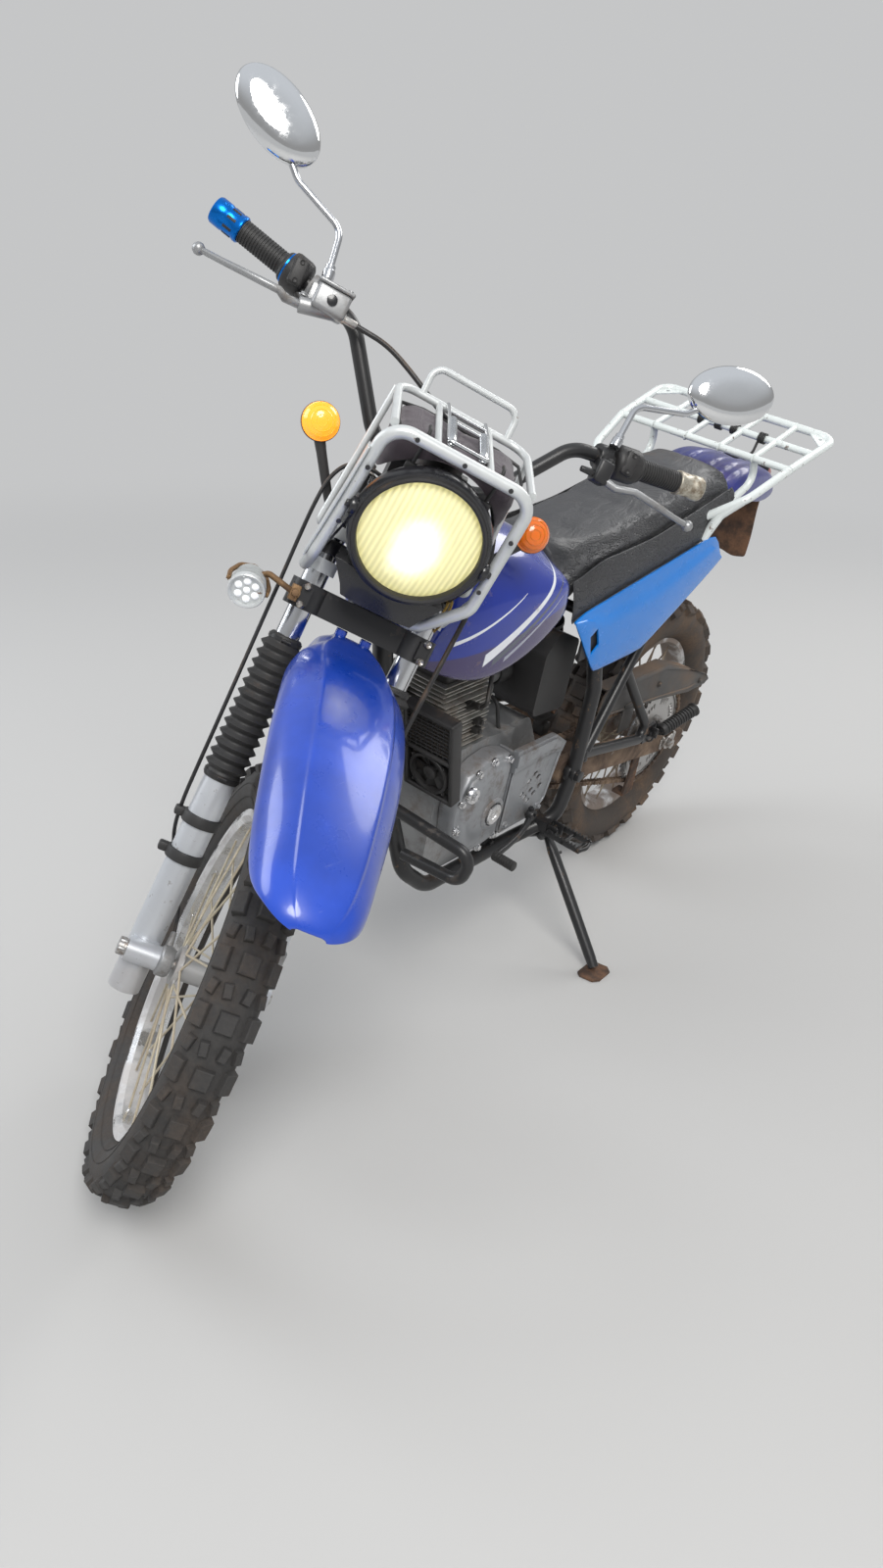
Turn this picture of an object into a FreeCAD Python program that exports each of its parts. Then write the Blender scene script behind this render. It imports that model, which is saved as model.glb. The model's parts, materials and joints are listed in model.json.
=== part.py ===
"""Dual sport motorcycle, parked on its side stand with the steering on its left stop.

Each piece is drawn upright and straight ahead, then its place is worked out from the rake, the
steering angle and the lean. Upright frame: +X to the rider's left, +Y to the rear, +Z up, with
Y = 0 midway between the axles and the ground at Z = 0. The fork frame has Z up along the
steering axis and -Y forward, with its origin where that axis meets the ground.
All sizes are millimetres.
"""
import os
from math import atan2, cos, degrees, pi, radians, sin, sqrt, tan

import FreeCAD, Part

V = FreeCAD.Vector
Placement = FreeCAD.Placement
Rotation = FreeCAD.Rotation

# Main dimensions
WHEELBASE = 1410.0
RAKE = 27.5
TRAIL = 103.0
STEERING_STOP = 45.0
LEAN = 10.9
FRONT_RADIUS = 345.0
REAR_RADIUS = 325.0

FRONT_AXLE_Y = -705.0
REAR_AXLE_Y = FRONT_AXLE_Y + WHEELBASE
FIT = 0.05
SEAT_GAP = 0.3
SMALL_BEND = 30.0

# Wheels: tread outline as (half width, fall from the tip as a share of the tyre's depth)
FRONT_TREAD = ((12, 0), (31, 0.10), (42, 0.34), (40, 0.60))
REAR_TREAD = ((20, 0), (44, 0.09), (56, 0.35), (53, 0.65))
FRONT_RIM_RADIUS = 262.0
REAR_RIM_RADIUS = 229.0
RIM_HEIGHT = 17.0
RIM_FLOOR = 6.0
FRONT_RIM_HALF = 24.0
REAR_RIM_HALF = 30.0
AXLE_RADIUS = 8.0
SPOKES = 32
SPOKE_RADIUS = 1.9
HUB_HALF = 38.0
DISC_RADIUS = 118.0
DISC_THICK = 4.0

# Fork, in the fork frame
LEG_X = 90.0
LEG_FORWARD = 35.0
LEG_RADIUS = 25.0
TUBE_RADIUS = 18.5
LEG_BOTTOM = 281.0
LEG_TOP = 652.0
GAITER_TOP = 875.0
GAITER_RADIUS = 33.0
GAITER_RIBS = 12
LOWER_CLAMP_LOW = 920.0
LOWER_CLAMP_HIGH = 960.0
UPPER_CLAMP_LOW = 1092.0
UPPER_CLAMP_HIGH = 1122.0
CLAMP_WALL = 10.0
STEM_RADIUS = 15.0
HEAD_RADIUS = 26.0
FORK_TOP = 1136.0

# Handlebar, in the fork frame
BAR_RADIUS = 11.1
RISER_HEIGHT = 63.0
BAR_CLAMP_HEIGHT = UPPER_CLAMP_HIGH + RISER_HEIGHT
BAR_CLAMP_X = 45.0
BAR_BASE_X = 90.0
BAR_KNEE = V(188, 8, 1322)
BAR_END = V(418, 48, 1370)
GRIP_LENGTH = 120.0
GRIP_RADIUS = 16.5

# Headlight, in the upright frame
LAMP_CENTRE = V(0, -470, 1036)
LAMP_RADIUS = 100.0
LENS_RADIUS = 88.0
LAMP_DEPTH = 112.0
GUARD_Y = -462.0
GUARD_TUBE = 9.0

# Engine
CRANK = V(0, -52, 430)
CASE_HALF = 76.0
COVER_OUT = 126.0
FINS = 11
FIN_PITCH = 11.5
FIN_THICK = 4.0
SPROCKET_Y = 105.0
SPROCKET_Z = 430.0

# Chain line
CHAIN_X = 75.0
CHAIN_PITCH = 15.875
FRONT_TEETH = 15
REAR_TEETH = 48
CHAIN_HALF_HEIGHT = 8.0
CHAIN_HALF_WIDTH = 8.0
SPROCKET_HALF = 3.0

# Swingarm and frame
PIVOT = V(0, 220, 416)
ARM_X = 107.0
ARM_HALF = 10.0
FRAME_X = 112.0
UPRIGHT_X = 134.0
FRAME_TUBE = 15.0
SEAT_RAIL_X = 92.0
RAIL_END_X = 84.0
RAIL_TUBE = 11.0

SHOCK_TOP = V(0, 200, 754)
SHOCK_LOW = V(0, 292, 440)

SILENCER_X = 178.0

# Rear rack, drawn flat in a frame that slopes up to the rear
RACK_HALF = 202.0
RACK_LENGTH = 195.0
RACK_TUBE = 8.5
RACK_HOLE = 4.5
RACK_HOLE_X = RACK_HALF - 14.0
RACK_HOLE_Y = RACK_LENGTH - 24.0
RACK_FRAME = Placement(V(0, 686, 1012), Rotation(V(1, 0, 0), 14.5))

# Side stand, with the direction it points when it is folded back
STAND_FOLDED = V(0.10, 0.99, 0.0)
STAND_PIVOT = V(122, 196, 276)
STAND_FOOT = V(338, 140, 74)
STAND_TUBE = 12.0
STAND_EYE_HALF = 6.0
STAND_PIN = 5.0
STAND_AXIS = (STAND_FOOT - STAND_PIVOT).cross(STAND_FOLDED).normalize()

FORK_FRAME = Placement(V(0, FRONT_AXLE_Y - TRAIL, 0), Rotation(V(1, 0, 0), -RAKE))
TURNED = Placement(V(), Rotation(V(0, 0, 1), STEERING_STOP))
FORK_OFFSET = FRONT_RADIUS * sin(radians(RAKE)) - TRAIL * cos(radians(RAKE))
AXLE_HEIGHT = FORK_FRAME.inverse().multVec(V(0, FRONT_AXLE_Y, FRONT_RADIUS)).z
FRONT_WHEEL = Placement(V(0, -FORK_OFFSET, AXLE_HEIGHT), Rotation())
REAR_WHEEL = Placement(V(0, REAR_AXLE_Y, REAR_RADIUS), Rotation())


def mirrored(shape):
    """The same shape on the other side of the middle plane."""
    return shape.mirror(V(), V(1, 0, 0))


def placed(shape, place):
    shape.Placement = place * shape.Placement
    return shape


def both_sides(shape):
    return Part.makeCompound([shape, mirrored(shape)])


def fused(shapes):
    """One solid from shapes that touch or cross."""
    result = shapes[0].multiFuse(shapes[1:]) if len(shapes) > 1 else shapes[0]
    return result.removeSplitter()


def rounded_edges(points, radius, closed=False):
    """Straight runs through the points, joined by tangent arcs."""
    points = [V(*p) for p in points]
    radii = list(radius) if isinstance(radius, (list, tuple)) else [radius] * len(points)
    count = len(points)
    corners = range(count) if closed else range(1, count - 1)
    cuts = {}
    for i in corners:
        before, corner, after = points[i - 1], points[i], points[(i + 1) % count]
        to_before, to_after = before - corner, after - corner
        half = to_before.getAngle(to_after) / 2
        shorter = min(to_before.Length, to_after.Length)
        if radii[i] > 0 and half < pi / 2 - 1e-4:
            trim = min(radii[i] / tan(half), 0.48 * shorter)
            u, w = to_before.normalize(), to_after.normalize()
            reach = trim * tan(half)
            middle = (u + w).normalize()
            centre = corner + middle * (reach / sin(half))
            cuts[i] = (corner + u * trim, centre - middle * reach, corner + w * trim)
    edges = []
    start = cuts[0][2] if closed and 0 in cuts else points[0]
    order = list(range(1, count)) + ([0] if closed else [])
    for i in order:
        if i in cuts:
            first, middle, last = cuts[i]
            if (first - start).Length > 1e-3:
                edges.append(Part.LineSegment(start, first).toShape())
            edges.append(Part.Arc(first, middle, last).toShape())
            start = last
        else:
            if (points[i] - start).Length > 1e-3:
                edges.append(Part.LineSegment(start, points[i]).toShape())
            start = points[i]
    return edges


def outline(points, radius=0.0):
    """A closed wire through the points with rounded corners."""
    return Part.Wire(rounded_edges(points, radius, closed=True))


def slab(points, radius, depth):
    """A plate: a rounded outline pushed through a depth."""
    return Part.Face(outline(points, radius)).extrude(depth)


def rod(start, end, radius):
    """A round bar between two points."""
    return Part.makeCylinder(radius, (end - start).Length, start, end - start)


def tube(points, radius, bend=SMALL_BEND):
    """A bent round bar: straight runs joined by tangent arcs."""
    path = Part.Wire(rounded_edges(points, bend))
    first, second = V(*points[0]), V(*points[1])
    ring = Part.Wire(Part.makeCircle(radius, first, second - first))
    return path.makePipe(Part.Face(ring))


def turned(profile, base, direction):
    """A solid of revolution from (radius, height) pairs along an axis."""
    points = [V(r, 0, h) for r, h in profile]
    face = Part.Face(Part.makePolygon(points + [points[0]]))
    solid = face.revolve(V(), V(0, 0, 1), 360)
    solid.Placement = Placement(base, Rotation(V(0, 0, 1), direction))
    return solid


def lofted(sections, ruled=False):
    return Part.makeLoft(sections, True, ruled)


def box(low, high):
    size = high - low
    return Part.makeBox(size.x, size.y, size.z, low)


# Wheels, in the wheel frame: axle along X, centre at the origin


def ring_profile(tread, radius, rim_radius, rim_half):
    """Outer outline of a tyre, from one bead over the tread to the other."""
    side = [(half, radius - fall * (radius - rim_radius)) for half, fall in tread]
    right = [(rim_half - 3, rim_radius)] + side[::-1]
    return right + [(-half, height) for half, height in right[::-1]]


def tyre(tread, radius, rim_radius, rim_half):
    points = [V(x, 0, height) for x, height in ring_profile(tread, radius, rim_radius, rim_half)]
    face = Part.Face(Part.makePolygon(points + [points[0]]))
    return face.revolve(V(), V(1, 0, 0), 360)


def rim(radius, half):
    """Drop-centre rim with upright flanges."""
    low = radius - RIM_HEIGHT
    points = [V(x, 0, z) for x, z in (
        (-half, radius - FIT), (-half, low + RIM_FLOOR), (-half + 8, low), (half - 8, low),
        (half, low + RIM_FLOOR), (half, radius - FIT))]
    face = Part.Face(Part.makePolygon(points + [points[0]]))
    return face.revolve(V(), V(1, 0, 0), 360)


def spokes(hub_radius, hub_x, rim_radius):
    """Crossed spokes: odd ones lean back, even ones forward, alternating between flanges."""
    bars = []
    lean = 46.0
    for i in range(SPOKES):
        side = 1 if i % 2 else -1
        lead = lean if (i // 2) % 2 else -lean
        angle = radians(360.0 * i / SPOKES)
        root = angle + radians(lead)
        start = V(side * hub_x, hub_radius * sin(root), hub_radius * cos(root))
        end = V(side * 6, rim_radius * sin(angle), rim_radius * cos(angle))
        bars.append(rod(start, end, SPOKE_RADIUS))
    return bars


def front_rim():
    hub = turned(((AXLE_RADIUS + FIT, -HUB_HALF), (30, -HUB_HALF), (30, -30), (20, -26), (20, 26),
                  (30, 30), (30, HUB_HALF), (AXLE_RADIUS + FIT, HUB_HALF)), V(), V(1, 0, 0))
    bars = spokes(27, 33, FRONT_RIM_RADIUS - RIM_HEIGHT + 3)
    return fused([rim(FRONT_RIM_RADIUS, FRONT_RIM_HALF), hub] + bars)


def brake_disc():
    inner, outer = HUB_HALF + FIT, HUB_HALF + FIT + DISC_THICK
    return turned(((24, inner), (DISC_RADIUS, inner), (DISC_RADIUS, outer), (24, outer)),
                  V(), V(1, 0, 0))


def rear_rim():
    hub = turned(((AXLE_RADIUS + 1 + FIT, -48), (30, -48), (72, -44), (72, -18), (34, -12), (34, 38),
                  (44, 44), (44, 60), (AXLE_RADIUS + 1 + FIT, 60)), V(), V(1, 0, 0))
    bars = spokes(36, 24, REAR_RIM_RADIUS - RIM_HEIGHT + 3)
    return fused([rim(REAR_RIM_RADIUS, REAR_RIM_HALF), hub] + bars)


def pitch_radius(teeth):
    return CHAIN_PITCH / (2 * sin(pi / teeth))


def sprocket_ring():
    radius = pitch_radius(REAR_TEETH) + 4
    x = CHAIN_X
    return turned(((30, x - SPROCKET_HALF), (radius, x - SPROCKET_HALF), (radius, x + SPROCKET_HALF),
                   (30, x + SPROCKET_HALF)), V(), V(1, 0, 0))


def rear_sprocket():
    """Toothed ring on its carrier beside the hub."""
    return fused([sprocket_ring(), sprocket_carrier()])


def sprocket_carrier():
    return turned(((AXLE_RADIUS + 1 + FIT, 60), (50, 60), (50, CHAIN_X - SPROCKET_HALF),
                   (30, CHAIN_X - SPROCKET_HALF), (30, 84), (AXLE_RADIUS + 1 + FIT, 84)),
                  V(), V(1, 0, 0))


# Fork and steering, in the fork frame


def leg_axis(height, side=1):
    return V(side * LEG_X, -LEG_FORWARD, height)


def fork_legs():
    """Lower legs with the axle carried on a boss ahead of each."""
    leg = Part.makeCylinder(LEG_RADIUS, LEG_TOP - LEG_BOTTOM, leg_axis(LEG_BOTTOM))
    boss = Part.makeCylinder(19, 50, V(LEG_X - 25, -FORK_OFFSET, AXLE_HEIGHT), V(1, 0, 0))
    web = box(V(LEG_X - 20, -FORK_OFFSET, AXLE_HEIGHT - 18),
              V(LEG_X + 20, -LEG_FORWARD, AXLE_HEIGHT + 18))
    bore = Part.makeCylinder(TUBE_RADIUS + FIT, 120, leg_axis(LEG_TOP - 100))
    eye = Part.makeCylinder(AXLE_RADIUS + FIT, 80, V(LEG_X - 40, -FORK_OFFSET, AXLE_HEIGHT),
                            V(1, 0, 0))
    return both_sides(fused([leg, boss, web]).cut(bore).cut(eye))


def fork_tubes():
    leg = Part.makeCylinder(TUBE_RADIUS, FORK_TOP - LEG_TOP + 90, leg_axis(LEG_TOP - 90))
    cap = Part.makeCylinder(14, 10, leg_axis(FORK_TOP))
    return both_sides(fused([leg, cap]))


def fork_gaiters():
    """Ribbed boots from the lower legs up to the chrome tubes."""
    low = LEG_TOP - 14
    pitch = (GAITER_TOP - low - 16) / GAITER_RIBS
    outer = [(GAITER_RADIUS - 5, low), (GAITER_RADIUS - 5, low + 8)]
    for i in range(GAITER_RIBS):
        base = low + 8 + i * pitch
        outer.append((GAITER_RADIUS, base + 0.45 * pitch))
        outer.append((GAITER_RADIUS - 5, base + pitch))
    outer += [(TUBE_RADIUS + 5, GAITER_TOP), (TUBE_RADIUS + FIT, GAITER_TOP)]
    inner = [(TUBE_RADIUS + FIT, LEG_TOP + 4), (LEG_RADIUS + FIT, LEG_TOP + 4),
             (LEG_RADIUS + FIT, low)]
    return both_sides(turned(outer + inner, leg_axis(0), V(0, 0, 1)))


def fork_bore(side):
    """The space that one fork tube fills."""
    return Part.makeCylinder(TUBE_RADIUS + FIT, 600, leg_axis(700, side))


def tube_ring(low, height, side, extra=None):
    """A clamp ring round one fork tube, with what it carries fused on."""
    ring = Part.makeCylinder(TUBE_RADIUS + 6.5, height, leg_axis(low, side))
    return fused([ring] + (extra or [])).cut(fork_bore(side))


def clamp_plate(low, high, stem_forward):
    """One triple clamp: rings for both tubes, joined to the stem boss."""
    height = V(0, 0, high - low)
    ring_radius = TUBE_RADIUS + CLAMP_WALL
    rings = [Part.makeCylinder(ring_radius, height.z, leg_axis(low, side)) for side in (1, -1)]
    boss = Part.makeCylinder(stem_forward, height.z, V(0, 0, low))
    bridge = slab([(-LEG_X, -LEG_FORWARD - 14, low), (LEG_X, -LEG_FORWARD - 14, low),
                   (LEG_X, -LEG_FORWARD + 16, low), (22, 20, low), (-22, 20, low),
                   (-LEG_X, -LEG_FORWARD + 16, low)], 8, height)
    lugs = [box(V(side * (LEG_X + 6) - 8, -LEG_FORWARD - ring_radius - 12, low + 6),
                V(side * (LEG_X + 6) + 8, -LEG_FORWARD - TUBE_RADIUS, high - 6))
            for side in (1, -1)]
    body = fused(rings + [boss, bridge] + lugs)
    for side in (1, -1):
        body = body.cut(Part.makeCylinder(TUBE_RADIUS + FIT, 300, leg_axis(low - 100, side)))
    return body


def lower_clamp():
    plate = clamp_plate(LOWER_CLAMP_LOW, LOWER_CLAMP_HIGH, 24)
    stem = Part.makeCylinder(STEM_RADIUS, UPPER_CLAMP_LOW - LOWER_CLAMP_HIGH - SEAT_GAP,
                             V(0, 0, LOWER_CLAMP_HIGH))
    return fused([plate, stem])


def upper_clamp():
    """Top clamp with its stem nut and the two bar risers."""
    pieces = [clamp_plate(UPPER_CLAMP_LOW, UPPER_CLAMP_HIGH, 24),
              Part.makeCylinder(16, 10, V(0, 0, UPPER_CLAMP_HIGH))]
    for side in (1, -1):
        x = side * BAR_CLAMP_X
        pieces.append(box(V(x - 13, -18, UPPER_CLAMP_HIGH - 4), V(x + 13, 18, BAR_CLAMP_HEIGHT)))
        pieces.append(Part.makeCylinder(20, 26, V(x - 13, 0, BAR_CLAMP_HEIGHT), V(1, 0, 0)))
    bore = Part.makeCylinder(BAR_RADIUS + FIT, 200, V(-100, 0, BAR_CLAMP_HEIGHT), V(1, 0, 0))
    return fused(pieces).cut(bore)


def front_axle():
    shaft = Part.makeCylinder(AXLE_RADIUS, 2 * LEG_X + 60, V(-LEG_X - 30, -FORK_OFFSET, AXLE_HEIGHT),
                              V(1, 0, 0))
    nut = Part.makeCylinder(13, 12, V(-LEG_X - 37.3, -FORK_OFFSET, AXLE_HEIGHT), V(1, 0, 0))
    return fused([shaft, nut])


def bar_points():
    left = [V(BAR_BASE_X, 0, BAR_CLAMP_HEIGHT), BAR_KNEE, BAR_END]
    right = [V(-p.x, p.y, p.z) for p in reversed(left)]
    return right + left


def handlebar(radius=BAR_RADIUS):
    return tube(bar_points(), radius, 60)


def bar_direction():
    return (BAR_END - BAR_KNEE).normalize()


def on_bar(from_end, side=1):
    """A point on the straight end of the bar, measured in from its tip."""
    point = BAR_END - bar_direction() * from_end
    return V(side * point.x, point.y, point.z)


def on_bar_sleeve(inner, outer, radius, side=1):
    """A sleeve round the bar between two distances from its tip."""
    start, end = on_bar(inner, side), on_bar(outer, side)
    sleeve = rod(start, end, radius)
    reach = (end - start).normalize()
    return sleeve.cut(rod(start - reach * 2, end + reach * 2, BAR_RADIUS + FIT))


def grips():
    pieces = []
    for side in (1, -1):
        sleeve = on_bar_sleeve(GRIP_LENGTH, -4, GRIP_RADIUS, side)
        flange = on_bar_sleeve(GRIP_LENGTH, GRIP_LENGTH - 6, GRIP_RADIUS + 5, side)
        pieces.append(fused([sleeve, flange]))
    return Part.makeCompound(pieces)


def switch_pods():
    """Throttle and starter housing on the right, light and horn switches on the left."""
    left = on_bar_sleeve(GRIP_LENGTH + 46, GRIP_LENGTH + 1, 27, 1)
    right = on_bar_sleeve(GRIP_LENGTH + 34, GRIP_LENGTH + 1, 27, -1)
    return Part.makeCompound([left, right])


def lever(side, perch, thick):
    """A lever blade from its perch out to a ball end below the grip."""
    tip = V(side * 420, 18, 1306)
    knee = V(side * 330, -26, 1302)
    return fused([tube([perch, knee, tip], thick, 40), Part.makeSphere(9, tip)])


def hand_levers():
    """Brake master cylinder with its lever, and the clutch perch with its own."""
    return Part.makeCompound([brake_master(), clutch_perch()])


def brake_master():
    """Front brake master cylinder: bar clamp, square reservoir and lever."""
    clamp = on_bar_sleeve(182, 160, 19, -1)
    centre = on_bar(171, -1)
    tank = box(centre + V(-2, -62, -34), centre + V(48, -16, 8))
    barrel = rod(centre + V(-14, -34, -34), centre + V(30, -34, -22), 11)
    blade = lever(-1, centre + V(-14, -34, -34), 6)
    link = box(centre + V(-10, -30, -30), centre + V(12, -12, 6))
    return fused([clamp, tank, barrel, link, blade]).cut(handlebar(BAR_RADIUS + FIT))


def clutch_perch():
    clamp = on_bar_sleeve(196, 172, 19, 1)
    centre = on_bar(184, 1)
    arm = box(centre + V(-12, -44, -44), centre + V(14, -10, -8))
    blade = lever(1, centre + V(8, -34, -36), 6)
    return fused([clamp, arm, blade]).cut(handlebar(BAR_RADIUS + FIT))


def mirror_head(centre, normal, long_axis):
    """Oval mirror: a domed shell with a flat glass face."""
    side = normal.cross(long_axis).normalize()
    grid = FreeCAD.Matrix(long_axis.x, side.x, normal.x, centre.x,
                          long_axis.y, side.y, normal.y, centre.y,
                          long_axis.z, side.z, normal.z, centre.z, 0, 0, 0, 1)
    place = Placement(grid)
    sections = []
    for height, long_half, short_half in ((0, 74, 46), (10, 72, 44), (20, 52, 30)):
        ellipse = Part.Ellipse(V(0, 0, height), long_half, short_half)
        sections.append(Part.Wire(ellipse.toShape()))
    shell = lofted(sections)
    shell.Placement = place
    return shell


def mirrors():
    pieces = []
    for side in (1, -1):
        foot = on_bar(178, side) + V(0, -15.5, 17.7)
        stem_points = [foot, V(side * 256, 24, 1427), V(side * 338, 34, 1458),
                       V(side * 372, 42, 1492)]
        stem = tube(stem_points, 5, 22)
        centre = V(side * 396, 44, 1520)
        long_axis = V(side * 0.9, 0, 0.42).normalize()
        normal = V(side * 0.12, -1, 0.2)
        normal = (normal - long_axis * normal.dot(long_axis)).normalize()
        head = mirror_head(centre, normal, long_axis)
        pieces.append(fused([stem, head]))
    return Part.makeCompound(pieces)


def front_signals():
    pieces = []
    for side in (1, -1):
        lens = turned(((0, -26), (20, -26), (28, -10), (28, 8), (18, 26), (0, 28)),
                      V(side * 176, -40, 1170), V(0, -1, 0))
        stalk = rod(V(side * 110, -28, 1066), V(side * 172, -40, 1156), 6)
        pieces.append(fused([lens, tube_ring(1058, 20, side, [stalk])]))
    return Part.makeCompound(pieces)


def spot_lamp():
    """Small finned spot lamp on the right lower clamp."""
    centre = V(-174, -62, 920)
    forward = V(0, -cos(radians(RAKE)), -sin(radians(RAKE)))
    body = turned(((0, -24), (22, -24), (26, -18), (26, 22), (0, 22)), centre, forward)
    foot = box(V(-118, -76, 928), V(-LEG_X - 14 - SEAT_GAP, -64, 948))
    strap = rod(V(-112, -70, 936), centre + V(20, 6, 0), 5)
    return fused([body, strap, foot])


def fender_section(forward, top, half, skirt, wall=3.0):
    """One upside-down U across the front fender, drawn in the fork frame."""
    round_edge = min(0.55 * half, skirt * 0.8)
    outer = [(-half, -skirt), (-half, 0), (half, 0), (half, -skirt)]
    inner = [(half - wall, -skirt), (half - wall, -wall), (-half + wall, -wall),
             (-half + wall, -skirt)]
    radii = [0, round_edge, round_edge, 0, 0, round_edge - wall, round_edge - wall, 0]
    return outline([(x, -forward, top + z) for x, z in outer + inner], radii)


FENDER = (
    # forward, top, half width, skirt
    (-60, 884, 46, 26), (40, 914, 50, 30), (90, 906, 60, 44), (180, 886, 90, 60),
    (300, 842, 94, 78), (430, 758, 78, 84), (520, 680, 64, 50))


def front_fender():
    """Fender with two pads that bear on the underside of the lower clamp."""
    shell = lofted([fender_section(*row) for row in FENDER], True)
    pads = [Part.makeCylinder(9, LOWER_CLAMP_LOW - SEAT_GAP - 909, V(x, -36, 909)) for x in (-20, 20)]
    return fused([shell] + pads)


# Headlight, guard and front rack, in the upright frame but turning with the fork


def headlight_shell():
    """Lamp bowl on its two ears, and the cowl under it."""
    ears = [lamp_ear(side) for side in (1, -1)]
    return fused([lamp_bowl(), headlight_cowl()] + ears)


def bowl_outline(grow=0.0):
    r, d = LAMP_RADIUS + grow, LAMP_DEPTH + grow
    return [(r, 0), (r, -18), (r - 8, -30), (r - 26, -76), (r - 52, -d), (0, -d)]


def lamp_bowl():
    """Round bowl with a rolled rim, open at the front."""
    r, d = LAMP_RADIUS, LAMP_DEPTH
    inner = [(0, -d + 3), (r - 54, -d + 3), (r - 29, -77), (r - 12, -30), (LENS_RADIUS, -18),
             (LENS_RADIUS, 0)]
    return turned(bowl_outline() + inner, LAMP_CENTRE, V(0, -1, 0))


def lamp_ear(side):
    """Plate from a ring on the fork tube to the side of the lamp bowl."""
    points = [(-28, 1008), (-64, 1031), (-158, 1098), (-178, 1088), (-176, 1066), (-158, 1054)]
    plate = slab([V(side * 99 - 2, y, z) for y, z in points], 6, V(4, 0, 0))
    return placed(tube_ring(1008, 22, side, [plate]), FORK_FRAME)


def headlight_lens():
    r = LENS_RADIUS - SEAT_GAP
    profile = [(0, -12), (r, -12), (r, 0), (0.7 * r, 8), (0.35 * r, 12), (0, 13)]
    return turned(profile, LAMP_CENTRE, V(0, -1, 0))


def headlight_cowl():
    """Black cowl between the lamp and the clamps, with an ear down each side."""
    low = [(-58, -452, 905), (58, -452, 905), (50, -420, 905), (-50, -420, 905)]
    high = [(-84, -444, 945), (84, -444, 945), (76, -412, 945), (-76, -412, 945)]
    return lofted([outline(low, 10), outline(high, 10)], True)


def headlight_guard():
    """Tubular hoop in front of the headlight; its left end curls under the lamp."""
    path = [(-114, -410, 900), (-116, GUARD_Y + 14, 940), (-108, GUARD_Y, 1160),
            (108, GUARD_Y, 1160), (118, GUARD_Y + 10, 970), (70, -425, 892), (20, -412, 892)]
    hoop = tube(path, GUARD_TUBE, 34)
    pieces = [hoop]
    for side in (1, -1):
        start = FORK_FRAME.multVec(V(side * 113, -40, 990))
        stay = rod(start, V(side * 116, -452, 990), 5)
        ring = placed(tube_ring(980, 20, side), FORK_FRAME)
        pieces.append(fused([ring, stay]).cut(placed(fork_bore(side), FORK_FRAME)))
    return fused(pieces)


def front_rack():
    """Tray of thin tube above the lamp, with a bail at its rear and two stays."""
    height, front = 1160, GUARD_Y + GUARD_TUBE + SEAT_GAP
    rear = tube([(-104, front, height), (-104, -300, height), (104, -300, height),
                 (104, front, height)], 6, 30)
    bail = tube([(-68, -300, height), (-68, -282, 1200), (68, -282, 1200), (68, -300, height)], 5, 18)
    rails = [rod(V(x, front, height), V(x, -300, height), 5) for x in (-40, 40)]
    pieces = [rear, bail] + rails
    for side in (1, -1):
        foot = FORK_FRAME.multVec(V(side * 110, -46, 1043))
        elbow = FORK_FRAME.multVec(V(side * 122, -58, 1045))
        stay = tube([foot, elbow, V(side * 106, -320, height)], 5, 8)
        ring = placed(tube_ring(1034, 18, side), FORK_FRAME)
        pieces.append(fused([ring, stay]).cut(placed(fork_bore(side), FORK_FRAME)))
    return fused(pieces)


def front_bag():
    """Soft fabric pouch between the rack and the lamp."""
    top = 1160 - 5 - SEAT_GAP
    low = [(-98, -430, 1078), (98, -430, 1078), (98, -370, 1078), (-98, -370, 1078)]
    high = [(-92, -440, top), (92, -440, top), (92, -312, top), (-92, -312, top)]
    pouch = lofted([outline(low, 16), outline(high, 16)], True)
    profile = [(0, 40), (LAMP_RADIUS + 2, 40)] + bowl_outline(2)
    return pouch.cut(turned(profile, LAMP_CENTRE, V(0, -1, 0)))


def instruments():
    """Speedometer on its bracket above the upper clamp, drawn in the fork frame."""
    floor = UPPER_CLAMP_HIGH + SEAT_GAP
    strap = box(V(-14, -70, floor), V(14, -30, floor + 4))
    post = Part.makeCylinder(9, 46, V(0, -58, floor))
    dial = turned(((0, 0), (34, 0), (36, 30), (0, 34)), V(0, -58, floor + 45), V(0, 0, 1))
    return fused([strap, post, dial])


# Chassis pieces, in the upright frame


def swing(point_y):
    """Height of the swingarm's middle line at a place along the bike."""
    drop = (PIVOT.z - REAR_RADIUS) / (REAR_AXLE_Y - PIVOT.y)
    return PIVOT.z - (point_y - PIVOT.y) * drop


def down_tube(radius):
    return rod(FORK_FRAME.multVec(V(0, 26, LOWER_CLAMP_HIGH + 40)), V(0, -232, 470), radius)


def cradle_tube(side, radius):
    """From the downtube under the engine and up behind it to the seat rail."""
    x = side * UPRIGHT_X
    return tube([(0, -236, 500), (side * 66, -222, 330), (side * 82, -160, 276),
                 (side * 90, 120, 276), (x, 196, 320), (x, 222, 420), (x, 214, 612),
                 (side * SEAT_RAIL_X, 180, 848)], radius, 60)


def stand_lug():
    """Lug that carries the side stand, with its pin."""
    face = STAND_PIVOT - STAND_AXIS * (STAND_EYE_HALF + SEAT_GAP)
    plate = rod(face - STAND_AXIS * 10, face, 16)
    pin = rod(face - STAND_AXIS * 2, STAND_PIVOT + STAND_AXIS * 9, STAND_PIN)
    arm = rod(STAND_PIVOT - STAND_AXIS * 18, V(98, 136, 280), 7)
    return fused([plate, pin, arm])


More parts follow.
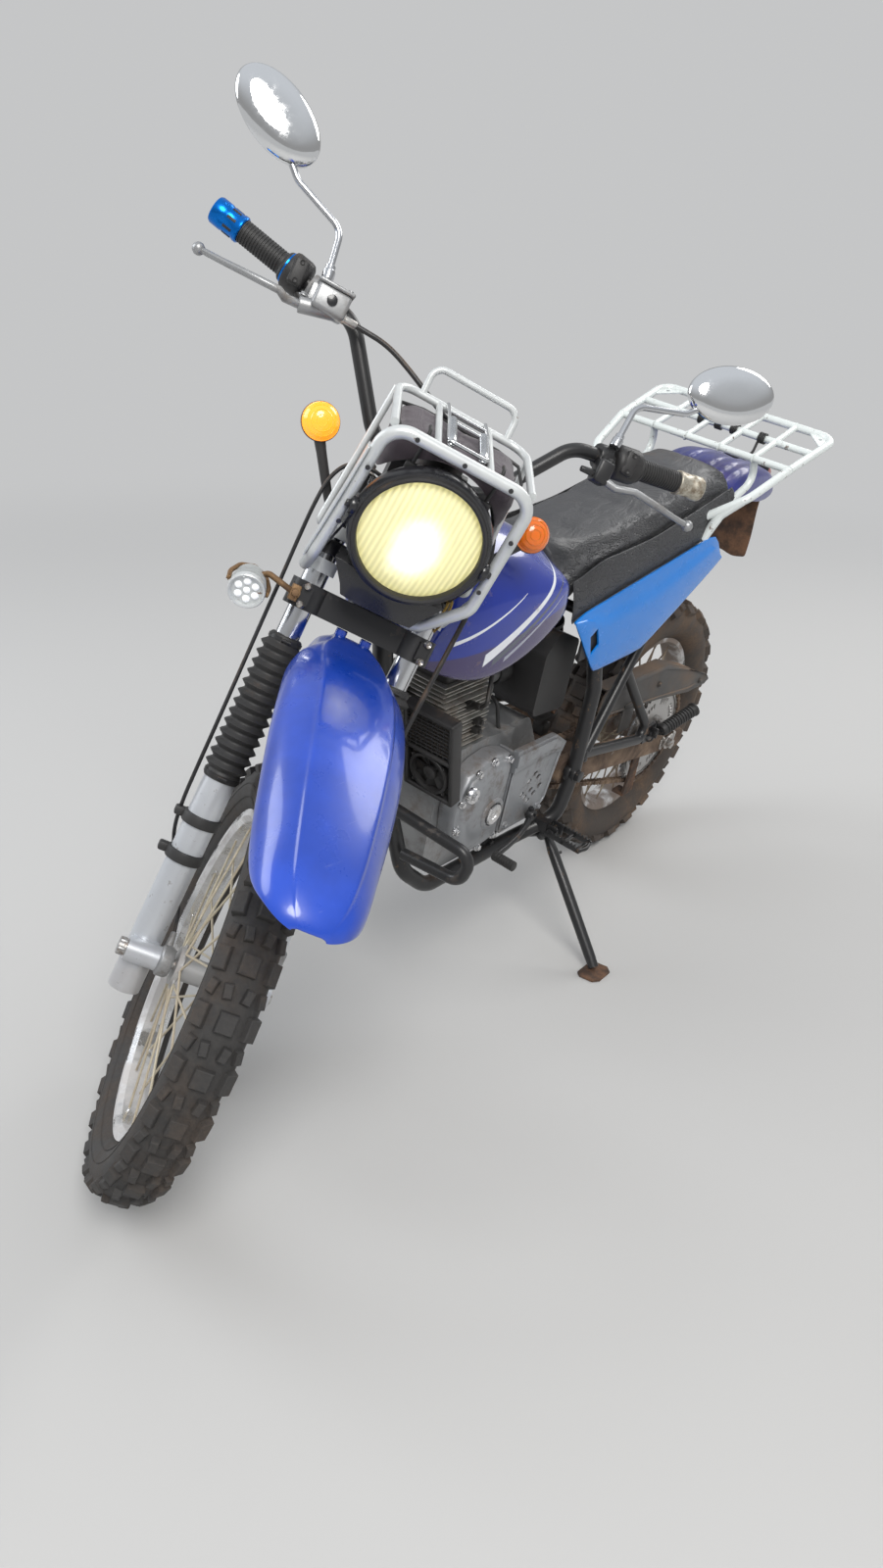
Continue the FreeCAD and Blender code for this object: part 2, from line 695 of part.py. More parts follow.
def frame():
    """Backbone, downtube, double cradle, uprights, seat rails and struts."""
    head_low = FORK_FRAME.multVec(V(0, 0, LOWER_CLAMP_HIGH + SEAT_GAP))
    head_high = FORK_FRAME.multVec(V(0, 0, UPPER_CLAMP_LOW - SEAT_GAP))
    head = rod(head_low, head_high, HEAD_RADIUS)
    top = FORK_FRAME.multVec(V(0, 10, UPPER_CLAMP_LOW - 72))
    backbone = tube([top, V(0, -60, 868), V(0, 40, 858)], 20, 200)
    cross = rod(V(-SEAT_RAIL_X, 40, 850), V(SEAT_RAIL_X, 40, 850), 14)
    rear_cross = rod(V(-SEAT_RAIL_X, 600, 905), V(SEAT_RAIL_X, 600, 905), RAIL_TUBE)
    pivot_bar = rod(V(-UPRIGHT_X, PIVOT.y, PIVOT.z), V(UPRIGHT_X, PIVOT.y, PIVOT.z), 9)
    shock_bar = rod(V(-FRAME_X, SHOCK_TOP.y, SHOCK_TOP.z), V(FRAME_X, SHOCK_TOP.y, SHOCK_TOP.z), 11)
    pieces = [head, backbone, down_tube(17), cross, rear_cross, pivot_bar, shock_bar]
    pieces += [stand_lug(), box(V(-125, 106, 270), V(-88, 132, 302))]
    for side in (1, -1):
        x = side * UPRIGHT_X
        rail = tube([(side * SEAT_RAIL_X, 36, 850), (side * SEAT_RAIL_X, 300, 858),
                     (side * RAIL_END_X, 640, 915), (side * RAIL_END_X, 716, 928)], RAIL_TUBE, 200)
        strut = rod(V(x, 240, 440), V(side * (SEAT_RAIL_X), 610, 906), RAIL_TUBE)
        peg_tube = tube([(x, 236, 456), (x, 560, 392), (side * 116, 372, 606)], RAIL_TUBE, 24)
        pieces += [cradle_tube(side, FRAME_TUBE), rail, strut, peg_tube]
    for side in (1, -1):
        # lugs: passenger peg, rider peg, engine mount, side cover
        for low, high in (((128, 526, 384), (136, 572, 424)), ((108, 152, 298), (143, 178, 322)),
                          ((76.3, 20, 272), (84, 60, 312)), ((88, 392, 826), (96, 412, 876))):
            lug = box(V(*low), V(*high))
            pieces.append(lug if side > 0 else mirrored(lug))
    stem = rod(head_low - (head_high - head_low), head_high + (head_high - head_low),
               STEM_RADIUS + FIT)
    return fused(pieces).cut(stem)


def swingarm():
    """Two box arms joined by a cross piece behind the pivot."""
    arms = []
    for side in (1, -1):
        inner = side * ARM_X - ARM_HALF
        points = [(inner, PIVOT.y - 26, PIVOT.z - 26), (inner, PIVOT.y - 26, PIVOT.z + 26),
                  (inner, 300, swing(300) + 32), (inner, 800, swing(800) + 22),
                  (inner, 800, swing(800) - 24), (inner, 300, swing(300) - 32)]
        arms.append(slab(points, [20, 20, 0, 12, 12, 0], V(2 * ARM_HALF, 0, 0)))
    brace = box(V(-ARM_X, 268, 384), V(ARM_X, 318, 424))
    body = fused(arms + [brace])
    pivot = Part.makeCylinder(9 + FIT, 400, V(-200, PIVOT.y, PIVOT.z), V(1, 0, 0))
    axle = Part.makeCylinder(AXLE_RADIUS + 1 + FIT, 400, V(-200, REAR_AXLE_Y, REAR_RADIUS),
                             V(1, 0, 0))
    return body.cut(pivot).cut(axle)


def rear_axle():
    shaft = Part.makeCylinder(AXLE_RADIUS + 1, 2 * ARM_X + 56,
                              V(-ARM_X - 28, REAR_AXLE_Y, REAR_RADIUS), V(1, 0, 0))
    collar = Part.makeCylinder(15, 12, V(ARM_X - ARM_HALF - 12.3, REAR_AXLE_Y, REAR_RADIUS),
                               V(1, 0, 0))
    return fused([shaft, collar])


def brake_plate():
    """Backing plate of the rear drum with its lever and torque arm."""
    arm_face = ARM_X - ARM_HALF - SEAT_GAP
    return turned(((AXLE_RADIUS + 1 + FIT, 49), (68, 49), (68, 54), (30, 60), (24, arm_face),
                   (AXLE_RADIUS + 1 + FIT, arm_face)), V(0, REAR_AXLE_Y, REAR_RADIUS), V(-1, 0, 0))


def rear_shock():
    """Spring and damper between the shock bar and the swingarm's brace."""
    length = SHOCK_TOP - SHOCK_LOW
    spring = rod(SHOCK_LOW + length * 0.12, SHOCK_LOW + length * 0.84, 30)
    top_eye = rod(SHOCK_TOP - V(14, 0, 0), SHOCK_TOP + V(14, 0, 0), 17)
    foot = box(V(-14, 278, 424 + SEAT_GAP), V(14, 306, 452))
    body = fused([spring, rod(SHOCK_LOW, SHOCK_TOP, 13), top_eye, foot])
    return body.cut(rod(SHOCK_TOP - V(30, 0, 0), SHOCK_TOP + V(30, 0, 0), 11 + FIT))


def chain_loop(offset):
    """Closed outline round both sprockets at a distance from the pitch line."""
    small, large = pitch_radius(FRONT_TEETH) + offset, pitch_radius(REAR_TEETH) + offset
    front, rear = V(0, SPROCKET_Y, SPROCKET_Z), V(0, REAR_AXLE_Y, REAR_RADIUS)
    gap = rear - front
    tilt = atan2(gap.z, gap.y)
    spread = pi / 2 + (large - small) / gap.Length
    def on(centre, radius, angle):
        return centre + V(0, radius * cos(angle), radius * sin(angle))
    upper, lower = tilt + spread, tilt - spread
    return Part.Wire([
        Part.Arc(on(front, small, upper), on(front, small, tilt + pi), on(front, small, lower)).toShape(),
        Part.LineSegment(on(front, small, lower), on(rear, large, lower)).toShape(),
        Part.Arc(on(rear, large, lower), on(rear, large, tilt), on(rear, large, upper)).toShape(),
        Part.LineSegment(on(rear, large, upper), on(front, small, upper)).toShape()])


def chain():
    """The chain as a band, open along its middle where the sprocket teeth run."""
    width = V(2 * CHAIN_HALF_WIDTH, 0, 0)
    start = V(CHAIN_X - CHAIN_HALF_WIDTH, 0, 0)
    outer = Part.Face(chain_loop(CHAIN_HALF_HEIGHT)).extrude(width)
    inner = Part.Face(chain_loop(-CHAIN_HALF_HEIGHT)).extrude(width)
    band = outer.cut(inner)
    band.translate(start)
    for centre, teeth in ((V(0, SPROCKET_Y, SPROCKET_Z), FRONT_TEETH),
                          (V(0, REAR_AXLE_Y, REAR_RADIUS), REAR_TEETH)):
        slot = Part.makeCylinder(pitch_radius(teeth) + CHAIN_HALF_HEIGHT + 2, 9,
                                 centre + V(CHAIN_X - 4.5, 0, 0), V(1, 0, 0))
        band = band.cut(slot)
    return band


def chain_guard():
    points = [(0, 345, 500), (0, 360, 548), (0, 640, 536), (0, 900, 440), (0, 920, 420),
              (0, 810, 418), (0, 400, 478)]
    plate = slab([V(CHAIN_X + 17, y, z) for _, y, z in points], 8, V(4, 0, 0))
    top = slab([V(CHAIN_X - 14, 362, 548), V(CHAIN_X + 20, 362, 548), V(CHAIN_X + 20, 640, 536),
                V(CHAIN_X - 14, 640, 536)], 0, V(0, 0, -4))
    foot = box(V(CHAIN_X + 17, 470, swing(470) + 20), V(ARM_X - ARM_HALF - SEAT_GAP, 520, 480))
    return fused([plate, top, foot])


def crankcase():
    """Engine cases between the covers."""
    points = [(-178, 340), (-150, 296), (100, 286), (150, 330), (168, 470), (120, 545),
              (-40, 556), (-170, 556), (-176, 470)]
    block = slab([V(-CASE_HALF, y, z) for y, z in points], 26, V(2 * CASE_HALF, 0, 0))
    pocket = box(V(62, 46, 280), V(90, 220, 600))
    sprocket = rod(V(CHAIN_X - SPROCKET_HALF, SPROCKET_Y, SPROCKET_Z),
                   V(CHAIN_X + SPROCKET_HALF, SPROCKET_Y, SPROCKET_Z), pitch_radius(FRONT_TEETH) + 4)
    shaft = rod(V(50, SPROCKET_Y, SPROCKET_Z), V(86, SPROCKET_Y, SPROCKET_Z), 12)
    return fused([block.cut(pocket), sprocket, shaft])


def cylinder():
    """Finned barrel and head above the cases."""
    centre_y, low = -122.0, 556 + SEAT_GAP
    core = box(V(-46, centre_y - 48, low), V(46, centre_y + 48, low + FINS * FIN_PITCH + 40))
    pieces = [core]
    for i in range(FINS):
        z = low + 12 + i * FIN_PITCH
        reach = 72 if i < FINS - 3 else 66
        pieces.append(slab([(-reach, centre_y - 70, z), (reach, centre_y - 70, z),
                            (reach, centre_y + 64, z), (-reach, centre_y + 64, z)], 14,
                           V(0, 0, FIN_THICK)))
    return fused(pieces)


def engine_covers():
    """Generator cover and sprocket cover on the left, clutch cover on the right."""
    return Part.makeCompound([left_engine_cover(), sprocket_cover(), right_engine_cover()])


def left_engine_cover():
    points = [(-150, 392), (-120, 352), (-60, 334), (-8, 344), (-4, 530), (-60, 540), (-132, 520),
              (-160, 450)]
    body = slab([V(CASE_HALF + FIT, y, z) for y, z in points], 34,
                V(COVER_OUT - CASE_HALF - FIT, 0, 0))
    cap = Part.makeCylinder(20, 6, V(COVER_OUT, CRANK.y, CRANK.z - 10), V(1, 0, 0))
    return fused([body, cap])


def sprocket_cover():
    points = [(0, 344), (110, 346), (150, 372), (178, 500), (130, 528), (0, 532)]
    plate = slab([V(COVER_OUT - 12, y, z) for y, z in points], 10, V(6, 0, 0))
    wall = box(V(CASE_HALF + FIT, 2, 350), V(COVER_OUT - 10, 10, 526))
    return fused([plate, wall])


def right_engine_cover():
    points = [(-150, 380), (-110, 330), (60, 316), (118, 372), (124, 470), (70, 530), (-100, 536),
              (-158, 470)]
    return slab([V(-CASE_HALF - FIT, y, z) for y, z in points], 34,
                V(CASE_HALF + FIT - COVER_OUT, 0, 0))


def air_box():
    return slab([V(-92, y, z) for y, z in ((72, 570), (184, 560), (184, 708), (110, 738), (72, 700))],
                16, V(184, 0, 0))


def carburettor():
    bowl = Part.makeCylinder(30, 90, V(0, 6, 590))
    throat = rod(V(0, -58 + SEAT_GAP, 640), V(0, 72 - SEAT_GAP, 640), 24)
    return fused([bowl, throat])


def oil_cooler():
    """Finned core in a rounded frame beside the downtube."""
    top, bottom = V(0, -252, 668), V(0, -206, 494)
    plate = slab([V(22, top.y, top.z), V(132, top.y, top.z), V(132, bottom.y, bottom.z),
                  V(22, bottom.y, bottom.z)], 14, V(0, 26, 7))
    lug = box(V(17 + SEAT_GAP, -274, 580), V(30, -222, 600))
    return fused([plate, lug])


def exhaust():
    """Header pipe and silencer down the right side, with a tab to the frame's strut."""
    tab = box(V(-150, 455, 680), V(-142, 467, 724))
    pad = rod(V(-144, 461, 718), V(-120.6, 461, 718), 6)
    return fused([exhaust_pipe(), silencer(), tab, pad])


def exhaust_pipe():
    return tube([(-30, -192 - SEAT_GAP, 652), (-30, -246, 652), (-118, -240, 596), (-146, -80, 584),
                 (-170, 120, 600), (-SILENCER_X, 322, 616)], 19, 60)


def silencer():
    start, end = V(-SILENCER_X, 322, 616), V(-SILENCER_X, 830, 724)
    body = rod(start + (end - start) * 0.08, end, 46)
    return fused([body, rod(start, end, 24)])


def tank_section(y, low_half, high_half, low, high, corner):
    points = [(-low_half, y, low), (low_half, y, low), (high_half, y, high), (-high_half, y, high)]
    return outline(points, [22, 22, corner, corner])


TANK = (
    # y, lower half width, upper half width, low, high, top corner
    (-300, 96, 72, 764, 900, 40), (-240, 132, 92, 738, 950, 56), (-140, 142, 98, 740, 966, 60),
    (-20, 140, 92, 780, 950, 56), (44, 130, 78, 806, 914, 44))


def fork_recess(side):
    """Room at the tank's front corner for a fork tube at full lock, as (x, forward) points."""
    points = [(47, 60), (61, -74), (200, -74), (200, 200), (47, 200)]
    recess = slab([V(side * x, -forward, 900) for x, forward in points], 0, V(0, 0, 300))
    return placed(recess, FORK_FRAME)


def fuel_tank():
    """Tank over the backbone, with a tunnel for it underneath."""
    body = lofted([tank_section(*row) for row in TANK], True)
    cap = Part.makeCylinder(32, 16, V(0, -170, 960))
    tunnel = slab([V(-34, -400, 700), V(-34, 200, 700), V(-34, 200, 889), V(-34, -60, 889),
                   V(-34, -328, 921), V(-34, -400, 930)], 0, V(68, 0, 0))
    pocket = box(V(-106, 18, 780), V(106, 80, 864 + SEAT_GAP))
    tank = fused([body, cap]).cut(tunnel).cut(pocket)
    return tank.cut(fork_recess(1)).cut(fork_recess(-1))


SEAT = (
    # y, lower half width, upper half width, low, high
    (48, 118, 76, 812, 908), (140, 122, 94, 868, 900), (320, 122, 104, 873.8, 922),
    (520, 120, 104, 906.8, 968), (650, 112, 96, 928.6, 986))


def seat():
    """Long seat with a channel under its nose for the frame's rails."""
    body = lofted([tank_section(y, low_half, high_half, low, high, 0.3 * (high - low))
                   for y, low_half, high_half, low, high in SEAT], True)
    channel = slab([V(-104, 20, 760), V(-104, 220, 760), V(-104, 220, 867), V(-104, 20, 862.2)], 0,
                   V(208, 0, 0))
    return body.cut(channel)


def side_covers():
    """Side covers: bowed panels with a slot near the front edge."""
    points = [(163, 668), (56, 788), (90, 802), (553, 872), (626, 812), (343, 673)]
    panel = slab([V(143, y, z) for y, z in points], [10, 14, 10, 16, 20, 30], V(9, 0, 0))
    slot = slab([V(120, y, z) for y, z in ((116, 752), (136, 764), (150, 726), (136, 712))], 6,
                V(60, 0, 0))
    peg = box(V(96 + SEAT_GAP, 394, 828), V(145, 410, 840))
    return both_sides(fused([panel.cut(slot), peg]))


def rear_section(y, half, top, skirt, wall=3.0):
    outer = [(-half, -skirt), (-half, 0), (half, 0), (half, -skirt)]
    inner = [(half - wall, -skirt), (half - wall, -wall), (-half + wall, -wall),
             (-half + wall, -skirt)]
    radii = [0, 24, 24, 0, 0, 21, 21, 0]
    return outline([(x, y, top + z) for x, z in outer + inner], radii)


def rear_fender():
    rows = ((654, 104, 950, 60), (760, 102, 978, 76), (880, 92, 962, 80), (990, 78, 930, 50))
    shell = lofted([rear_section(*row) for row in rows], True)
    pad = box(V(RAIL_END_X + RAIL_TUBE + SEAT_GAP, 672, 908), V(102, 700, 930))
    return fused([shell, pad, mirrored(pad)])


def tail_light():
    return slab([V(-46, y, z) for y, z in ((990.3, 878), (990.3, 940), (1036, 922), (1040, 884))], 8,
                V(92, 0, 0))


def mud_flap():
    half = 84.5
    return slab([V(-half, 905, 910), V(half, 905, 910), V(half, 925, 736), V(-half, 925, 736)], 4,
                V(0, 4, 0))


def rear_rack():
    """Luggage rack: a loop of tube with cross bars, gussets and stays to the seat rails."""
    half, rear, long = RACK_HALF, RACK_HALF + 11, RACK_LENGTH
    loop = tube([(-half, 0, 0), (-rear, long, 0), (rear, long, 0), (half, 0, 0)], RACK_TUBE, 34)
    bars = [rod(V(-half - 11 * y / long, y, 0), V(half + 11 * y / long, y, 0), RACK_TUBE - 1)
            for y in (0, 0.5 * long)]
    rails = [rod(V(x, 0, 0), V(x, long, 0), RACK_TUBE - 2) for x in (-120, -40, 40, 120)]
    pieces = [loop] + bars + rails
    for side in (1, -1):
        corner = [(side * (rear - 3), long - 3, -1.5), (side * (rear - 62), long - 3, -1.5),
                  (side * (rear - 6), long - 62, -1.5)]
        pieces.append(slab(corner, 6, V(0, 0, 3)))
    for piece in pieces:
        piece.Placement = RACK_FRAME * piece.Placement
    for side in (1, -1):
        front = RACK_FRAME.multVec(V(side * half, 0, 0))
        pieces.append(tube([front, (side * 183, 566, 962), (side * 108, 524, 898)], RACK_TUBE, 40))
        pieces.append(tube([(side * 120, 692, 1012), (side * 124, 712, 962), (side * 116, 650, 925),
                            (side * 103.6, 618, 913)], 8, 30))
    rack = fused(pieces)
    for side in (1, -1):
        hole = Part.makeCylinder(RACK_HOLE, 40, V(side * RACK_HOLE_X, RACK_HOLE_Y, -20))
        hole.Placement = RACK_FRAME * hole.Placement
        rack = rack.cut(hole)
    return rack


def foot_pegs():
    """Rider's pegs, and the passenger's folded up against their brackets."""
    return Part.makeCompound([rider_pegs(), passenger_pegs()])


def rider_pegs():
    peg = box(V(FRAME_X + 36, 140, 302), V(FRAME_X + 118, 190, 318))
    arm = box(V(143 + SEAT_GAP, 150, 296), V(FRAME_X + 44, 180, 324))
    return both_sides(fused([peg, arm]))


def passenger_pegs():
    start, end = V(FRAME_X + 40, 572, 412), V(FRAME_X + 62, 676, 448)
    hinge = box(V(136 + SEAT_GAP, 548, 398), V(FRAME_X + 44, 580, 420))
    return both_sides(fused([rod(start, end, 15), hinge]))


def foot_levers():
    """Gear lever on the left and brake pedal on the right."""
    return Part.makeCompound([gear_lever(), brake_pedal()])


def gear_lever():
    boss = rod(V(COVER_OUT - 6 + SEAT_GAP, 88, 366), V(142, 88, 366), 11)
    arm = tube([(135, 88, 362), (146, 40, 345), (160, -64, 348)], 6, 20)
    rubber = rod(V(158, -64, 348), V(206, -64, 348), 10)
    return fused([boss, arm, rubber])


def brake_pedal():
    boss = rod(V(-125 - SEAT_GAP, 120, 290), V(-142, 120, 290), 11)
    arm = tube([(-135, 120, 290), (-150, 70, 302), (-160, -70, 334)], 7, 20)
    pad = box(V(-206, -92, 336), V(-150, -62, 346))
    return fused([boss, arm, pad])


def engine_guard():
    """Crash bar: a loop of tube out to each side of the downtube."""
    loops = [box(V(-26, -274, 452), V(26, -240, 494))]
    for side in (1, -1):
        loops.append(tube([(side * 10, -262, 476), (side * 216, -240, 452), (side * 200, -240, 392),
                           (side * 74, -240, 380)], 11, 30))
    guard = fused(loops).cut(down_tube(17 + SEAT_GAP))
    for side in (1, -1):
        guard = guard.cut(cradle_tube(side, FRAME_TUBE + SEAT_GAP))
    return guard


def side_stand():
    """Leg with a pivot eye at the top and a flat foot that meets the ground."""
    down = (STAND_FOOT - STAND_PIVOT).normalize()
    leg = rod(STAND_PIVOT + down * 20, STAND_FOOT, STAND_TUBE)
    neck = rod(STAND_PIVOT + down * 8, STAND_PIVOT + down * 26, STAND_EYE_HALF - 0.5)
    half = STAND_AXIS * STAND_EYE_HALF
    eye = rod(STAND_PIVOT - half, STAND_PIVOT + half, 16)
    bore = rod(STAND_PIVOT - half * 4, STAND_PIVOT + half * 4, STAND_PIN + SEAT_GAP)
    return fused([leg, neck, eye]).cut(bore)


def stand_foot():
    """Flat foot under the stand leg, drawn level with the ground of the parked bike."""
    ground = PARKED.multVec(STAND_FOOT)
    return box(V(ground.x - 24, ground.y - 34, 0), V(ground.x + 26, ground.y + 30, 7))


def lowest(place, profile):
    """Height of the lowest point of a wheel in a tilted place."""
    axis = place.Rotation.multVec(V(1, 0, 0))
    reach = sqrt(1 - axis.z ** 2)
    return place.Base.z + min(half * axis.z - height * reach for half, height in profile)


def parked():
    """Lean the bike to its left, then pitch it until both tyres touch the ground."""
    front = FORK_FRAME * TURNED * FRONT_WHEEL
    front_profile = ring_profile(FRONT_TREAD, FRONT_RADIUS, FRONT_RIM_RADIUS, FRONT_RIM_HALF)
    rear_profile = ring_profile(REAR_TREAD, REAR_RADIUS, REAR_RIM_RADIUS, REAR_RIM_HALF)
    leaned = Rotation(V(0, 1, 0), LEAN)
    pitch = 0.0
    for _ in range(20):
        tilt = Placement(V(), Rotation(V(1, 0, 0), pitch) * leaned)
        gap = lowest(tilt * front, front_profile) - lowest(tilt * REAR_WHEEL, rear_profile)
        pitch += degrees(gap / WHEELBASE)
    return Placement(V(0, 0, -lowest(tilt * REAR_WHEEL, rear_profile)), tilt.Rotation)


PARKED = parked()
STEERED = PARKED * FORK_FRAME * TURNED
STEERED_UPRIGHT = STEERED * FORK_FRAME.inverse()
FRONT_SPIN = STEERED * FRONT_WHEEL
REAR_SPIN = PARKED * REAR_WHEEL

PIECES = {
    # node: (how it is drawn, the place that carries it)
    "front_tyre": (lambda: tyre(FRONT_TREAD, FRONT_RADIUS, FRONT_RIM_RADIUS, FRONT_RIM_HALF),
                   FRONT_SPIN),
    "front_rim": (front_rim, FRONT_SPIN),
    "front_disc": (brake_disc, FRONT_SPIN),
    "rear_tyre": (lambda: tyre(REAR_TREAD, REAR_RADIUS, REAR_RIM_RADIUS, REAR_RIM_HALF), REAR_SPIN),
    "rear_rim": (rear_rim, REAR_SPIN),
    "rear_sprocket": (rear_sprocket, REAR_SPIN),
    "fork_legs": (fork_legs, STEERED),
    "fork_tubes": (fork_tubes, STEERED),
    "fork_gaiters": (fork_gaiters, STEERED),
    "lower_clamp": (lower_clamp, STEERED),
    "upper_clamp": (upper_clamp, STEERED),
    "front_axle": (front_axle, STEERED),
    "handlebar": (handlebar, STEERED),
    "grips": (grips, STEERED),
    "switch_pods": (switch_pods, STEERED),
    "hand_levers": (hand_levers, STEERED),
    "mirrors": (mirrors, STEERED),
    "front_signals": (front_signals, STEERED),
    "spot_lamp": (spot_lamp, STEERED),
    "front_fender": (front_fender, STEERED),
    "headlight_shell": (headlight_shell, STEERED_UPRIGHT),
    "headlight_lens": (headlight_lens, STEERED_UPRIGHT),
    "headlight_guard": (headlight_guard, STEERED_UPRIGHT),
    "front_rack": (front_rack, STEERED_UPRIGHT),
    "front_bag": (front_bag, STEERED_UPRIGHT),
    "instruments": (instruments, STEERED),
    "frame": (frame, PARKED),
    "swingarm": (swingarm, PARKED),
    "rear_axle": (rear_axle, PARKED),
    "brake_plate": (brake_plate, PARKED),
    "rear_shock": (rear_shock, PARKED),
    "chain": (chain, PARKED),
    "chain_guard": (chain_guard, PARKED),
    "crankcase": (crankcase, PARKED),
    "cylinder": (cylinder, PARKED),
    "engine_covers": (engine_covers, PARKED),
    "air_box": (air_box, PARKED),
    "carburettor": (carburettor, PARKED),
    "oil_cooler": (oil_cooler, PARKED),
    "exhaust": (exhaust, PARKED),
    "fuel_tank": (fuel_tank, PARKED),
    "seat": (seat, PARKED),
    "side_covers": (side_covers, PARKED),
    "rear_fender": (rear_fender, PARKED),
    "tail_light": (tail_light, PARKED),
    "mud_flap": (mud_flap, PARKED),
    "rear_rack": (rear_rack, PARKED),
    "foot_pegs": (foot_pegs, PARKED),
    "foot_levers": (foot_levers, PARKED),
    "engine_guard": (engine_guard, PARKED),
    "side_stand": (side_stand, PARKED),
}


def build():
    """Every piece in the parked frame, with the origin under the middle of the whole."""
    shapes = {name: placed(draw(), place) for name, (draw, place) in PIECES.items()}
    shapes["side_stand"] = fused([shapes["side_stand"], stand_foot()])
    whole = FreeCAD.BoundBox()
    for shape in shapes.values():
        whole.add(shape.BoundBox)
    shift = V(-whole.Center.x, -whole.Center.y, 0)
    for shape in shapes.values():
        shape.translate(shift)
    return shapes, shift


SHAPES, ORIGIN_SHIFT = build()
os.makedirs("parts", exist_ok=True)
for node, piece in SHAPES.items():
    piece.exportStep("parts/" + node + ".step")
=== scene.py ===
"""Dual sport motorcycle on its side stand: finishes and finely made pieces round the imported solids."""

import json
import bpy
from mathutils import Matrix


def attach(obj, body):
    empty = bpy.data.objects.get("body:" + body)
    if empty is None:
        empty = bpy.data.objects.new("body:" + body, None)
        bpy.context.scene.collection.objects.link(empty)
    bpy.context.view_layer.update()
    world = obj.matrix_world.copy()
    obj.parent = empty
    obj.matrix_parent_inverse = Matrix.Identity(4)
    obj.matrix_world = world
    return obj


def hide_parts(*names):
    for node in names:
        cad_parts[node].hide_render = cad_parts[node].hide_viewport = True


bl_info = {
    "name": "Dual Sport Motorcycle",
    "version": (1, 0, 0),
    "blender": (4, 5, 0),
    "location": "3D View > Sidebar > Motorcycle",
    "description": "Builds the motorcycle's tyres, bodywork, seat, lamp, engine details, cables and finishes",
    "category": "Add Mesh",
}

from math import atan2, cos, hypot, pi, radians, sin, sqrt

import bmesh
import bpy
from bpy.props import FloatProperty, FloatVectorProperty, IntProperty, PointerProperty
from mathutils import Matrix, Vector, noise

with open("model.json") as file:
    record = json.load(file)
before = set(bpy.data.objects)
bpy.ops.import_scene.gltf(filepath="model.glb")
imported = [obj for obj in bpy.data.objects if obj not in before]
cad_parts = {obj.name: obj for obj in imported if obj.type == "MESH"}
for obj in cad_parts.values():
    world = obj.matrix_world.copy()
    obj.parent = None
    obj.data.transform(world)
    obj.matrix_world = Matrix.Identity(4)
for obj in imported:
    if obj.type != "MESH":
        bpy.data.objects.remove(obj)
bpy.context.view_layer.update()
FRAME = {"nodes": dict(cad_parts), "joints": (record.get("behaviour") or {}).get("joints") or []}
NODES = FRAME["nodes"]
MM = 0.001

# The motorcycle's own places, as in the solids: sizes in millimetres, angles in degrees
WHEELBASE = 1410.0
RAKE = 27.5
TRAIL = 103.0
STEERING_STOP = 45.0
FRONT_RADIUS = 345.0
REAR_RADIUS = 325.0
FRONT_RIM_RADIUS = 262.0
REAR_RIM_RADIUS = 229.0
LEG_X = 90.0
LEG_FORWARD = 35.0
TUBE_RADIUS = 18.5
LEG_RADIUS = 25.0
DISC_X = 42.05
CRANK_Y = -52.0
GAITER_LOW = 638.0
GAITER_TOP = 875.0
GAITER_RADIUS = 33.0
BAR_KNEE = Vector((188, 8, 1322))
BAR_END = Vector((418, 48, 1370))
LAMP_CENTRE = Vector((0, -470, 1036))
CHAIN_X = 75.0
CHAIN_PITCH = 15.875
CHAIN_LINKS = 108
FRONT_TEETH = 15
REAR_TEETH = 48
SPROCKET_Y = 105
SPROCKET_Z = 430
COVER_OUT = 126.0


def joint(name):
    return next(j for j in FRAME["joints"] if j["name"] == name)


def wheel_lean():
    """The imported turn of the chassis, from the directions of the rear axle and the steering."""
    axle = Vector(joint("rear_wheel_spin")["axis"]).normalized()
    steer = Vector(joint("steering")["axis"]).normalized()
    upright_x = axle
    upright_z = (steer * cos(radians(RAKE)) + (upright_x.cross(steer)) * sin(radians(RAKE))).normalized()
    upright_y = upright_z.cross(upright_x).normalized()
    return Matrix((upright_x, upright_y, upright_z)).transposed()


def place_of_chassis():
    turn = wheel_lean()
    axle = Vector(joint("rear_wheel_spin")["pos_m"])
    base = axle - turn @ Vector((0, WHEELBASE / 2 * MM, REAR_RADIUS * MM))
    return Matrix.Translation(base) @ turn.to_4x4()


CHASSIS = place_of_chassis() @ Matrix.Scale(MM, 4)
CHASSIS_SHIFT = Vector((place_of_chassis().translation.x, place_of_chassis().translation.y, 0))
FORK = (CHASSIS @ Matrix.Translation((0, -WHEELBASE / 2 - TRAIL, 0)) @ Matrix.Rotation(radians(-RAKE), 4,
                                                                                       "X")
        @ Matrix.Rotation(radians(STEERING_STOP), 4, "Z"))
STRAIGHT = (Matrix.Translation((0, -WHEELBASE / 2 - TRAIL, 0)) @ Matrix.Rotation(radians(-RAKE), 4, "X"))
LAMP = FORK @ STRAIGHT.inverted()
FORK_OFFSET = FRONT_RADIUS * sin(radians(RAKE)) - TRAIL * cos(radians(RAKE))
AXLE_HEIGHT = (STRAIGHT.inverted() @ Vector((0, -WHEELBASE / 2, FRONT_RADIUS))).z
FRONT_WHEEL = FORK @ Matrix.Translation((0, -FORK_OFFSET, AXLE_HEIGHT))
REAR_WHEEL = CHASSIS @ Matrix.Translation((0, WHEELBASE / 2, REAR_RADIUS))


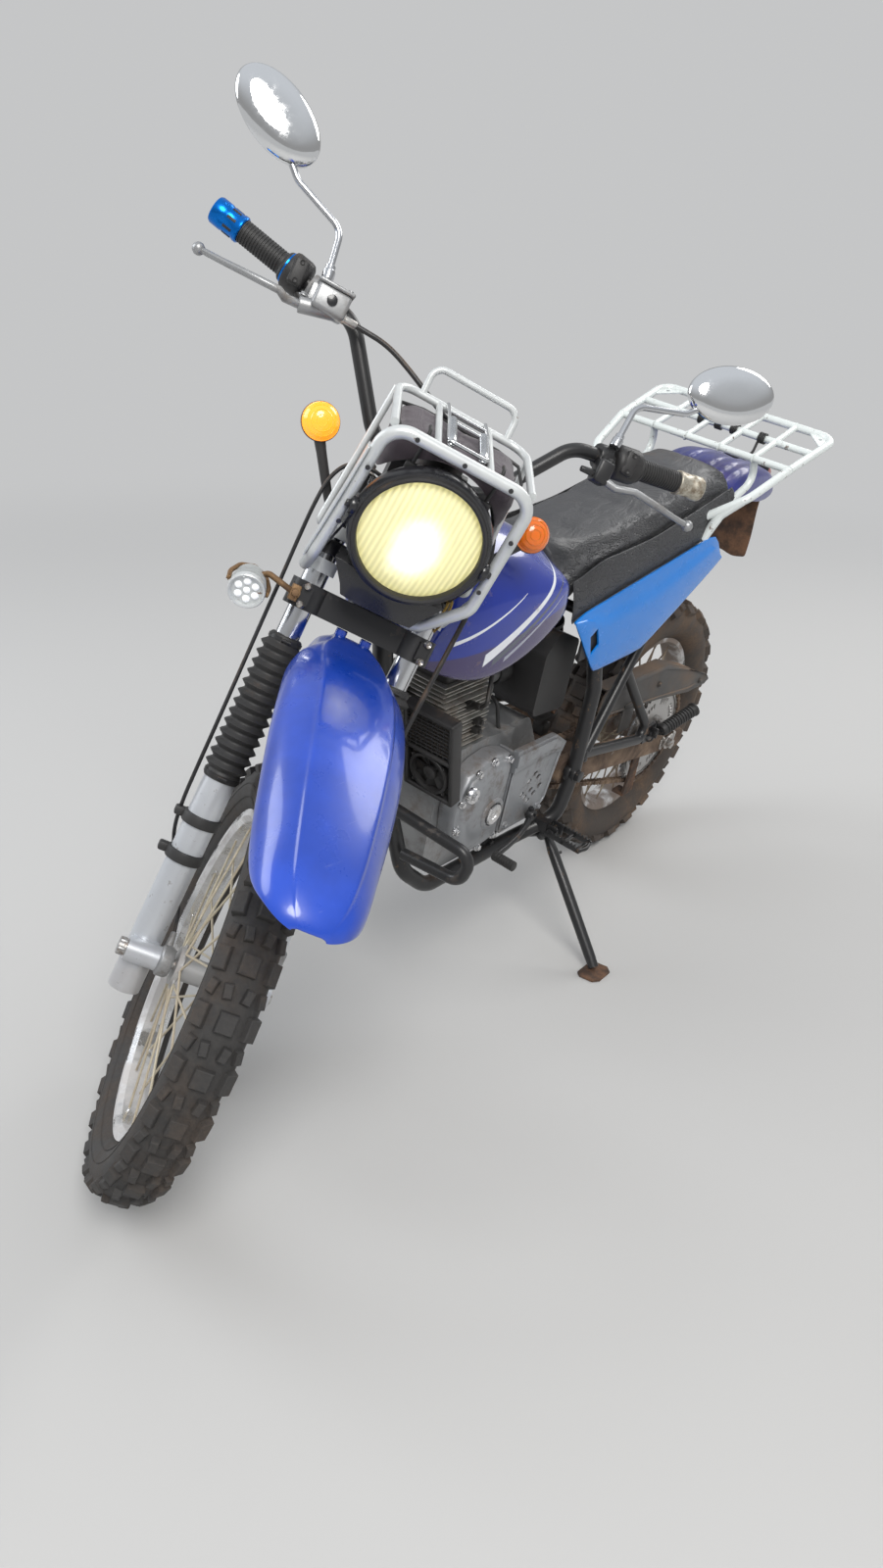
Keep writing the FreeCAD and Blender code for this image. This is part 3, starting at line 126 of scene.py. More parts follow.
class Link:
    """One output of a finish's nodes, which Python sums turn into Math nodes."""

    def __init__(self, finish, socket):
        self.finish = finish
        self.socket = socket

    def sum(self, operation, first, second=None):
        values = [first] if second is None else [first, second]
        return self.finish.node("ShaderNodeMath", {"operation": operation}, dict(enumerate(values)))

    def __add__(self, other):
        return self.sum("ADD", self, other)

    def __radd__(self, other):
        return self.sum("ADD", other, self)

    def __sub__(self, other):
        return self.sum("SUBTRACT", self, other)

    def __rsub__(self, other):
        return self.sum("SUBTRACT", other, self)

    def __mul__(self, other):
        return self.sum("MULTIPLY", self, other)

    def __rmul__(self, other):
        return self.sum("MULTIPLY", other, self)

    def __truediv__(self, other):
        return self.sum("DIVIDE", self, other)

    def __gt__(self, other):
        return self.sum("GREATER_THAN", self, other)

    def __lt__(self, other):
        return self.sum("LESS_THAN", self, other)

    def __abs__(self):
        return self.sum("ABSOLUTE", self)

    def limited(self):
        """The same value held between 0 and 1."""
        return self.finish.node("ShaderNodeClamp", {}, {0: self, 1: 0.0, 2: 1.0})

    def stretched(self, low, high):
        """0 below low, 1 above high and smooth between them."""
        return self.finish.node("ShaderNodeMapRange", {"interpolation_type": "SMOOTHSTEP", "clamp": True},
                                {0: self, 1: low, 2: high, 3: 0.0, 4: 1.0})


class Finish:
    """A material and short ways to add nodes to it."""

    def __init__(self, name, colour=(0.5, 0.5, 0.5), rough=0.5, metal=0.0, coat=0.0, coat_rough=0.05):
        self.material = bpy.data.materials.new(name)
        self.material.use_nodes = True
        self.tree = self.material.node_tree
        self.shader = self.tree.nodes["Principled BSDF"]
        self.shader.inputs["Base Color"].default_value = (*colour, 1)
        self.shader.inputs["Roughness"].default_value = rough
        self.shader.inputs["Metallic"].default_value = metal
        self.shader.inputs["Coat Weight"].default_value = coat
        self.shader.inputs["Coat Roughness"].default_value = coat_rough
        self.material.diffuse_color = (*colour, 1)
        self.colour = colour
        self.rough = rough

    def node(self, kind, settings=None, values=None, output=0):
        made = self.tree.nodes.new(kind)
        for key, value in (settings or {}).items():
            if key == "stops":
                ramp = made.color_ramp
                while len(ramp.elements) < len(value):
                    ramp.elements.new(0.5)
                for element, (place, colour) in zip(ramp.elements, value):
                    element.position = place
                    element.color = colour if len(colour) == 4 else (*colour, 1)
            else:
                setattr(made, key, value)
        for key, value in (values or {}).items():
            if isinstance(value, Link):
                self.tree.links.new(value.socket, made.inputs[key])
            else:
                made.inputs[key].default_value = value
        return Link(self, made.outputs[output])

    def set(self, socket, value):
        if isinstance(value, Link):
            self.tree.links.new(value.socket, self.shader.inputs[socket])
        elif isinstance(value, tuple) and len(value) == 3:
            self.shader.inputs[socket].default_value = (*value, 1)
        else:
            self.shader.inputs[socket].default_value = value
        return self

    def place(self, frame=None):
        """Object coordinates in metres, or turned into one of the motorcycle's own frames in millimetres."""
        coords = self.node("ShaderNodeTexCoord", {}, {}, "Object")
        if frame is None:
            return coords
        back = frame.inverted()
        turn = back.to_3x3().normalized().to_euler()
        size = back.to_scale()[0]
        return self.node("ShaderNodeMapping", {"vector_type": "POINT"},
                         {"Vector": coords, "Location": back.to_translation(), "Rotation": turn,
                          "Scale": (size, size, size)})

    def uv(self):
        return self.node("ShaderNodeTexCoord", {}, {}, "UV")

    def axes(self, vector):
        apart = self.tree.nodes.new("ShaderNodeSeparateXYZ")
        self.tree.links.new(vector.socket, apart.inputs[0])
        return [Link(self, out) for out in apart.outputs]

    def noise(self, scale, detail=4.0, rough=0.55, vector=None, distortion=0.0):
        return self.node("ShaderNodeTexNoise", {}, {
            "Vector": vector or self.place(), "Scale": scale, "Detail": detail, "Roughness": rough,
            "Distortion": distortion})

    def cells(self, scale, feature="F1", vector=None):
        return self.node("ShaderNodeTexVoronoi", {"feature": feature},
                         {"Vector": vector or self.place(), "Scale": scale}, "Distance")

    def mix(self, mask, first, second):
        """first where the mask is 0, second where it is 1."""
        made = self.tree.nodes.new("ShaderNodeMix")
        made.data_type = "RGBA"
        for socket, value in ((made.inputs[0], mask), (made.inputs[6], first), (made.inputs[7], second)):
            if isinstance(value, Link):
                self.tree.links.new(value.socket, socket)
            elif isinstance(value, tuple):
                socket.default_value = value if len(value) == 4 else (*value, 1)
            else:
                socket.default_value = value
        return Link(self, made.outputs[2])

    def blend(self, mask, first, second):
        """A number between two others by a mask."""
        return self.node("ShaderNodeMix", {"data_type": "FLOAT"}, {0: mask, 2: first, 3: second})

    def bump(self, height, depth=0.0004, strength=1.0, under=None):
        values = {"Height": height, "Distance": depth, "Strength": strength}
        if under:
            values["Normal"] = under
        return self.node("ShaderNodeBump", {}, values)

    def up(self):
        """How much the surface faces up, in the parked frame."""
        return self.axes(self.node("ShaderNodeTexCoord", {}, {}, "Normal"))[2]


DUST = (0.20, 0.125, 0.075)


def dusted(finish, base, rough, amount=0.4, scale=9.0, dust=DUST, on_top=0.3, fine=60.0):
    """Dust over a finish: patches from noise, more of it on faces that look up."""
    patches = finish.noise(scale, 6.0, 0.62)
    grains = finish.noise(fine * 8, 3.0, 0.6)
    lying = finish.up().stretched(-0.2, 1.0) * on_top
    mask = ((patches + grains * 0.25 + lying - (1.02 - amount)) * 2.2).limited()
    finish.set("Base Color", finish.mix(mask * 0.85, base, dust))
    finish.set("Roughness", finish.blend(mask, rough, 0.92))
    return mask


UNEVEN_FINISHES = (
    # name, colour and base values, the noise in its roughness, and the roughness at the noise's ends
    ("hard_chrome", ((0.6, 0.61, 0.63), 0.15, 1.0), (90, 5, 0.7), (0.1, 0.26)),
    ("brushed_disc", ((0.42, 0.41, 0.40), 0.34, 1.0), (300, 3, 0.6), (0.24, 0.45)),
    ("brass_wire", ((0.55, 0.36, 0.10), 0.35, 0.9), (180, 5, 0.7), (0.25, 0.55)),
    ("blue_anodised", ((0.005, 0.17, 0.62), 0.22, 0.9), (90, 4, 0.6), (0.16, 0.36)),
    ("red_lens", ((0.35, 0.008, 0.008), 0.15, 0.0, 0.5, 0.05), (60, 4, 0.6), (0.12, 0.35)))


def make_finishes(look):
    """Every finish of the motorcycle, by name."""
    made = {}

    def new(name, *args, **kwargs):
        made[name] = Finish(name, *args, **kwargs)
        return made[name]

    for name, base, noise_values, ends in UNEVEN_FINISHES:
        f = new(name, *base)
        f.set("Roughness", f.blend(f.noise(*noise_values), *ends))

    blue = tuple(look.fender_blue)
    f = new("deep_blue_gloss", blue, 0.28, 0.0, 0.6, 0.08)
    cloudy = f.noise(7, 5, 0.6).stretched(0.42, 0.72)
    shade = f.mix(cloudy * 0.5, tuple(c * 0.72 for c in blue), tuple(min(1, c * 1.25 + 0.01) for c in blue))
    scratches = f.noise(60, 3, 0.7, f.node("ShaderNodeMapping", {}, {
        "Vector": f.place(), "Scale": (0.35, 0.35, 4.0), "Rotation": (0.4, 0.3, 0.2)}),
        0.6).stretched(0.69, 0.75)
    f.set("Base Color", f.mix(scratches * 0.3, shade, (0.16, 0.2, 0.5)))
    f.set("Roughness", f.blend(f.noise(30, 5, 0.6), 0.18, 0.42))
    f.set("Normal", f.bump(f.noise(14, 2, 0.5), 0.0006, 0.5))

    f = new("rear_fender_blue", (0.012, 0.014, 0.13), 0.3, 0.0, 0.5, 0.1)
    dusted(f, (0.010, 0.016, 0.20), f.blend(f.noise(40, 4, 0.6), 0.25, 0.5), 0.24, 7.0, on_top=0.1)

    f = new("azure_gloss", tuple(look.cover_blue), 0.3, 0.0, 0.2, 0.06)
    tint = f.mix(f.noise(6, 3, 0.5) * 0.5, tuple(look.cover_blue), tuple(c * 0.7 for c in look.cover_blue))
    low = f.axes(f.place(CHASSIS))[2]
    mask = ((1 - low.stretched(650, 720)) * 0.5 + f.noise(12, 6, 0.65) * 0.6 - 0.6).limited()
    f.set("Base Color", f.mix(mask, tint, DUST))
    f.set("Roughness", f.blend(mask, f.blend(f.noise(50, 4, 0.6), 0.16, 0.34), 0.85))

    f = new("black_gloss", (0.012, 0.012, 0.014), 0.22, 0.0, 0.4, 0.05)
    dusted(f, (0.012, 0.012, 0.014), f.blend(f.noise(40, 4, 0.6), 0.18, 0.4), 0.2, 14.0, on_top=0.05)

    f = new("black_plastic", (0.02, 0.02, 0.021), 0.5)
    dusted(f, f.mix(f.noise(8, 4, 0.6), (0.012, 0.012, 0.013), (0.035, 0.033, 0.032)), 0.5, 0.24, 11.0,
           on_top=0.12)
    f.set("Normal", f.bump(f.noise(900, 3, 0.6), 0.0002, 0.5))

    f = new("black_paint", (0.018, 0.018, 0.019), 0.35)
    worn = (f.noise(26, 7, 0.68).stretched(0.60, 0.66))
    base = f.mix(worn * 0.6, (0.018, 0.018, 0.019), (0.10, 0.085, 0.075))
    dusted(f, base, f.blend(worn, 0.36, 0.6), 0.2, 10.0, on_top=0.1)
    f.set("Metallic", worn * 0.4)

    f = new("frame_black", (0.016, 0.016, 0.017), 0.4)
    chipped = f.noise(40, 7, 0.7).stretched(0.61, 0.66)
    base = f.mix(chipped * 0.7, (0.016, 0.016, 0.017), (0.16, 0.10, 0.06))
    dusted(f, base, f.blend(chipped, 0.36, 0.75), 0.22, 7.0, on_top=0.14)

    f = new("dusty_brown_steel", (0.16, 0.10, 0.06), 0.8)
    streaks = f.noise(11, 7, 0.66, distortion=0.5)
    base = f.mix(streaks.stretched(0.35, 0.7), (0.07, 0.045, 0.032), (0.24, 0.165, 0.11))
    bare = f.noise(34, 6, 0.7).stretched(0.62, 0.68)
    f.set("Base Color", f.mix(bare * 0.5, base, (0.33, 0.3, 0.27)))
    f.set("Roughness", f.blend(bare, 0.9, 0.5))
    f.set("Normal", f.bump(f.noise(240, 5, 0.7), 0.0004, 0.7))

    f = new("dark_dusty_steel", (0.09, 0.085, 0.08), 0.7)
    dusted(f, f.mix(f.noise(20, 6, 0.7), (0.035, 0.034, 0.034), (0.10, 0.094, 0.088)), 0.6, 0.4, 6.0,
           on_top=0.25)

    f = new("silver_paint_worn", (0.62, 0.64, 0.64), 0.38, 0.25)
    rust = f.noise(55, 7, 0.72).stretched(0.63, 0.68)
    shade = f.mix(f.noise(13, 5, 0.6), (0.48, 0.5, 0.51), (0.72, 0.74, 0.73))
    f.set("Base Color", f.mix(rust * 0.85, shade, (0.13, 0.06, 0.03)))
    f.set("Metallic", (1 - rust) * 0.35)
    f.set("Roughness", f.blend(rust, f.blend(f.noise(60, 5, 0.7), 0.3, 0.5), 0.9))
    f.set("Normal", f.bump(f.noise(160, 4, 0.6), 0.0002, 0.5))

    f = new("rack_white_silver", (0.70, 0.74, 0.72), 0.35, 0.15)
    rust = f.noise(44, 7, 0.74).stretched(0.605, 0.66)
    chips = f.noise(120, 5, 0.75).stretched(0.64, 0.68)
    shade = f.mix(f.noise(9, 5, 0.6), (0.58, 0.62, 0.61), (0.78, 0.82, 0.80))
    worn = (rust + chips * 0.7).limited()
    f.set("Base Color", f.mix(worn * 0.9, shade, (0.11, 0.055, 0.035)))
    f.set("Roughness", f.blend(worn, 0.33, 0.9))
    f.set("Normal", f.bump(f.noise(150, 4, 0.6) + worn * -0.6, 0.0003, 0.6))

    f = new("fork_silver", (0.55, 0.57, 0.6), 0.36, 0.55)
    shade = f.mix(f.noise(6, 5, 0.6), (0.47, 0.49, 0.52), (0.66, 0.68, 0.71))
    marks = f.noise(70, 6, 0.72).stretched(0.62, 0.67)
    low = f.axes(f.place(FORK))[2]
    grime = ((1 - low.stretched(280, 430)) * 0.35 + f.noise(18, 6, 0.66) * 0.5 - 0.36).limited()
    f.set("Base Color", f.mix(grime, f.mix(marks * 0.6, shade, (0.22, 0.2, 0.19)), (0.28, 0.2, 0.14)))
    f.set("Roughness", f.blend(marks, 0.36, 0.6))

    f = new("chrome", (0.78, 0.79, 0.8), 0.07, 1.0)
    f.set("Roughness", f.blend(f.noise(50, 5, 0.7).stretched(0.4, 0.8), 0.04, 0.2))

    f = new("polished_alloy", (0.72, 0.72, 0.72), 0.24, 1.0)
    grime = f.noise(13, 6, 0.66).stretched(0.52, 0.72)
    f.set("Base Color", f.mix(grime * 0.65, (0.74, 0.74, 0.745), (0.3, 0.25, 0.2)))
    f.set("Metallic", 1 - grime * 0.5)
    f.set("Roughness", f.blend(grime, f.blend(f.noise(100, 4, 0.6), 0.16, 0.3), 0.75))

    f = new("cast_alloy", (0.34, 0.34, 0.34), 0.5, 0.7)
    grime = f.noise(15, 7, 0.68).stretched(0.45, 0.7)
    f.set("Base Color", f.mix(grime * 0.8, (0.36, 0.365, 0.37), (0.11, 0.085, 0.065)))
    f.set("Metallic", 0.75 - grime * 0.55)
    f.set("Roughness", f.blend(grime, 0.42, 0.85))
    f.set("Normal", f.bump(f.noise(420, 4, 0.6), 0.0003, 0.5))

    f = new("engine_grey", (0.30, 0.31, 0.32), 0.42, 0.55)
    grime = (f.noise(17, 7, 0.7).stretched(0.47, 0.7) * 0.7 + f.up().stretched(0.2, 1) * 0.25).limited()
    f.set("Base Color", f.mix(grime, (0.30, 0.31, 0.325), (0.10, 0.07, 0.05)))
    f.set("Roughness", f.blend(grime, 0.36, 0.88))
    f.set("Metallic", 0.6 - grime * 0.5)
    f.set("Normal", f.bump(f.noise(260, 4, 0.6), 0.00025, 0.5))

    f = new("fin_alloy", (0.3, 0.29, 0.27), 0.45, 0.7)
    grime = f.noise(14, 6, 0.66).stretched(0.4, 0.66)
    f.set("Base Color", f.mix(grime, (0.46, 0.45, 0.42), (0.11, 0.08, 0.055)))
    f.set("Metallic", 0.8 - grime * 0.6)
    f.set("Roughness", f.blend(grime, 0.38, 0.85))

    f = new("engine_black", (0.02, 0.02, 0.02), 0.5, 0.1)
    dusted(f, f.mix(f.noise(30, 5, 0.7), (0.012, 0.012, 0.012), (0.04, 0.037, 0.034)), 0.5, 0.24, 10.0,
           on_top=0.1)

    for name, place, bead, clean, dusty in (
            ("front_rim_alloy", FRONT_WHEEL, 262, 0.42, 0.62), ("rear_rim_alloy", REAR_WHEEL, 229, 0.30,
                                                                0.52)):
        f = new(name, (0.7, 0.7, 0.7), 0.25, 1.0)
        across, ahead, high = f.axes(f.place(place))
        out = (ahead * ahead + high * high).sum("SQRT", ahead * ahead + high * high)
        hoop = out.stretched(bead - 21, bead - 19)
        hub = 1 - out.stretched(52 if bead < 250 else 34, 56 if bead < 250 else 38)
        grime = f.noise(11, 6, 0.66).stretched(clean, dusty)
        wire = f.mix(f.noise(120, 5, 0.7), (0.42, 0.36, 0.26), (0.62, 0.57, 0.45))
        colour = f.mix(hoop, wire, (0.76, 0.765, 0.77))
        colour = f.mix(hub, colour, (0.45, 0.45, 0.45))
        f.set("Base Color", f.mix(grime * (0.35 if bead > 250 else 0.85), colour, (0.17, 0.115, 0.08)))
        f.set("Metallic", (1 - grime * 0.8) * (hoop * 0.35 + 0.6))
        f.set("Roughness", f.blend(grime, f.blend(hoop, 0.5, f.blend(f.noise(70, 5, 0.6), 0.1, 0.3)), 0.85))

    f = new("zinc", (0.5, 0.47, 0.4), 0.45, 0.85)
    dull = f.noise(70, 5, 0.7).stretched(0.4, 0.7)
    f.set("Base Color", f.mix(dull, (0.55, 0.52, 0.44), (0.22, 0.17, 0.12)))
    f.set("Roughness", f.blend(dull, 0.38, 0.7))

    f = new("bolt_steel", (0.45, 0.44, 0.42), 0.4, 0.9)
    dull = f.noise(160, 5, 0.7).stretched(0.45, 0.7)
    f.set("Base Color", f.mix(dull, (0.5, 0.49, 0.47), (0.16, 0.09, 0.05)))
    f.set("Roughness", f.blend(dull, 0.32, 0.75))

    f = new("gold_strap", (0.28, 0.17, 0.07), 0.5, 0.7)
    dusted(f, f.mix(f.noise(60, 5, 0.7), (0.32, 0.2, 0.09), (0.14, 0.08, 0.05)), 0.5, 0.35, 20.0)

    f = new("rusty_brown", (0.10, 0.05, 0.03), 0.85)
    f.set("Base Color", f.mix(f.noise(20, 7, 0.7).stretched(0.35, 0.68), (0.045, 0.028, 0.02),
                              (0.17, 0.085, 0.045)))
    f.set("Normal", f.bump(f.noise(200, 5, 0.7), 0.0005, 0.7))

    f = new("rubber", (0.02, 0.02, 0.021), 0.62)
    dusted(f, f.mix(f.noise(26, 5, 0.6), (0.013, 0.013, 0.014), (0.035, 0.034, 0.033)), 0.55, 0.2, 9.0,
           on_top=0.1)
    f.set("Normal", f.bump(f.noise(500, 3, 0.6), 0.0002, 0.5))

    f = new("cable_sheath", (0.014, 0.014, 0.015), 0.42)
    dusted(f, (0.014, 0.014, 0.015), 0.42, 0.24, 16.0)

    for name, front in (("front_tyre_rubber", True), ("rear_tyre_rubber", False)):
        f = new(name, (0.028, 0.027, 0.027), 0.8)
        patches = f.noise(8, 6, 0.66).stretched(0.42, 0.66)
        grains = f.noise(140, 4, 0.7)
        base = f.mix(grains, (0.018, 0.018, 0.019), (0.05, 0.047, 0.044))
        much = 0.16 if front else 0.42
        f.set("Base Color", f.mix((patches * grains * 1.7 * much + (0.0 if front else 0.12)).limited(),
                                  base, DUST))
        f.set("Roughness", f.blend(patches, 0.74, 0.95))
        f.set("Normal", f.bump(f.noise(600, 4, 0.65), 0.0004, 0.6))

    f = new("amber_lens", (0.75, 0.16, 0.015), 0.16, 0.0, 0.4, 0.05)
    f.set("Subsurface Weight", 0.25).set("Subsurface Scale", 0.01)
    f = new("amber_lit", (0.95, 0.35, 0.03), 0.16, 0.0, 0.4, 0.05)
    f.set("Emission Color", (1.0, 0.30, 0.02)).set("Emission Strength", 0.9)

    f = new("mirror_glass", (0.82, 0.84, 0.86), 0.02, 1.0)
    f.set("Roughness", f.blend(f.noise(22, 5, 0.6).stretched(0.5, 0.8), 0.01, 0.12))

    # Painted glow: the reflector is no lamp, and its faint yellow emission stands in for the bulb's light
    # reflected in the bowl.
    f = new("reflector", (0.85, 0.82, 0.62), 0.14, 1.0)
    f.set("Emission Color", (1.0, 0.93, 0.45)).set("Emission Strength", 0.1)

    f = new("lamp_glass", (1.0, 0.97, 0.74), 0.05)
    across, ahead, high = f.axes(f.place(LAMP @ Matrix.Translation(LAMP_CENTRE)))
    out = (across * across * 1.5 + (high + 12) * (high + 12) * 0.8)
    flute = f.node("ShaderNodeTexWave", {"wave_type": "BANDS", "bands_direction": "X"},
                   {"Vector": f.place(LAMP), "Scale": 0.039, "Distortion": 1.2, "Detail Scale": 0.03},
                   "Fac")
    glow = 1 - (out.sum("SQRT", out) + f.noise(30, 3, 0.6) * 26).stretched(26, 70)
    f.set("Transmission Weight", 0.6).set("IOR", 1.45)
    dim = f.mix(flute, (0.10, 0.10, 0.045), (0.32, 0.31, 0.17))
    f.set("Emission Color", f.mix(glow, dim, (1.0, 0.99, 0.82))).set("Emission Strength", 0.5)
    f.set("Normal", f.bump(flute, 0.0012, 0.6))

    f = new("bulb_glow", (1, 1, 0.9), 0.3)
    f.set("Emission Color", (1.0, 0.97, 0.72)).set("Emission Strength", 1.2)

    f = new("led_clear", (0.85, 0.87, 0.88), 0.08, 0.0, 0.8, 0.02)
    f.set("Emission Color", (1, 1, 1)).set("Emission Strength", 0.25)

    f = new("seat_vinyl", (0.03, 0.031, 0.034), 0.42)
    grain = f.cells(420)
    folds = f.noise(16, 6, 0.62, f.node("ShaderNodeMapping", {}, {
        "Vector": f.place(CHASSIS), "Scale": (0.0016, 0.0007, 0.0012), "Rotation": (0, 0, 0.5)}), 1.6)
    # Painted shade: the colour follows the fold noise that also drives the bumps, lighter on the fold ridges
    # and darker in the creases.
    dusted(f, f.mix(folds, (0.022, 0.023, 0.026), (0.05, 0.05, 0.053)), f.blend(folds, 0.34, 0.52), 0.2,
           6.0, on_top=0.08)
    lines = f.noise(34, 3, 0.6, f.node("ShaderNodeMapping", {}, {
        "Vector": f.place(CHASSIS), "Scale": (0.0014, 0.0006, 0.0022), "Rotation": (0.5, 0, 0.3)}), 1.2)
    edge = (1 - abs(lines - 0.5).stretched(0.0, 0.035)) * abs(f.axes(f.place(CHASSIS))[0]).stretched(60,
                                                                                                     100)
    f.set("Normal", f.bump(1 - edge, 0.0022, 0.9, f.bump(folds, 0.004, 0.75, f.bump(grain, 0.00035, 0.7))))

    f = new("bag_cloth", (0.035, 0.025, 0.035), 0.9)
    weave = f.node("ShaderNodeTexWave", {"wave_type": "BANDS", "bands_direction": "X"},
                   {"Vector": f.place(LAMP), "Scale": 0.55, "Distortion": 1.0}, "Fac")
    across = f.node("ShaderNodeTexWave", {"wave_type": "BANDS", "bands_direction": "Z"},
                    {"Vector": f.place(LAMP), "Scale": 0.55, "Distortion": 1.0}, "Fac")
    cloth = weave * across
    base = f.mix(f.noise(9, 5, 0.6), (0.022, 0.015, 0.022), (0.075, 0.055, 0.07))
    f.set("Base Color", f.mix(cloth * 0.4, base, (0.11, 0.085, 0.10)))
    f.set("Normal", f.bump(cloth, 0.0005, 0.7, f.bump(f.noise(45, 5, 0.6), 0.002, 0.6)))
    f.set("Sheen Weight", 0.3)
    make_tank_paint(new, look)
    return made


def make_tank_paint(new, look):
    """Blue tank with a purple lower band and white and silver sweeps, drawn on the tank's own side view."""
    f = new("tank_paint", tuple(look.tank_blue), 0.2, 0.0, 0.8, 0.05)
    along, height, _ = f.axes(f.uv())
    blue = f.mix(f.noise(9, 4, 0.6), tuple(look.tank_blue), tuple(c * 0.7 for c in look.tank_blue))
    wave = height - along * 0.25
    band = (1 - wave.stretched(0.20, 0.22))
    colour = f.mix(band, blue, (0.035, 0.022, 0.10))

    def sweep(colour, paint, start, end, low_start, low_end, thick_start, thick_end):
        run = ((along - start) / (end - start))
        middle = run * (low_end - low_start) + low_start
        half = run * (thick_end - thick_start) + thick_start
        inside = (1 - (abs(height - middle) / half).stretched(0.92, 1.0)) * run.stretched(0.0, 0.01) * (
            1 - run.stretched(0.99, 1.0))
        return f.mix(inside.limited(), colour, paint)

    colour = sweep(colour, (0.72, 0.74, 0.78), 0.30, 0.93, 0.20, 0.74, 0.050, 0.004)
    colour = sweep(colour, (0.06, 0.07, 0.10), 0.36, 0.90, 0.17, 0.62, 0.030, 0.004)
    colour = sweep(colour, (0.30, 0.32, 0.38), 0.44, 0.86, 0.17, 0.52, 0.018, 0.003)
    colour = sweep(colour, (0.72, 0.74, 0.78), 0.10, 0.55, 0.34, 0.62, 0.016, 0.002)
    grime = f.noise(30, 6, 0.7).stretched(0.6, 0.72)
    f.set("Base Color", f.mix(grime * 0.35, colour, DUST))
    f.set("Roughness", f.blend(grime, f.blend(f.noise(40, 4, 0.6), 0.14, 0.3), 0.7))
    f.set("Normal", f.bump(f.noise(12, 2, 0.5), 0.0008, 0.4))


class MotorcycleLook(bpy.types.PropertyGroup):
    """Colours and small sizes of the motorcycle that can be changed."""

    fender_blue: FloatVectorProperty(name="Front fender", description="Colour of the front fender",
                                     default=(0.004, 0.055, 0.47), subtype="COLOR", min=0.0, max=1.0)
    tank_blue: FloatVectorProperty(name="Tank", description="Upper colour of the fuel tank",
                                   default=(0.003, 0.025, 0.31), subtype="COLOR", min=0.0, max=1.0)
    cover_blue: FloatVectorProperty(name="Side covers", description="Colour of the side covers",
                                    default=(0.0, 0.20, 0.68), subtype="COLOR", min=0.0, max=1.0)
    front_knob: FloatProperty(name="Front lugs", description="Height of the front tyre's lugs",
                              default=9.0 * MM, min=0.004, max=0.014, unit="LENGTH")
    rear_knob: FloatProperty(name="Rear lugs", description="Height of the rear tyre's lugs",
                             default=11.0 * MM, min=0.004, max=0.016, unit="LENGTH")
    front_rows: IntProperty(name="Front lug rows", description="Lug rows round the front tyre",
                            default=28, min=20, max=40)
    rear_rows: IntProperty(name="Rear lug rows", description="Lug rows round the rear tyre",
                           default=24, min=16, max=36)
    gaiter_ribs: IntProperty(name="Gaiter ribs", description="Folds in each fork gaiter", default=13,
                             min=6, max=20)
    seat_swell: FloatProperty(name="Seat swell", description="How far the seat's padding may swell",
                              default=9.0 * MM, min=0.0, max=0.03, unit="LENGTH")


def the_look():
    return bpy.context.scene.motorcycle_look


def paint(name):
    return bpy.data.materials[name]


def point(place, x, y, z):
    """A place of one of the motorcycle's frames, in the row frame."""
    return place @ Vector((x, y, z))


def wear(obj, body, finish, stands_for=()):
    """Give a finished piece its material, its body and the solids that it stands for."""
    obj.data.materials.clear()
    obj.data.materials.append(paint(finish))
    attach(obj, body)
    if stands_for:
        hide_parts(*stands_for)
    return obj


def shown(name, mesh):
    obj = bpy.data.objects.new(name, mesh)
    bpy.context.scene.collection.objects.link(obj)
    return obj


def piece(name, bm, place, body, finish, stands_for=(), slot=None, bevel=0.0, wall=0.0, level=0,
          crease=38.0, outwards=True):
    """Turn a bmesh drawn in one of the motorcycle's frames into a finished piece at its place."""
    bmesh.ops.remove_doubles(bm, verts=bm.verts, dist=0.02)
    if outwards:
        bmesh.ops.recalc_face_normals(bm, faces=bm.faces)
    bm.transform(place)
    mesh = bpy.data.meshes.new(name)
    bm.to_mesh(mesh)
    bm.free()
    mesh.shade_smooth()
    if level == 0:
        mesh.set_sharp_from_angle(angle=radians(crease))
    obj = shown(name, mesh)
    if wall:
        solid = obj.modifiers.new("wall", "SOLIDIFY")
        solid.thickness, solid.offset = wall * MM, -1.0
    if bevel:
        soft = obj.modifiers.new("edges", "BEVEL")
        soft.width, soft.segments, soft.limit_method, soft.angle_limit = bevel * MM, 2, "ANGLE", radians(32)
    if level:
        fine = obj.modifiers.new("smooth", "SUBSURF")
        fine.levels = fine.render_levels = level
    return wear(obj, body, finish, stands_for)


def loop_of(bm, points, closed=True):
    """Vertices through the points, joined by edges."""
    verts = [bm.verts.new(p) for p in points]
    pairs = zip(verts, verts[1:] + verts[:1] if closed else verts[1:])
    return [bm.edges.new(pair) for pair in pairs]


def bridged(bm, rings, closed=True, caps=False):
    """A skin over a row of like sections."""
    loops = [loop_of(bm, ring, closed) for ring in rings]
    for first, second in zip(loops, loops[1:]):
        bmesh.ops.bridge_loops(bm, edges=first + second)
    if caps:
        for ring in (loops[0], loops[-1]):
            bmesh.ops.edgenet_fill(bm, edges=ring)
    return loops


def spun(bm, profile, axis=(0, 0, 1), centre=(0, 0, 0), steps=48, angle=2 * pi):
    """Spin an outline round an axis into a closed skin."""
    verts = [bm.verts.new(p) for p in profile]
    edges = [bm.edges.new(pair) for pair in zip(verts, verts[1:])]
    bmesh.ops.spin(bm, geom=verts + edges, cent=centre, axis=axis, dvec=(0, 0, 0), angle=angle,
                   steps=steps, use_merge=abs(angle - 2 * pi) < 1e-6, use_duplicate=False)


def turn_to(direction, at=(0, 0, 0)):
    """A place at a point with its Z axis along a direction."""
    direction = Vector(direction).normalized()
    return Matrix.Translation(at) @ direction.to_track_quat("Z", "Y").to_matrix().to_4x4()


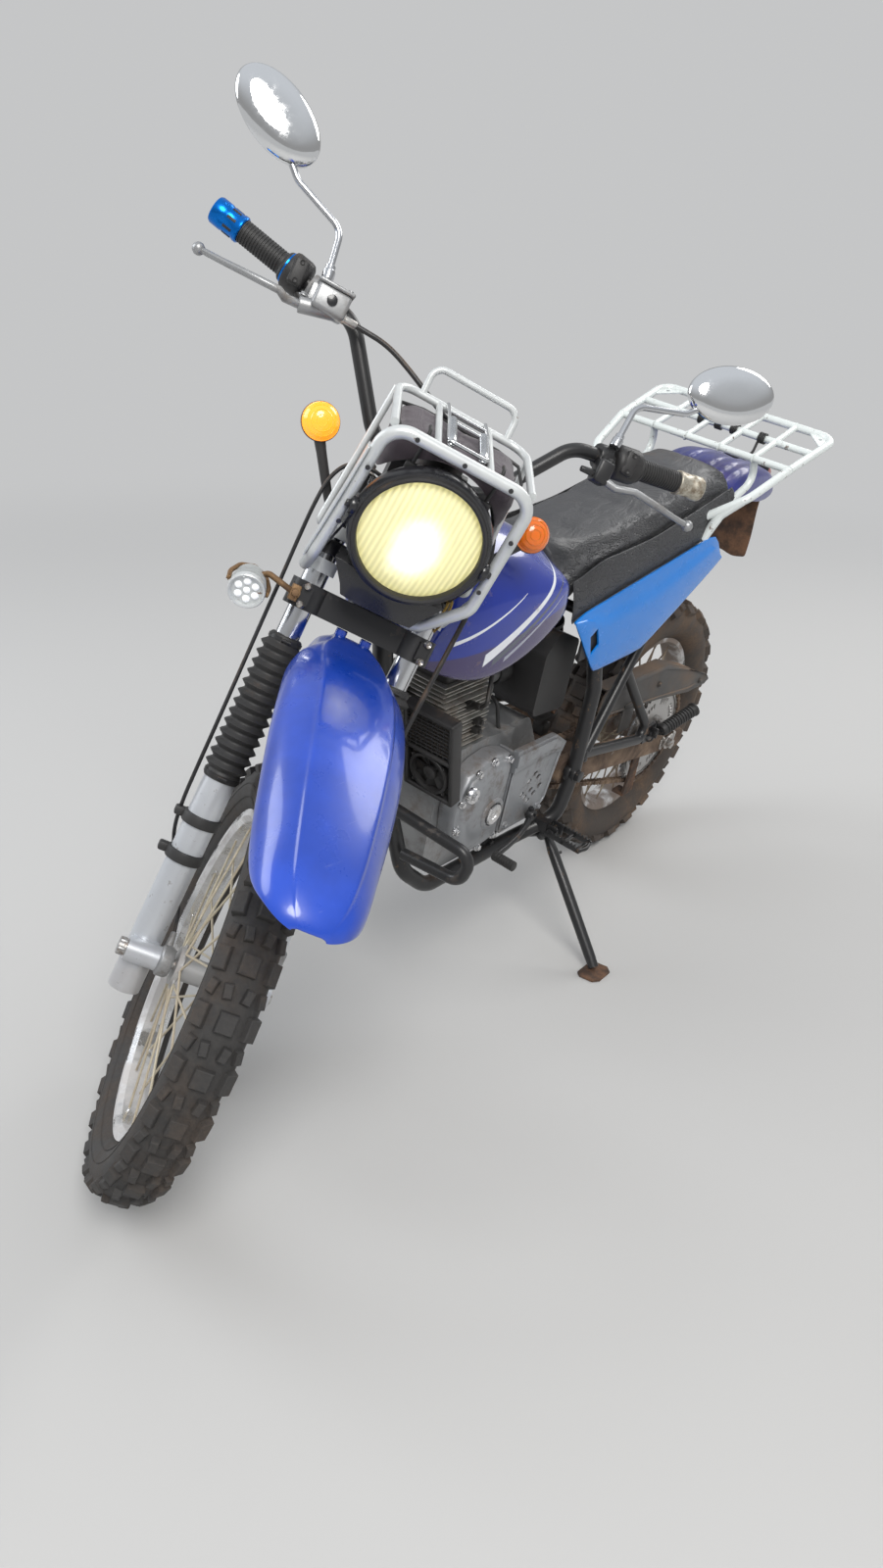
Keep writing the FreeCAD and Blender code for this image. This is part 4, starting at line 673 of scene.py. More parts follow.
def block(bm, low, high, soft=0.0, turn=None, segments=2):
    """A box between two corners with rounded edges."""
    low, high = Vector(low), Vector(high)
    made = bmesh.ops.create_cube(bm, size=1.0)["verts"]
    bmesh.ops.scale(bm, vec=high - low, verts=made)
    bmesh.ops.translate(bm, vec=(high + low) / 2, verts=made)
    if turn is not None:
        bmesh.ops.transform(bm, matrix=turn, verts=made)
    if soft:
        edges = list({edge for vert in made for edge in vert.link_edges})
        bmesh.ops.bevel(bm, geom=edges, offset=soft, affect="EDGES", segments=segments, profile=0.5,
                        material=-1)


def drum(bm, start, end, radius, end_radius=None, steps=32, soft=0.0):
    """A round bar or cone between two points."""
    start, end = Vector(start), Vector(end)
    length = (end - start).length
    place = turn_to(end - start, (start + end) / 2)
    made = bmesh.ops.create_cone(bm, cap_ends=True, segments=steps, radius1=radius,
                                 radius2=radius if end_radius is None else end_radius, depth=length,
                                 matrix=place)["verts"]
    if soft:
        rims = [edge for edge in {e for v in made for e in v.link_edges}
                if any(len(face.verts) > 4 for face in edge.link_faces)]
        bmesh.ops.bevel(bm, geom=rims, offset=soft, affect="EDGES", segments=2, profile=0.5, material=-1)


def hex_bolt(bm, at, direction, size=6.0, height=5.0, washer=True):
    """A hexagon head on a washer, standing on a surface."""
    at, direction = Vector(at), Vector(direction).normalized()
    foot = at
    if washer:
        drum(bm, at, at + direction * 1.2, size * 1.25, steps=18)
        foot = at + direction * 1.2
    drum(bm, foot, foot + direction * height, size, size * 0.96, steps=6, soft=0.5)


def cap_screw(bm, at, direction, size=5.0, height=6.0):
    """A round socket screw head with its socket."""
    at, direction = Vector(at), Vector(direction).normalized()
    made = bmesh.ops.create_cone(bm, cap_ends=True, segments=18, radius1=size, radius2=size, depth=height,
                                 matrix=turn_to(direction, at + direction * height / 2))["verts"]
    faces = {face for vert in made for face in vert.link_faces if len(face.verts) > 4}
    top = max(faces, key=lambda face: face.calc_center_median().dot(direction))
    bmesh.ops.inset_individual(bm, faces=[top], thickness=size * 0.45, depth=-height * 0.5)


def pipe(name, points, radius, place, body, finish, stands_for=(), order=3, steps=10, rings=4):
    """A smooth round tube along a route: its line is a spline with the points as controls."""
    curve = bpy.data.curves.new(name, "CURVE")
    curve.dimensions = "3D"
    curve.resolution_u = steps
    curve.bevel_depth = radius * MM
    curve.bevel_resolution = rings
    curve.use_fill_caps = True
    spline = curve.splines.new("NURBS")
    spline.points.add(len(points) - 1)
    for control, place_of in zip(spline.points, points):
        control.co = (*point(place, *place_of), 1.0)
    spline.order_u = order
    spline.use_endpoint_u = True
    curve.materials.append(paint(finish))
    obj = shown(name, curve)
    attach(obj, body)
    if stands_for:
        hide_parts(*stands_for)
    return obj


def swept(bm, line, radius, steps=16):
    """A round bar along a row of points, with closed ends."""
    rings = []
    up = None
    for i, here in enumerate(line):
        ahead = (line[min(i + 1, len(line) - 1)] - line[max(i - 1, 0)]).normalized()
        if up is None:
            up = ahead.orthogonal().normalized()
        up = (up - ahead * up.dot(ahead)).normalized()
        side = ahead.cross(up)
        rings.append([here + (up * cos(2 * pi * k / steps) + side * sin(2 * pi * k / steps)) * radius
                      for k in range(steps)])
    bridged(bm, rings, True, True)


def coil(bm, start, end, radius, wire, turns, steps=8):
    """A coil spring between two points."""
    start, end = Vector(start), Vector(end)
    place = turn_to(end - start, start)
    length = (end - start).length
    count = int(turns * 14)
    line = [place @ Vector((radius * cos(2 * pi * turns * i / count),
                            radius * sin(2 * pi * turns * i / count),
                            length * i / count)) for i in range(count + 1)]
    swept(bm, line, wire, steps)


def lathe(bm, profile, at=(0, 0, 0), direction=(0, 0, 1), steps=36):
    """A turned shape from (radius, height) pairs, standing at a point along a direction."""
    own = bmesh.new()
    spun(own, [(radius, 0, height) for radius, height in profile], steps=steps)
    mesh = bpy.data.meshes.new("turned")
    own.to_mesh(mesh)
    own.free()
    set_down(bm, mesh, turn_to(direction, at))
    bpy.data.meshes.remove(mesh)


def steered(name, bm, finish, stands_for=(), slot=None, **more):
    return piece(name, bm, FORK, "steering", finish, stands_for, slot, **more)


def fixed(name, bm, finish, stands_for=(), slot=None, **more):
    return piece(name, bm, CHASSIS, "chassis", finish, stands_for, slot, **more)


def steered_lamp(name, bm, finish, slot, stands_for=(), **more):
    return piece(name, bm, LAMP, "steering", finish, stands_for, slot, **more)


def bent_tube(bm, points, radius, bend=20.0, steps=16, turns=6):
    """A bent bar: straight runs joined by bends."""
    points = [Vector(p) for p in points]
    line = [points[0]]
    for before, corner, after in zip(points, points[1:], points[2:]):
        back, on = (before - corner), (after - corner)
        half = back.angle(on) / 2
        trim = min(bend / max(sin(half) / cos(half), 1e-6), 0.45 * back.length, 0.45 * on.length)
        first, last = corner + back.normalized() * trim, corner + on.normalized() * trim
        for i in range(turns + 1):
            t = i / turns
            line.append(first.lerp(corner, t).lerp(corner.lerp(last, t), t))
    line.append(points[-1])
    swept(bm, line, radius, steps)


def between(rows, at):
    """The row of a table at a place between its rows."""
    low, high = next(((a, b) for a, b in zip(rows, rows[1:]) if at <= b[0]), (rows[-2], rows[-1]))
    t = min(max((at - low[0]) / (high[0] - low[0]), 0), 1)
    return [a + (b - a) * t for a, b in zip(low, high)]


def mirrored_copy(bm):
    """Add the same shape on the other side of the middle plane."""
    bmesh.ops.mirror(bm, geom=bm.verts[:] + bm.edges[:] + bm.faces[:], matrix=Matrix(), merge_dist=-1,
                     axis="X", mirror_u=False)


# Tyres and wheels, drawn with the axle along X


def knob(width, length, height, narrow=0.82, soft=1.2):
    """One tread block standing on Z = 0, narrower at its top."""
    bm = bmesh.new()
    made = bmesh.ops.create_cube(bm, size=1.0)["verts"]
    for vert in made:
        top = vert.co.z > 0
        share = narrow if top else 1.0
        vert.co = (vert.co.x * width * share, vert.co.y * length * share, height if top else -4.0)
    edges = [edge for edge in bm.edges if all(vert.co.z > 0 for vert in edge.verts)]
    bmesh.ops.bevel(bm, geom=edges, offset=soft, affect="EDGES", segments=1, profile=0.5, material=-1)
    mesh = bpy.data.meshes.new("knob")
    bm.to_mesh(mesh)
    bm.free()
    return mesh


def set_down(bm, mesh, place):
    """Add a copy of a small mesh at a place."""
    copy = mesh.copy()
    copy.transform(place)
    bm.from_mesh(copy)
    bpy.data.meshes.remove(copy)


def on_tread(turn, across, radius, tilt):
    """A place on the tyre: turned round the axle, out from its middle and tilted to the side."""
    return (Matrix.Rotation(radians(turn), 4, "X") @ Matrix.Translation((across, 0, radius))
            @ Matrix.Rotation(radians(tilt), 4, "Y"))


def carcass(bm, profile, bead, rim_radius):
    """The tyre's own skin under its lugs, from bead to bead."""
    side = [(half, radius) for half, radius in profile]
    outline = [(-bead, rim_radius)] + [(-half, radius) for half, radius in side[::-1] if half > 0]
    outline += side + [(bead, rim_radius), (-bead, rim_radius)]
    spun(bm, [(x, 0, z) for x, z in outline], axis=(1, 0, 0), steps=120)


def front_tyre():
    """21 inch trail tyre: centre blocks in pairs, then wide shoulder blocks."""
    look = the_look()
    height = look.front_knob / MM
    skin = FRONT_RADIUS - height
    bm = bmesh.new()
    carcass(bm, ((0, skin), (14, skin - 1), (27, skin - 5.5), (36, skin - 14), (41, skin - 27),
                 (41, skin - 40),
                 (37, skin - 54), (30, skin - 66), (23, FRONT_RIM_RADIUS + 1)), 21, FRONT_RIM_RADIUS)
    centre, shoulder = knob(26, 30, height, 0.88), knob(20, 34, height, 0.88)
    pair, edge = knob(13, 22, height), knob(13, 22, height - 1)
    step = 360.0 / look.front_rows
    for i in range(look.front_rows):
        set_down(bm, centre, on_tread(i * step, 0, skin - 0.3, 0))
        for side in (1, -1):
            set_down(bm, shoulder, on_tread(i * step, side * 32, skin - 10.5, side * 36))
            midway = (i + 0.5) * step
            set_down(bm, pair, on_tread(midway, side * 13, skin - 0.8, side * 6)
                     @ Matrix.Rotation(radians(side * -9), 4, "Z"))
            set_down(bm, edge, on_tread(midway, side * 31, skin - 9, side * 32)
                     @ Matrix.Rotation(radians(side * 12), 4, "Z"))
    for radius in (skin - 38, skin - 58):
        half = 41.4 if radius > skin - 50 else 35.6
        for side in (1, -1):
            spun(bm, [(side * (half - 2), 0, radius - 1.2), (side * (half + 0.7), 0, radius),
                      (side * (half - 2), 0, radius + 1.2)], axis=(1, 0, 0), steps=96)
    return piece("front_tyre_lugs", bm, FRONT_WHEEL, "front_wheel", "front_tyre_rubber", ("front_tyre",),
                 "front_tyre", outwards=False)


def rear_tyre():
    """18 inch trail tyre: broad blocks across the crown and tall shoulder blocks."""
    look = the_look()
    height = look.rear_knob / MM
    skin = REAR_RADIUS - height
    bm = bmesh.new()
    carcass(bm, ((0, skin), (20, skin - 1.5), (36, skin - 6), (47, skin - 15), (54, skin - 28),
                 (55, skin - 44),
                 (50, skin - 62), (40, skin - 76), (29, REAR_RIM_RADIUS + 1)), 27, REAR_RIM_RADIUS)
    centre, shoulder = knob(38, 34, height, 0.88), knob(26, 38, height, 0.88)
    pair, edge = knob(20, 26, height), knob(18, 26, height - 1)
    step = 360.0 / look.rear_rows
    for i in range(look.rear_rows):
        set_down(bm, centre, on_tread(i * step, 0, skin - 0.3, 0))
        for side in (1, -1):
            set_down(bm, shoulder, on_tread(i * step, side * 44, skin - 12.5, side * 40))
            midway = (i + 0.5) * step
            set_down(bm, pair, on_tread(midway, side * 17, skin - 1, side * 5))
            set_down(bm, edge, on_tread(midway, side * 40, skin - 9, side * 28)
                     @ Matrix.Rotation(radians(side * 10), 4, "Z"))
    return piece("rear_tyre_lugs", bm, REAR_WHEEL, "rear_wheel", "rear_tyre_rubber", ("rear_tyre",),
                 "rear_tyre", outwards=False)


# Bodywork

FENDER = (
    # forward, crest, half width, skirt, how far the middle runs ahead of the edges
    (-60, 884, 44, 24, 0), (-10, 903, 47, 26, 0), (40, 913, 50, 30, 0), (74, 908, 55, 44, 0),
    (97, 901, 79, 62, 0), (140, 891, 86, 62, 2), (200, 881, 91, 64, 6), (270, 855, 94, 72, 10),
    (340, 820, 92, 78, 14), (410, 774, 86, 82, 16), (455, 742, 80, 86, 16), (495, 714, 74, 74, 14),
    (525, 690, 67, 54, 11), (546, 671, 59, 36, 9), (562, 652, 48, 21, 7), (571, 637, 35, 10, 5),
    (575, 628, 21, 4, 2))
FENDER_RIDGE = 0.58


def fender_row(forward, crest, half, skirt, nose):
    """Half a section of the front fender, as (across, forward, height), from its crown to its rolled edge."""
    deep = min(1.0, max(0.0, (skirt - 8) / 40))
    rows = ((0.0, 0.0), (0.3, -0.6 * deep), (FENDER_RIDGE - 0.07, -2.0 * deep),
            (FENDER_RIDGE - 0.01, -3.0 * deep),
            (FENDER_RIDGE + 0.02, -9.0 * deep), (FENDER_RIDGE + 0.08, -11.5 * deep),
            (0.82, -0.2 * skirt - 9.0 * deep), (0.93, -0.46 * skirt - 2 * deep), (0.99, -0.74 * skirt),
            (1.0, -0.95 * skirt), (0.975, -skirt))
    return [(share * half, forward + nose * (1 - share * share), crest + fall) for share, fall in rows]


def front_fender():
    bm = bmesh.new()
    rings = []
    for row in FENDER:
        right = [Vector((x, -forward, height)) for x, forward, height in fender_row(*row)]
        left = [Vector((-p.x, p.y, p.z)) for p in right[1:]]
        rings.append(left[::-1] + right)
    bridged(bm, rings, closed=False)
    for x in (-20, 20):
        drum(bm, (x, -36, 905), (x, -36, 919), 9, steps=20, soft=1)
    return piece("fender_blade", bm, FORK, "steering", "deep_blue_gloss", ("front_fender",), "front_fender",
                 wall=3.0, level=2)


TANK = (
    # y, half width at the foot, at the waist, at the shoulder, foot height, waist height, shoulder, top
    (-312, 70, 78, 52, 776, 820, 872, 890), (-296, 92, 98, 64, 764, 822, 892, 912),
    (-250, 120, 128, 82, 744, 830, 918, 940), (-190, 134, 140, 92, 733, 836, 934, 962),
    (-110, 142, 146, 92, 748, 842, 934, 964), (-40, 144, 144, 84, 778, 850, 922, 948),
    (10, 140, 138, 72, 806, 858, 902, 922), (40, 128, 126, 64, 818, 858, 888, 902))


def tank_row(y, foot_half, waist_half, top_half, foot, waist, shoulder, top):
    """Half a section of the tank from its underside up to its top line."""
    return [(0, y, foot + 34), (44, y, foot + 26), (foot_half - 26, y, foot + 4), (foot_half - 6, y, foot),
            (foot_half + 1, y, foot + 8), ((foot_half + waist_half) / 2 + 1, y, (foot + waist) / 2),
            (waist_half, y, waist), (waist_half * 0.9 + top_half * 0.1, y, waist * 0.6 + shoulder * 0.4),
            (top_half + 8, y, shoulder - 4), (top_half - 10, y, shoulder + 9),
            (top_half * 0.55, y, top - 5),
            (top_half * 0.25, y, top), (0, y, top + 1)]


def fuel_tank():
    """Tank with its paint laid out by where a place is along and up its side."""
    bm = bmesh.new()
    rings = []
    for row in TANK:
        right = [Vector(p) for p in tank_row(*row)]
        left = [Vector((-p.x, p.y, p.z)) for p in right[1:-1]]
        rings.append(right + left[::-1])
    bridged(bm, rings, closed=True, caps=True)
    low, high = min(row[0] for row in TANK), max(row[0] for row in TANK)
    layer = bm.loops.layers.uv.new("side_view")
    for face in bm.faces:
        for corner in face.loops:
            at = corner.vert.co
            corner[layer].uv = ((at.y - low) / (high - low), (at.z - 730) / 240)
    piece("tank_shell", bm, CHASSIS, "chassis", "tank_paint", ("fuel_tank",), "fuel_tank", level=2)
    cap = bmesh.new()
    spun(cap, [(0, 0, 984), (20, 0, 983), (30, 0, 979), (33, 0, 974), (33, 0, 962), (37, 0, 960),
               (38, 0, 954)],
         steps=40)
    bmesh.ops.translate(cap, vec=(0, -170, 0), verts=cap.verts)
    return piece("tank_cap", cap, CHASSIS, "chassis", "polished_alloy", (), "fuel_tank")


COVER_OUTLINE = (
    # (y, lower edge, upper edge)
    (56, 784, 790), (62, 778, 793), (74, 765, 797), (90, 748, 802), (110, 725, 805), (130, 703, 808),
    (150, 681, 811), (163, 669, 813), (180, 668, 816), (220, 669, 822), (260, 670, 828), (300, 671, 834),
    (340, 674, 840), (380, 691, 846), (420, 711, 852), (460, 730, 858), (500, 750, 864), (540, 769, 870),
    (565, 781, 868), (590, 793, 852), (610, 803, 832), (624, 811, 817))
COVER_SLOT = ((114, 750), (134, 764), (152, 726), (134, 708))


def cover_bow(y, share):
    """How far the side cover stands out: least at its ends and edges, with a fold along its upper third."""
    along = sin(pi * min(max((y - 40) / 600, 0), 1)) ** 0.6
    edge = 1 - abs(share - 0.42) ** 2.2 * 2.6
    fold = 2.2 if share > 0.74 else 0.0
    return 142 + 10 * along * max(edge, 0.1) - fold


def side_cover(bm):
    rings = []
    for y, low, high in COVER_OUTLINE:
        rings.append([(cover_bow(y, share), y, low + (high - low) * share)
                      for share in (0.0, 0.04, 0.14, 0.3, 0.45, 0.6, 0.72, 0.76, 0.88, 0.96, 1.0)])
    bridged(bm, rings, closed=False)
    count = len(COVER_SLOT)
    for (y, z), (next_y, next_z) in zip(COVER_SLOT, COVER_SLOT[1:] + COVER_SLOT[:1]):
        near = [face for face in bm.faces
                if 90 < face.calc_center_median().y < 180 and 680 < face.calc_center_median().z < 790]
        geom = near + list({e for f in near for e in f.edges}) + list({v for f in near for v in f.verts})
        bmesh.ops.bisect_plane(bm, geom=geom, plane_co=(0, y, z), plane_no=(0, next_z - z, y - next_y))
    def within(face):
        at = face.calc_center_median()
        signs = [(next_y - y) * (at.z - z) - (next_z - z) * (at.y - y)
                 for (y, z), (next_y, next_z) in zip(COVER_SLOT, COVER_SLOT[1:] + COVER_SLOT[:1])]
        return len(signs) == count and (min(signs) > 0 or max(signs) < 0)
    slot = [face for face in bm.faces if within(face)]
    bmesh.ops.recalc_face_normals(bm, faces=bm.faces)
    bmesh.ops.delete(bm, geom=slot, context="FACES")


def side_covers():
    bm = bmesh.new()
    side_cover(bm)
    mirrored_copy(bm)
    obj = piece("side_cover_panels", bm, CHASSIS, "chassis", "azure_gloss", ("side_covers",), "side_covers",
                wall=4.0, bevel=1.4)
    # Painted shade: black blocks behind the vent slots stand in for the shade inside each vent.
    slot_shade = bmesh.new()
    for side in (1, -1):
        block(slot_shade, (side * 138 - 4, 104, 700), (side * 138 + 3, 160, 772), 2)
    piece("side_cover_slot_shade", slot_shade, CHASSIS, "chassis", "black_plastic", (), "side_covers")
    return obj


def rear_fender():
    """Ribbed rear fender under the rack."""
    rows = ((652, 100, 946, 58), (700, 102, 962, 66), (760, 101, 976, 74), (820, 97, 972, 78),
            (880, 91, 961, 80),
            (940, 84, 946, 68), (984, 77, 931, 50), (990, 73, 927, 44))
    shape = ((0, 0), (0.16, 0), (0.2, -3.5), (0.32, -3.5), (0.36, 0.5), (0.52, 0), (0.56, -4), (0.66, -4.5),
             (0.72, -3), (0.84, -8), (0.95, -20), (1.0, -38))
    bm = bmesh.new()
    rings = []
    for y, half, top, skirt in rows:
        right = [Vector((share * half, y, top + fall)) for share, fall in shape]
        right += [Vector((half, y, top - skirt * 0.8)), Vector((half - 1, y, top - skirt))]
        left = [Vector((-p.x, p.y, p.z)) for p in right[1:]]
        rings.append(left[::-1] + right)
    bridged(bm, rings, closed=False)
    return piece("rear_fender_shell", bm, CHASSIS, "chassis", "rear_fender_blue", ("rear_fender",),
                 "rear_fender",
                 wall=3.0, level=2)


# Headlight, in the upright frame that turns with the fork


def headlight():
    """Bowl, outer hood, double bezel, reflector, bulb and fluted glass."""
    centre = LAMP_CENTRE

    def turned(name, profile, finish, stands_for=(), slot="headlight_shell", steps=72):
        bm = bmesh.new()
        spun(bm, [(radius, 0, ahead) for radius, ahead in profile], steps=steps)
        place = LAMP @ Matrix.Translation(centre) @ Matrix.Rotation(radians(90), 4, "X")
        return piece(name, bm, place, "steering", finish, stands_for, slot)

    r = 100.0
    turned("lamp_bowl", [(0, -112), (r - 58, -112), (r - 48, -108), (r - 26, -76), (r - 10, -36),
                         (r - 1, -24),
                        (r + 1, -14), (r, -4), (r - 3, 1), (r - 8, 2), (r - 11, -3), (r - 12, -18),
                        (r - 30, -40),
                        (r - 56, -100), (0, -104)], "black_gloss", ("headlight_shell",))
    turned("lamp_bezel", [(93, -3), (94, 2), (92.5, 5.5), (90, 6.5), (86.8, 5), (85.8, 1), (86, -5),
                          (91, -6),
                         (93, -3)], "black_plastic")
    turned("lamp_reflector", [(86, -10), (78, -24), (64, -42), (46, -58), (26, -68), (13, -71), (13, -73),
                              (26, -70),
                             (46, -60), (65, -44), (80, -26), (88, -12), (86, -10)], "reflector")
    turned("lamp_bulb", [(0, -22), (5, -23), (8, -27), (8.5, -36), (7, -46), (8, -60), (8, -72), (0, -72)],
          "bulb_glow", steps=24)
    turned("lamp_glass_disc", [(0, 9.5), (22, 9), (44, 7.2), (62, 4.2), (76, 0.2), (85.6, -5), (85.6, -8),
                              (76, -3.2), (62, 1), (44, 4), (22, 6), (0, 6.5)], "lamp_glass",
          ("headlight_lens",), "headlight_lens")
    flutes = bmesh.new()
    for i in range(-9, 10):
        x = i * 8.2
        reach = sqrt(max(80 ** 2 - x ** 2, 0))
        if reach > 14:
            drum(flutes, (x, -reach, 0), (x, reach, 0), 3.4, steps=10)
    for vert in flutes.verts:
        reach = hypot(vert.co.x, vert.co.y)
        vert.co.z = vert.co.z * 0.28 + 5.9 - 8.6 * (reach / 80) ** 2
    place = LAMP @ Matrix.Translation(centre) @ Matrix.Rotation(radians(90), 4, "X")
    return piece("lamp_flutes", flutes, place, "steering", "lamp_glass", (), "headlight_lens")


def lamp_cowl():
    """The lamp's ears to the fork and the black cowl that closes the gap under it."""
    bm = bmesh.new()
    for side in (1, -1):
        x = side * 99
        points = [(-28, 1008), (-64, 1031), (-158, 1098), (-178, 1088), (-176, 1066), (-158, 1054)]
        ring = [STRAIGHT @ Vector((x - 2, y, z)) for y, z in points]
        other = [STRAIGHT @ Vector((x + 2, y, z)) for y, z in points]
        bridged(bm, [ring, other], True, True)
        foot = STRAIGHT @ Vector((side * LEG_X, -LEG_FORWARD, 1008))
        head = STRAIGHT @ Vector((side * LEG_X, -LEG_FORWARD, 1030))
        drum(bm, foot, head, TUBE_RADIUS + 6.5, steps=36, soft=1.5)
        drum(bm, (side * 96, -462, 1036), (side * 106, -462, 1036), 13, steps=24, soft=2)
        hex_bolt(bm, (side * 106, -462, 1036), (side, 0, 0), 6.5, 5)
    rows = ((903, 56, -454, -418), (918, 64, -452, -414), (936, 78, -448, -410), (948, 86, -444, -408))
    rings = [[(-half, front, z), (-half * 0.6, front - 6, z), (half * 0.6, front - 6, z), (half, front, z),
              (half - 6, back, z), (-half + 6, back, z)] for z, half, front, back in rows]
    bridged(bm, rings, True, True)
    return piece("lamp_ears_and_cowl", bm, LAMP, "steering", "black_gloss", (), "headlight_shell",
                 bevel=1.2)


# Hose and cable: their routes, in the fork's frame

BRAKE_HOSE = (
    (-204.6, -25, 1312), (-172, -25, 1312), (-134, -38, 1308), (-88, -52, 1288), (-36, -60, 1262),
    (18, -62, 1240),
    (68, -59, 1210), (108, -60, 1168), (131, -58, 1116), (138, -55, 1060), (138, -51, 1003),
    (136, -50, 946),
    (134, -50, 888), (132, -49, 830), (132, -47, 772), (131, -45, 714), (129, -42, 656), (127, -34, 602),
    (122, -18, 556), (108, 0, 520), (88, 12, 492), (68, 19, 470), (57, 22, 456))
SPEEDO_CABLE = (
    (-54, -32, 388), (-57, -8, 414), (-74, 10, 446), (-98, 9, 488), (-119, -10, 532), (-127, -30, 584),
    (-129, -39, 642), (-130, -42, 704), (-131, -41, 768), (-132, -39, 832), (-133, -38, 896),
    (-134, -39, 958),
    (-136, -45, 1014), (-137, -53, 1064), (-134, -54, 1106), (-119, -58, 1135), (-92, -66, 1144),
    (-64, -72, 1139),
    (-39, -70, 1135), (-26, -61, 1148), (-24, -58, 1166.9))


def front_brake_hose():
    """Hydraulic hose from the master cylinder down the left leg to the caliper."""
    hose = pipe("front_brake_line", BRAKE_HOSE, 4.0, FORK, "steering", "cable_sheath", (),
                rings=5)
    tuple(point(FORK, *BRAKE_HOSE[0]))
    return hose


def speedometer_drive_cable():
    """Cable from the wheel's speedometer drive up the right leg to the dial."""
    cable = pipe("speedometer_drive_cable", SPEEDO_CABLE, 3.0, FORK, "steering", "cable_sheath", (),
                 rings=5)
    tuple(point(FORK, *SPEEDO_CABLE[0]))
    return cable


# Controls on the handlebar


def bar_place(from_end, side):
    """A point on the straight end of the bar, and the bar's outward direction there."""
    run = (BAR_END - BAR_KNEE).normalized()
    at = BAR_END - run * from_end
    return Vector((side * at.x, at.y, at.z)), Vector((side * run.x, run.y, run.z))


SLEEVE = [(15.4, 78), (18.4, 78), (19.6, 79.5), (19.6, 84), (18.7, 85.5), (18.7, 104.5), (19.6, 106),
          (19.6, 122),
          (18, 125), (12, 125.4), (10, 124), (10, 119), (0, 118.5)]


def grips():
    """Ribbed rubber grips; the right one ends in a blue slotted sleeve, the left one in a worn metal one."""
    for side, name in ((1, "left"), (-1, "right")):
        at, along = bar_place(120, side)
        bm = bmesh.new()
        profile = [(11.2, -3), (20.5, -3), (22, -1), (22, 3), (20, 5.5), (17, 7)]
        for i in range(22):
            z = 8 + i * 4.5
            profile += [(16.8, z), (17.1, z + 1.1), (16.8, z + 2.2), (15.6, z + 2.7), (15.6, z + 4.0)]
        profile += [(17, 108), (18.4, 111), (18.6, 118), (17.2, 122), (12, 123.5), (9, 122), (9, 118),
                    (0, 117)]
        lathe(bm, profile, at, along, steps=40)
        steered(name + "_grip", bm, "rubber", ("grips",), "grips")
        if side < 0:
            ends = bmesh.new()
            lathe(ends, SLEEVE, at, along, steps=40)
            lathe(ends, [(11.3, -6), (18, -6), (20.6, -4.5), (20.6, -2), (22.8, -1.5), (22.8, 0.6),
                         (20, 1.4),
                         (11.3, 1.4)], at, along, steps=40)
            steered("grip_collars", ends, "blue_anodised", (), "grips")
            slots = bmesh.new()
            for i in range(8):
                turn = turn_to(along, at) @ Matrix.Rotation(i * pi / 4, 4, "Z")
                block(slots, (-2.2, 18.0, 88), (2.2, 19.3, 102), 0.6, turn)
            steered("grip_sleeve_slots", slots, "rubber", (), "grips")
        else:
            ends = bmesh.new()
            lathe(ends, SLEEVE, at, along, steps=40)
            steered("left_grip_sleeve", ends, "zinc", (), "grips")
    tip = bmesh.new()
    for side in (1, -1):
        at, along = bar_place(0, side)
        lathe(tip, [(0, 3.6), (8.4, 3.6), (9, 1.0), (9, -14), (0, -14)], at, along, steps=32)
    steered("bar_plugs", tip, "bolt_steel", (), "grips")


def gaiters():
    """Ribbed rubber boots between the lower legs and the clamps, each with a band at its foot and head."""
    look = the_look()
    bm, bands = bmesh.new(), bmesh.new()
    low, high = GAITER_LOW, GAITER_TOP
    step = (high - low - 26) / look.gaiter_ribs
    for side in (1, -1):
        profile = [(TUBE_RADIUS + 0.4, low + 1), (26.6, low), (27.4, low + 3), (27.4, low + 12)]
        for i in range(look.gaiter_ribs):
            z = low + 14 + i * step
            profile += [(25.6, z), (26.4, z + 0.12 * step), (GAITER_RADIUS - 1.6, z + 0.38 * step),
                        (GAITER_RADIUS, z + 0.5 * step), (GAITER_RADIUS - 1.6, z + 0.62 * step),
                        (26.4, z + 0.88 * step)]
        profile += [(25, high - 12), (24.4, high - 2), (22, high), (TUBE_RADIUS + 0.4, high - 1)]
        lathe(bm, profile, (side * LEG_X, -LEG_FORWARD, 0), steps=48)
        for z, radius in ((low + 4, 27.5), (high - 10, 25)):
            lathe(bands, [(radius, z), (radius + 1.2, z), (radius + 1.2, z + 6), (radius, z + 6),
                          (radius, z)],
                  (side * LEG_X, -LEG_FORWARD, 0), steps=40)
            drum(bands, (side * LEG_X + 6, -LEG_FORWARD - radius - 3, z + 3),
                 (side * LEG_X - 8, -LEG_FORWARD - radius - 3, z + 3), 2.6, steps=10)
    steered("fork_boots", bm, "rubber", ("fork_gaiters",), "fork_gaiters", crease=70.0)
    steered("boot_bands", bands, "black_paint", (), "fork_gaiters")


# Drive and brakes


def perforated(bm, radii, count, open_cells, x=0.0):
    """A flat ring in rows of cells round the X axis, with a hole in each cell that the rule opens."""
    rings = [[(x, radius * sin(2 * pi * k / count), radius * cos(2 * pi * k / count)) for k in range(count)]
             for radius in radii]
    bridged(bm, rings, True)
    bmesh.ops.recalc_face_normals(bm, faces=bm.faces)
    chosen = []
    for face in bm.faces:
        at = face.calc_center_median()
        row = sum(1 for radius in radii[1:] if hypot(at.y, at.z) > radius)
        if open_cells(row, int((atan2(at.y, at.z) / (2 * pi) * count) % count)):
            chosen.append(face)
    bmesh.ops.inset_individual(bm, faces=chosen, thickness=1.9, depth=0.0)
    bmesh.ops.delete(bm, geom=chosen, context="FACES")


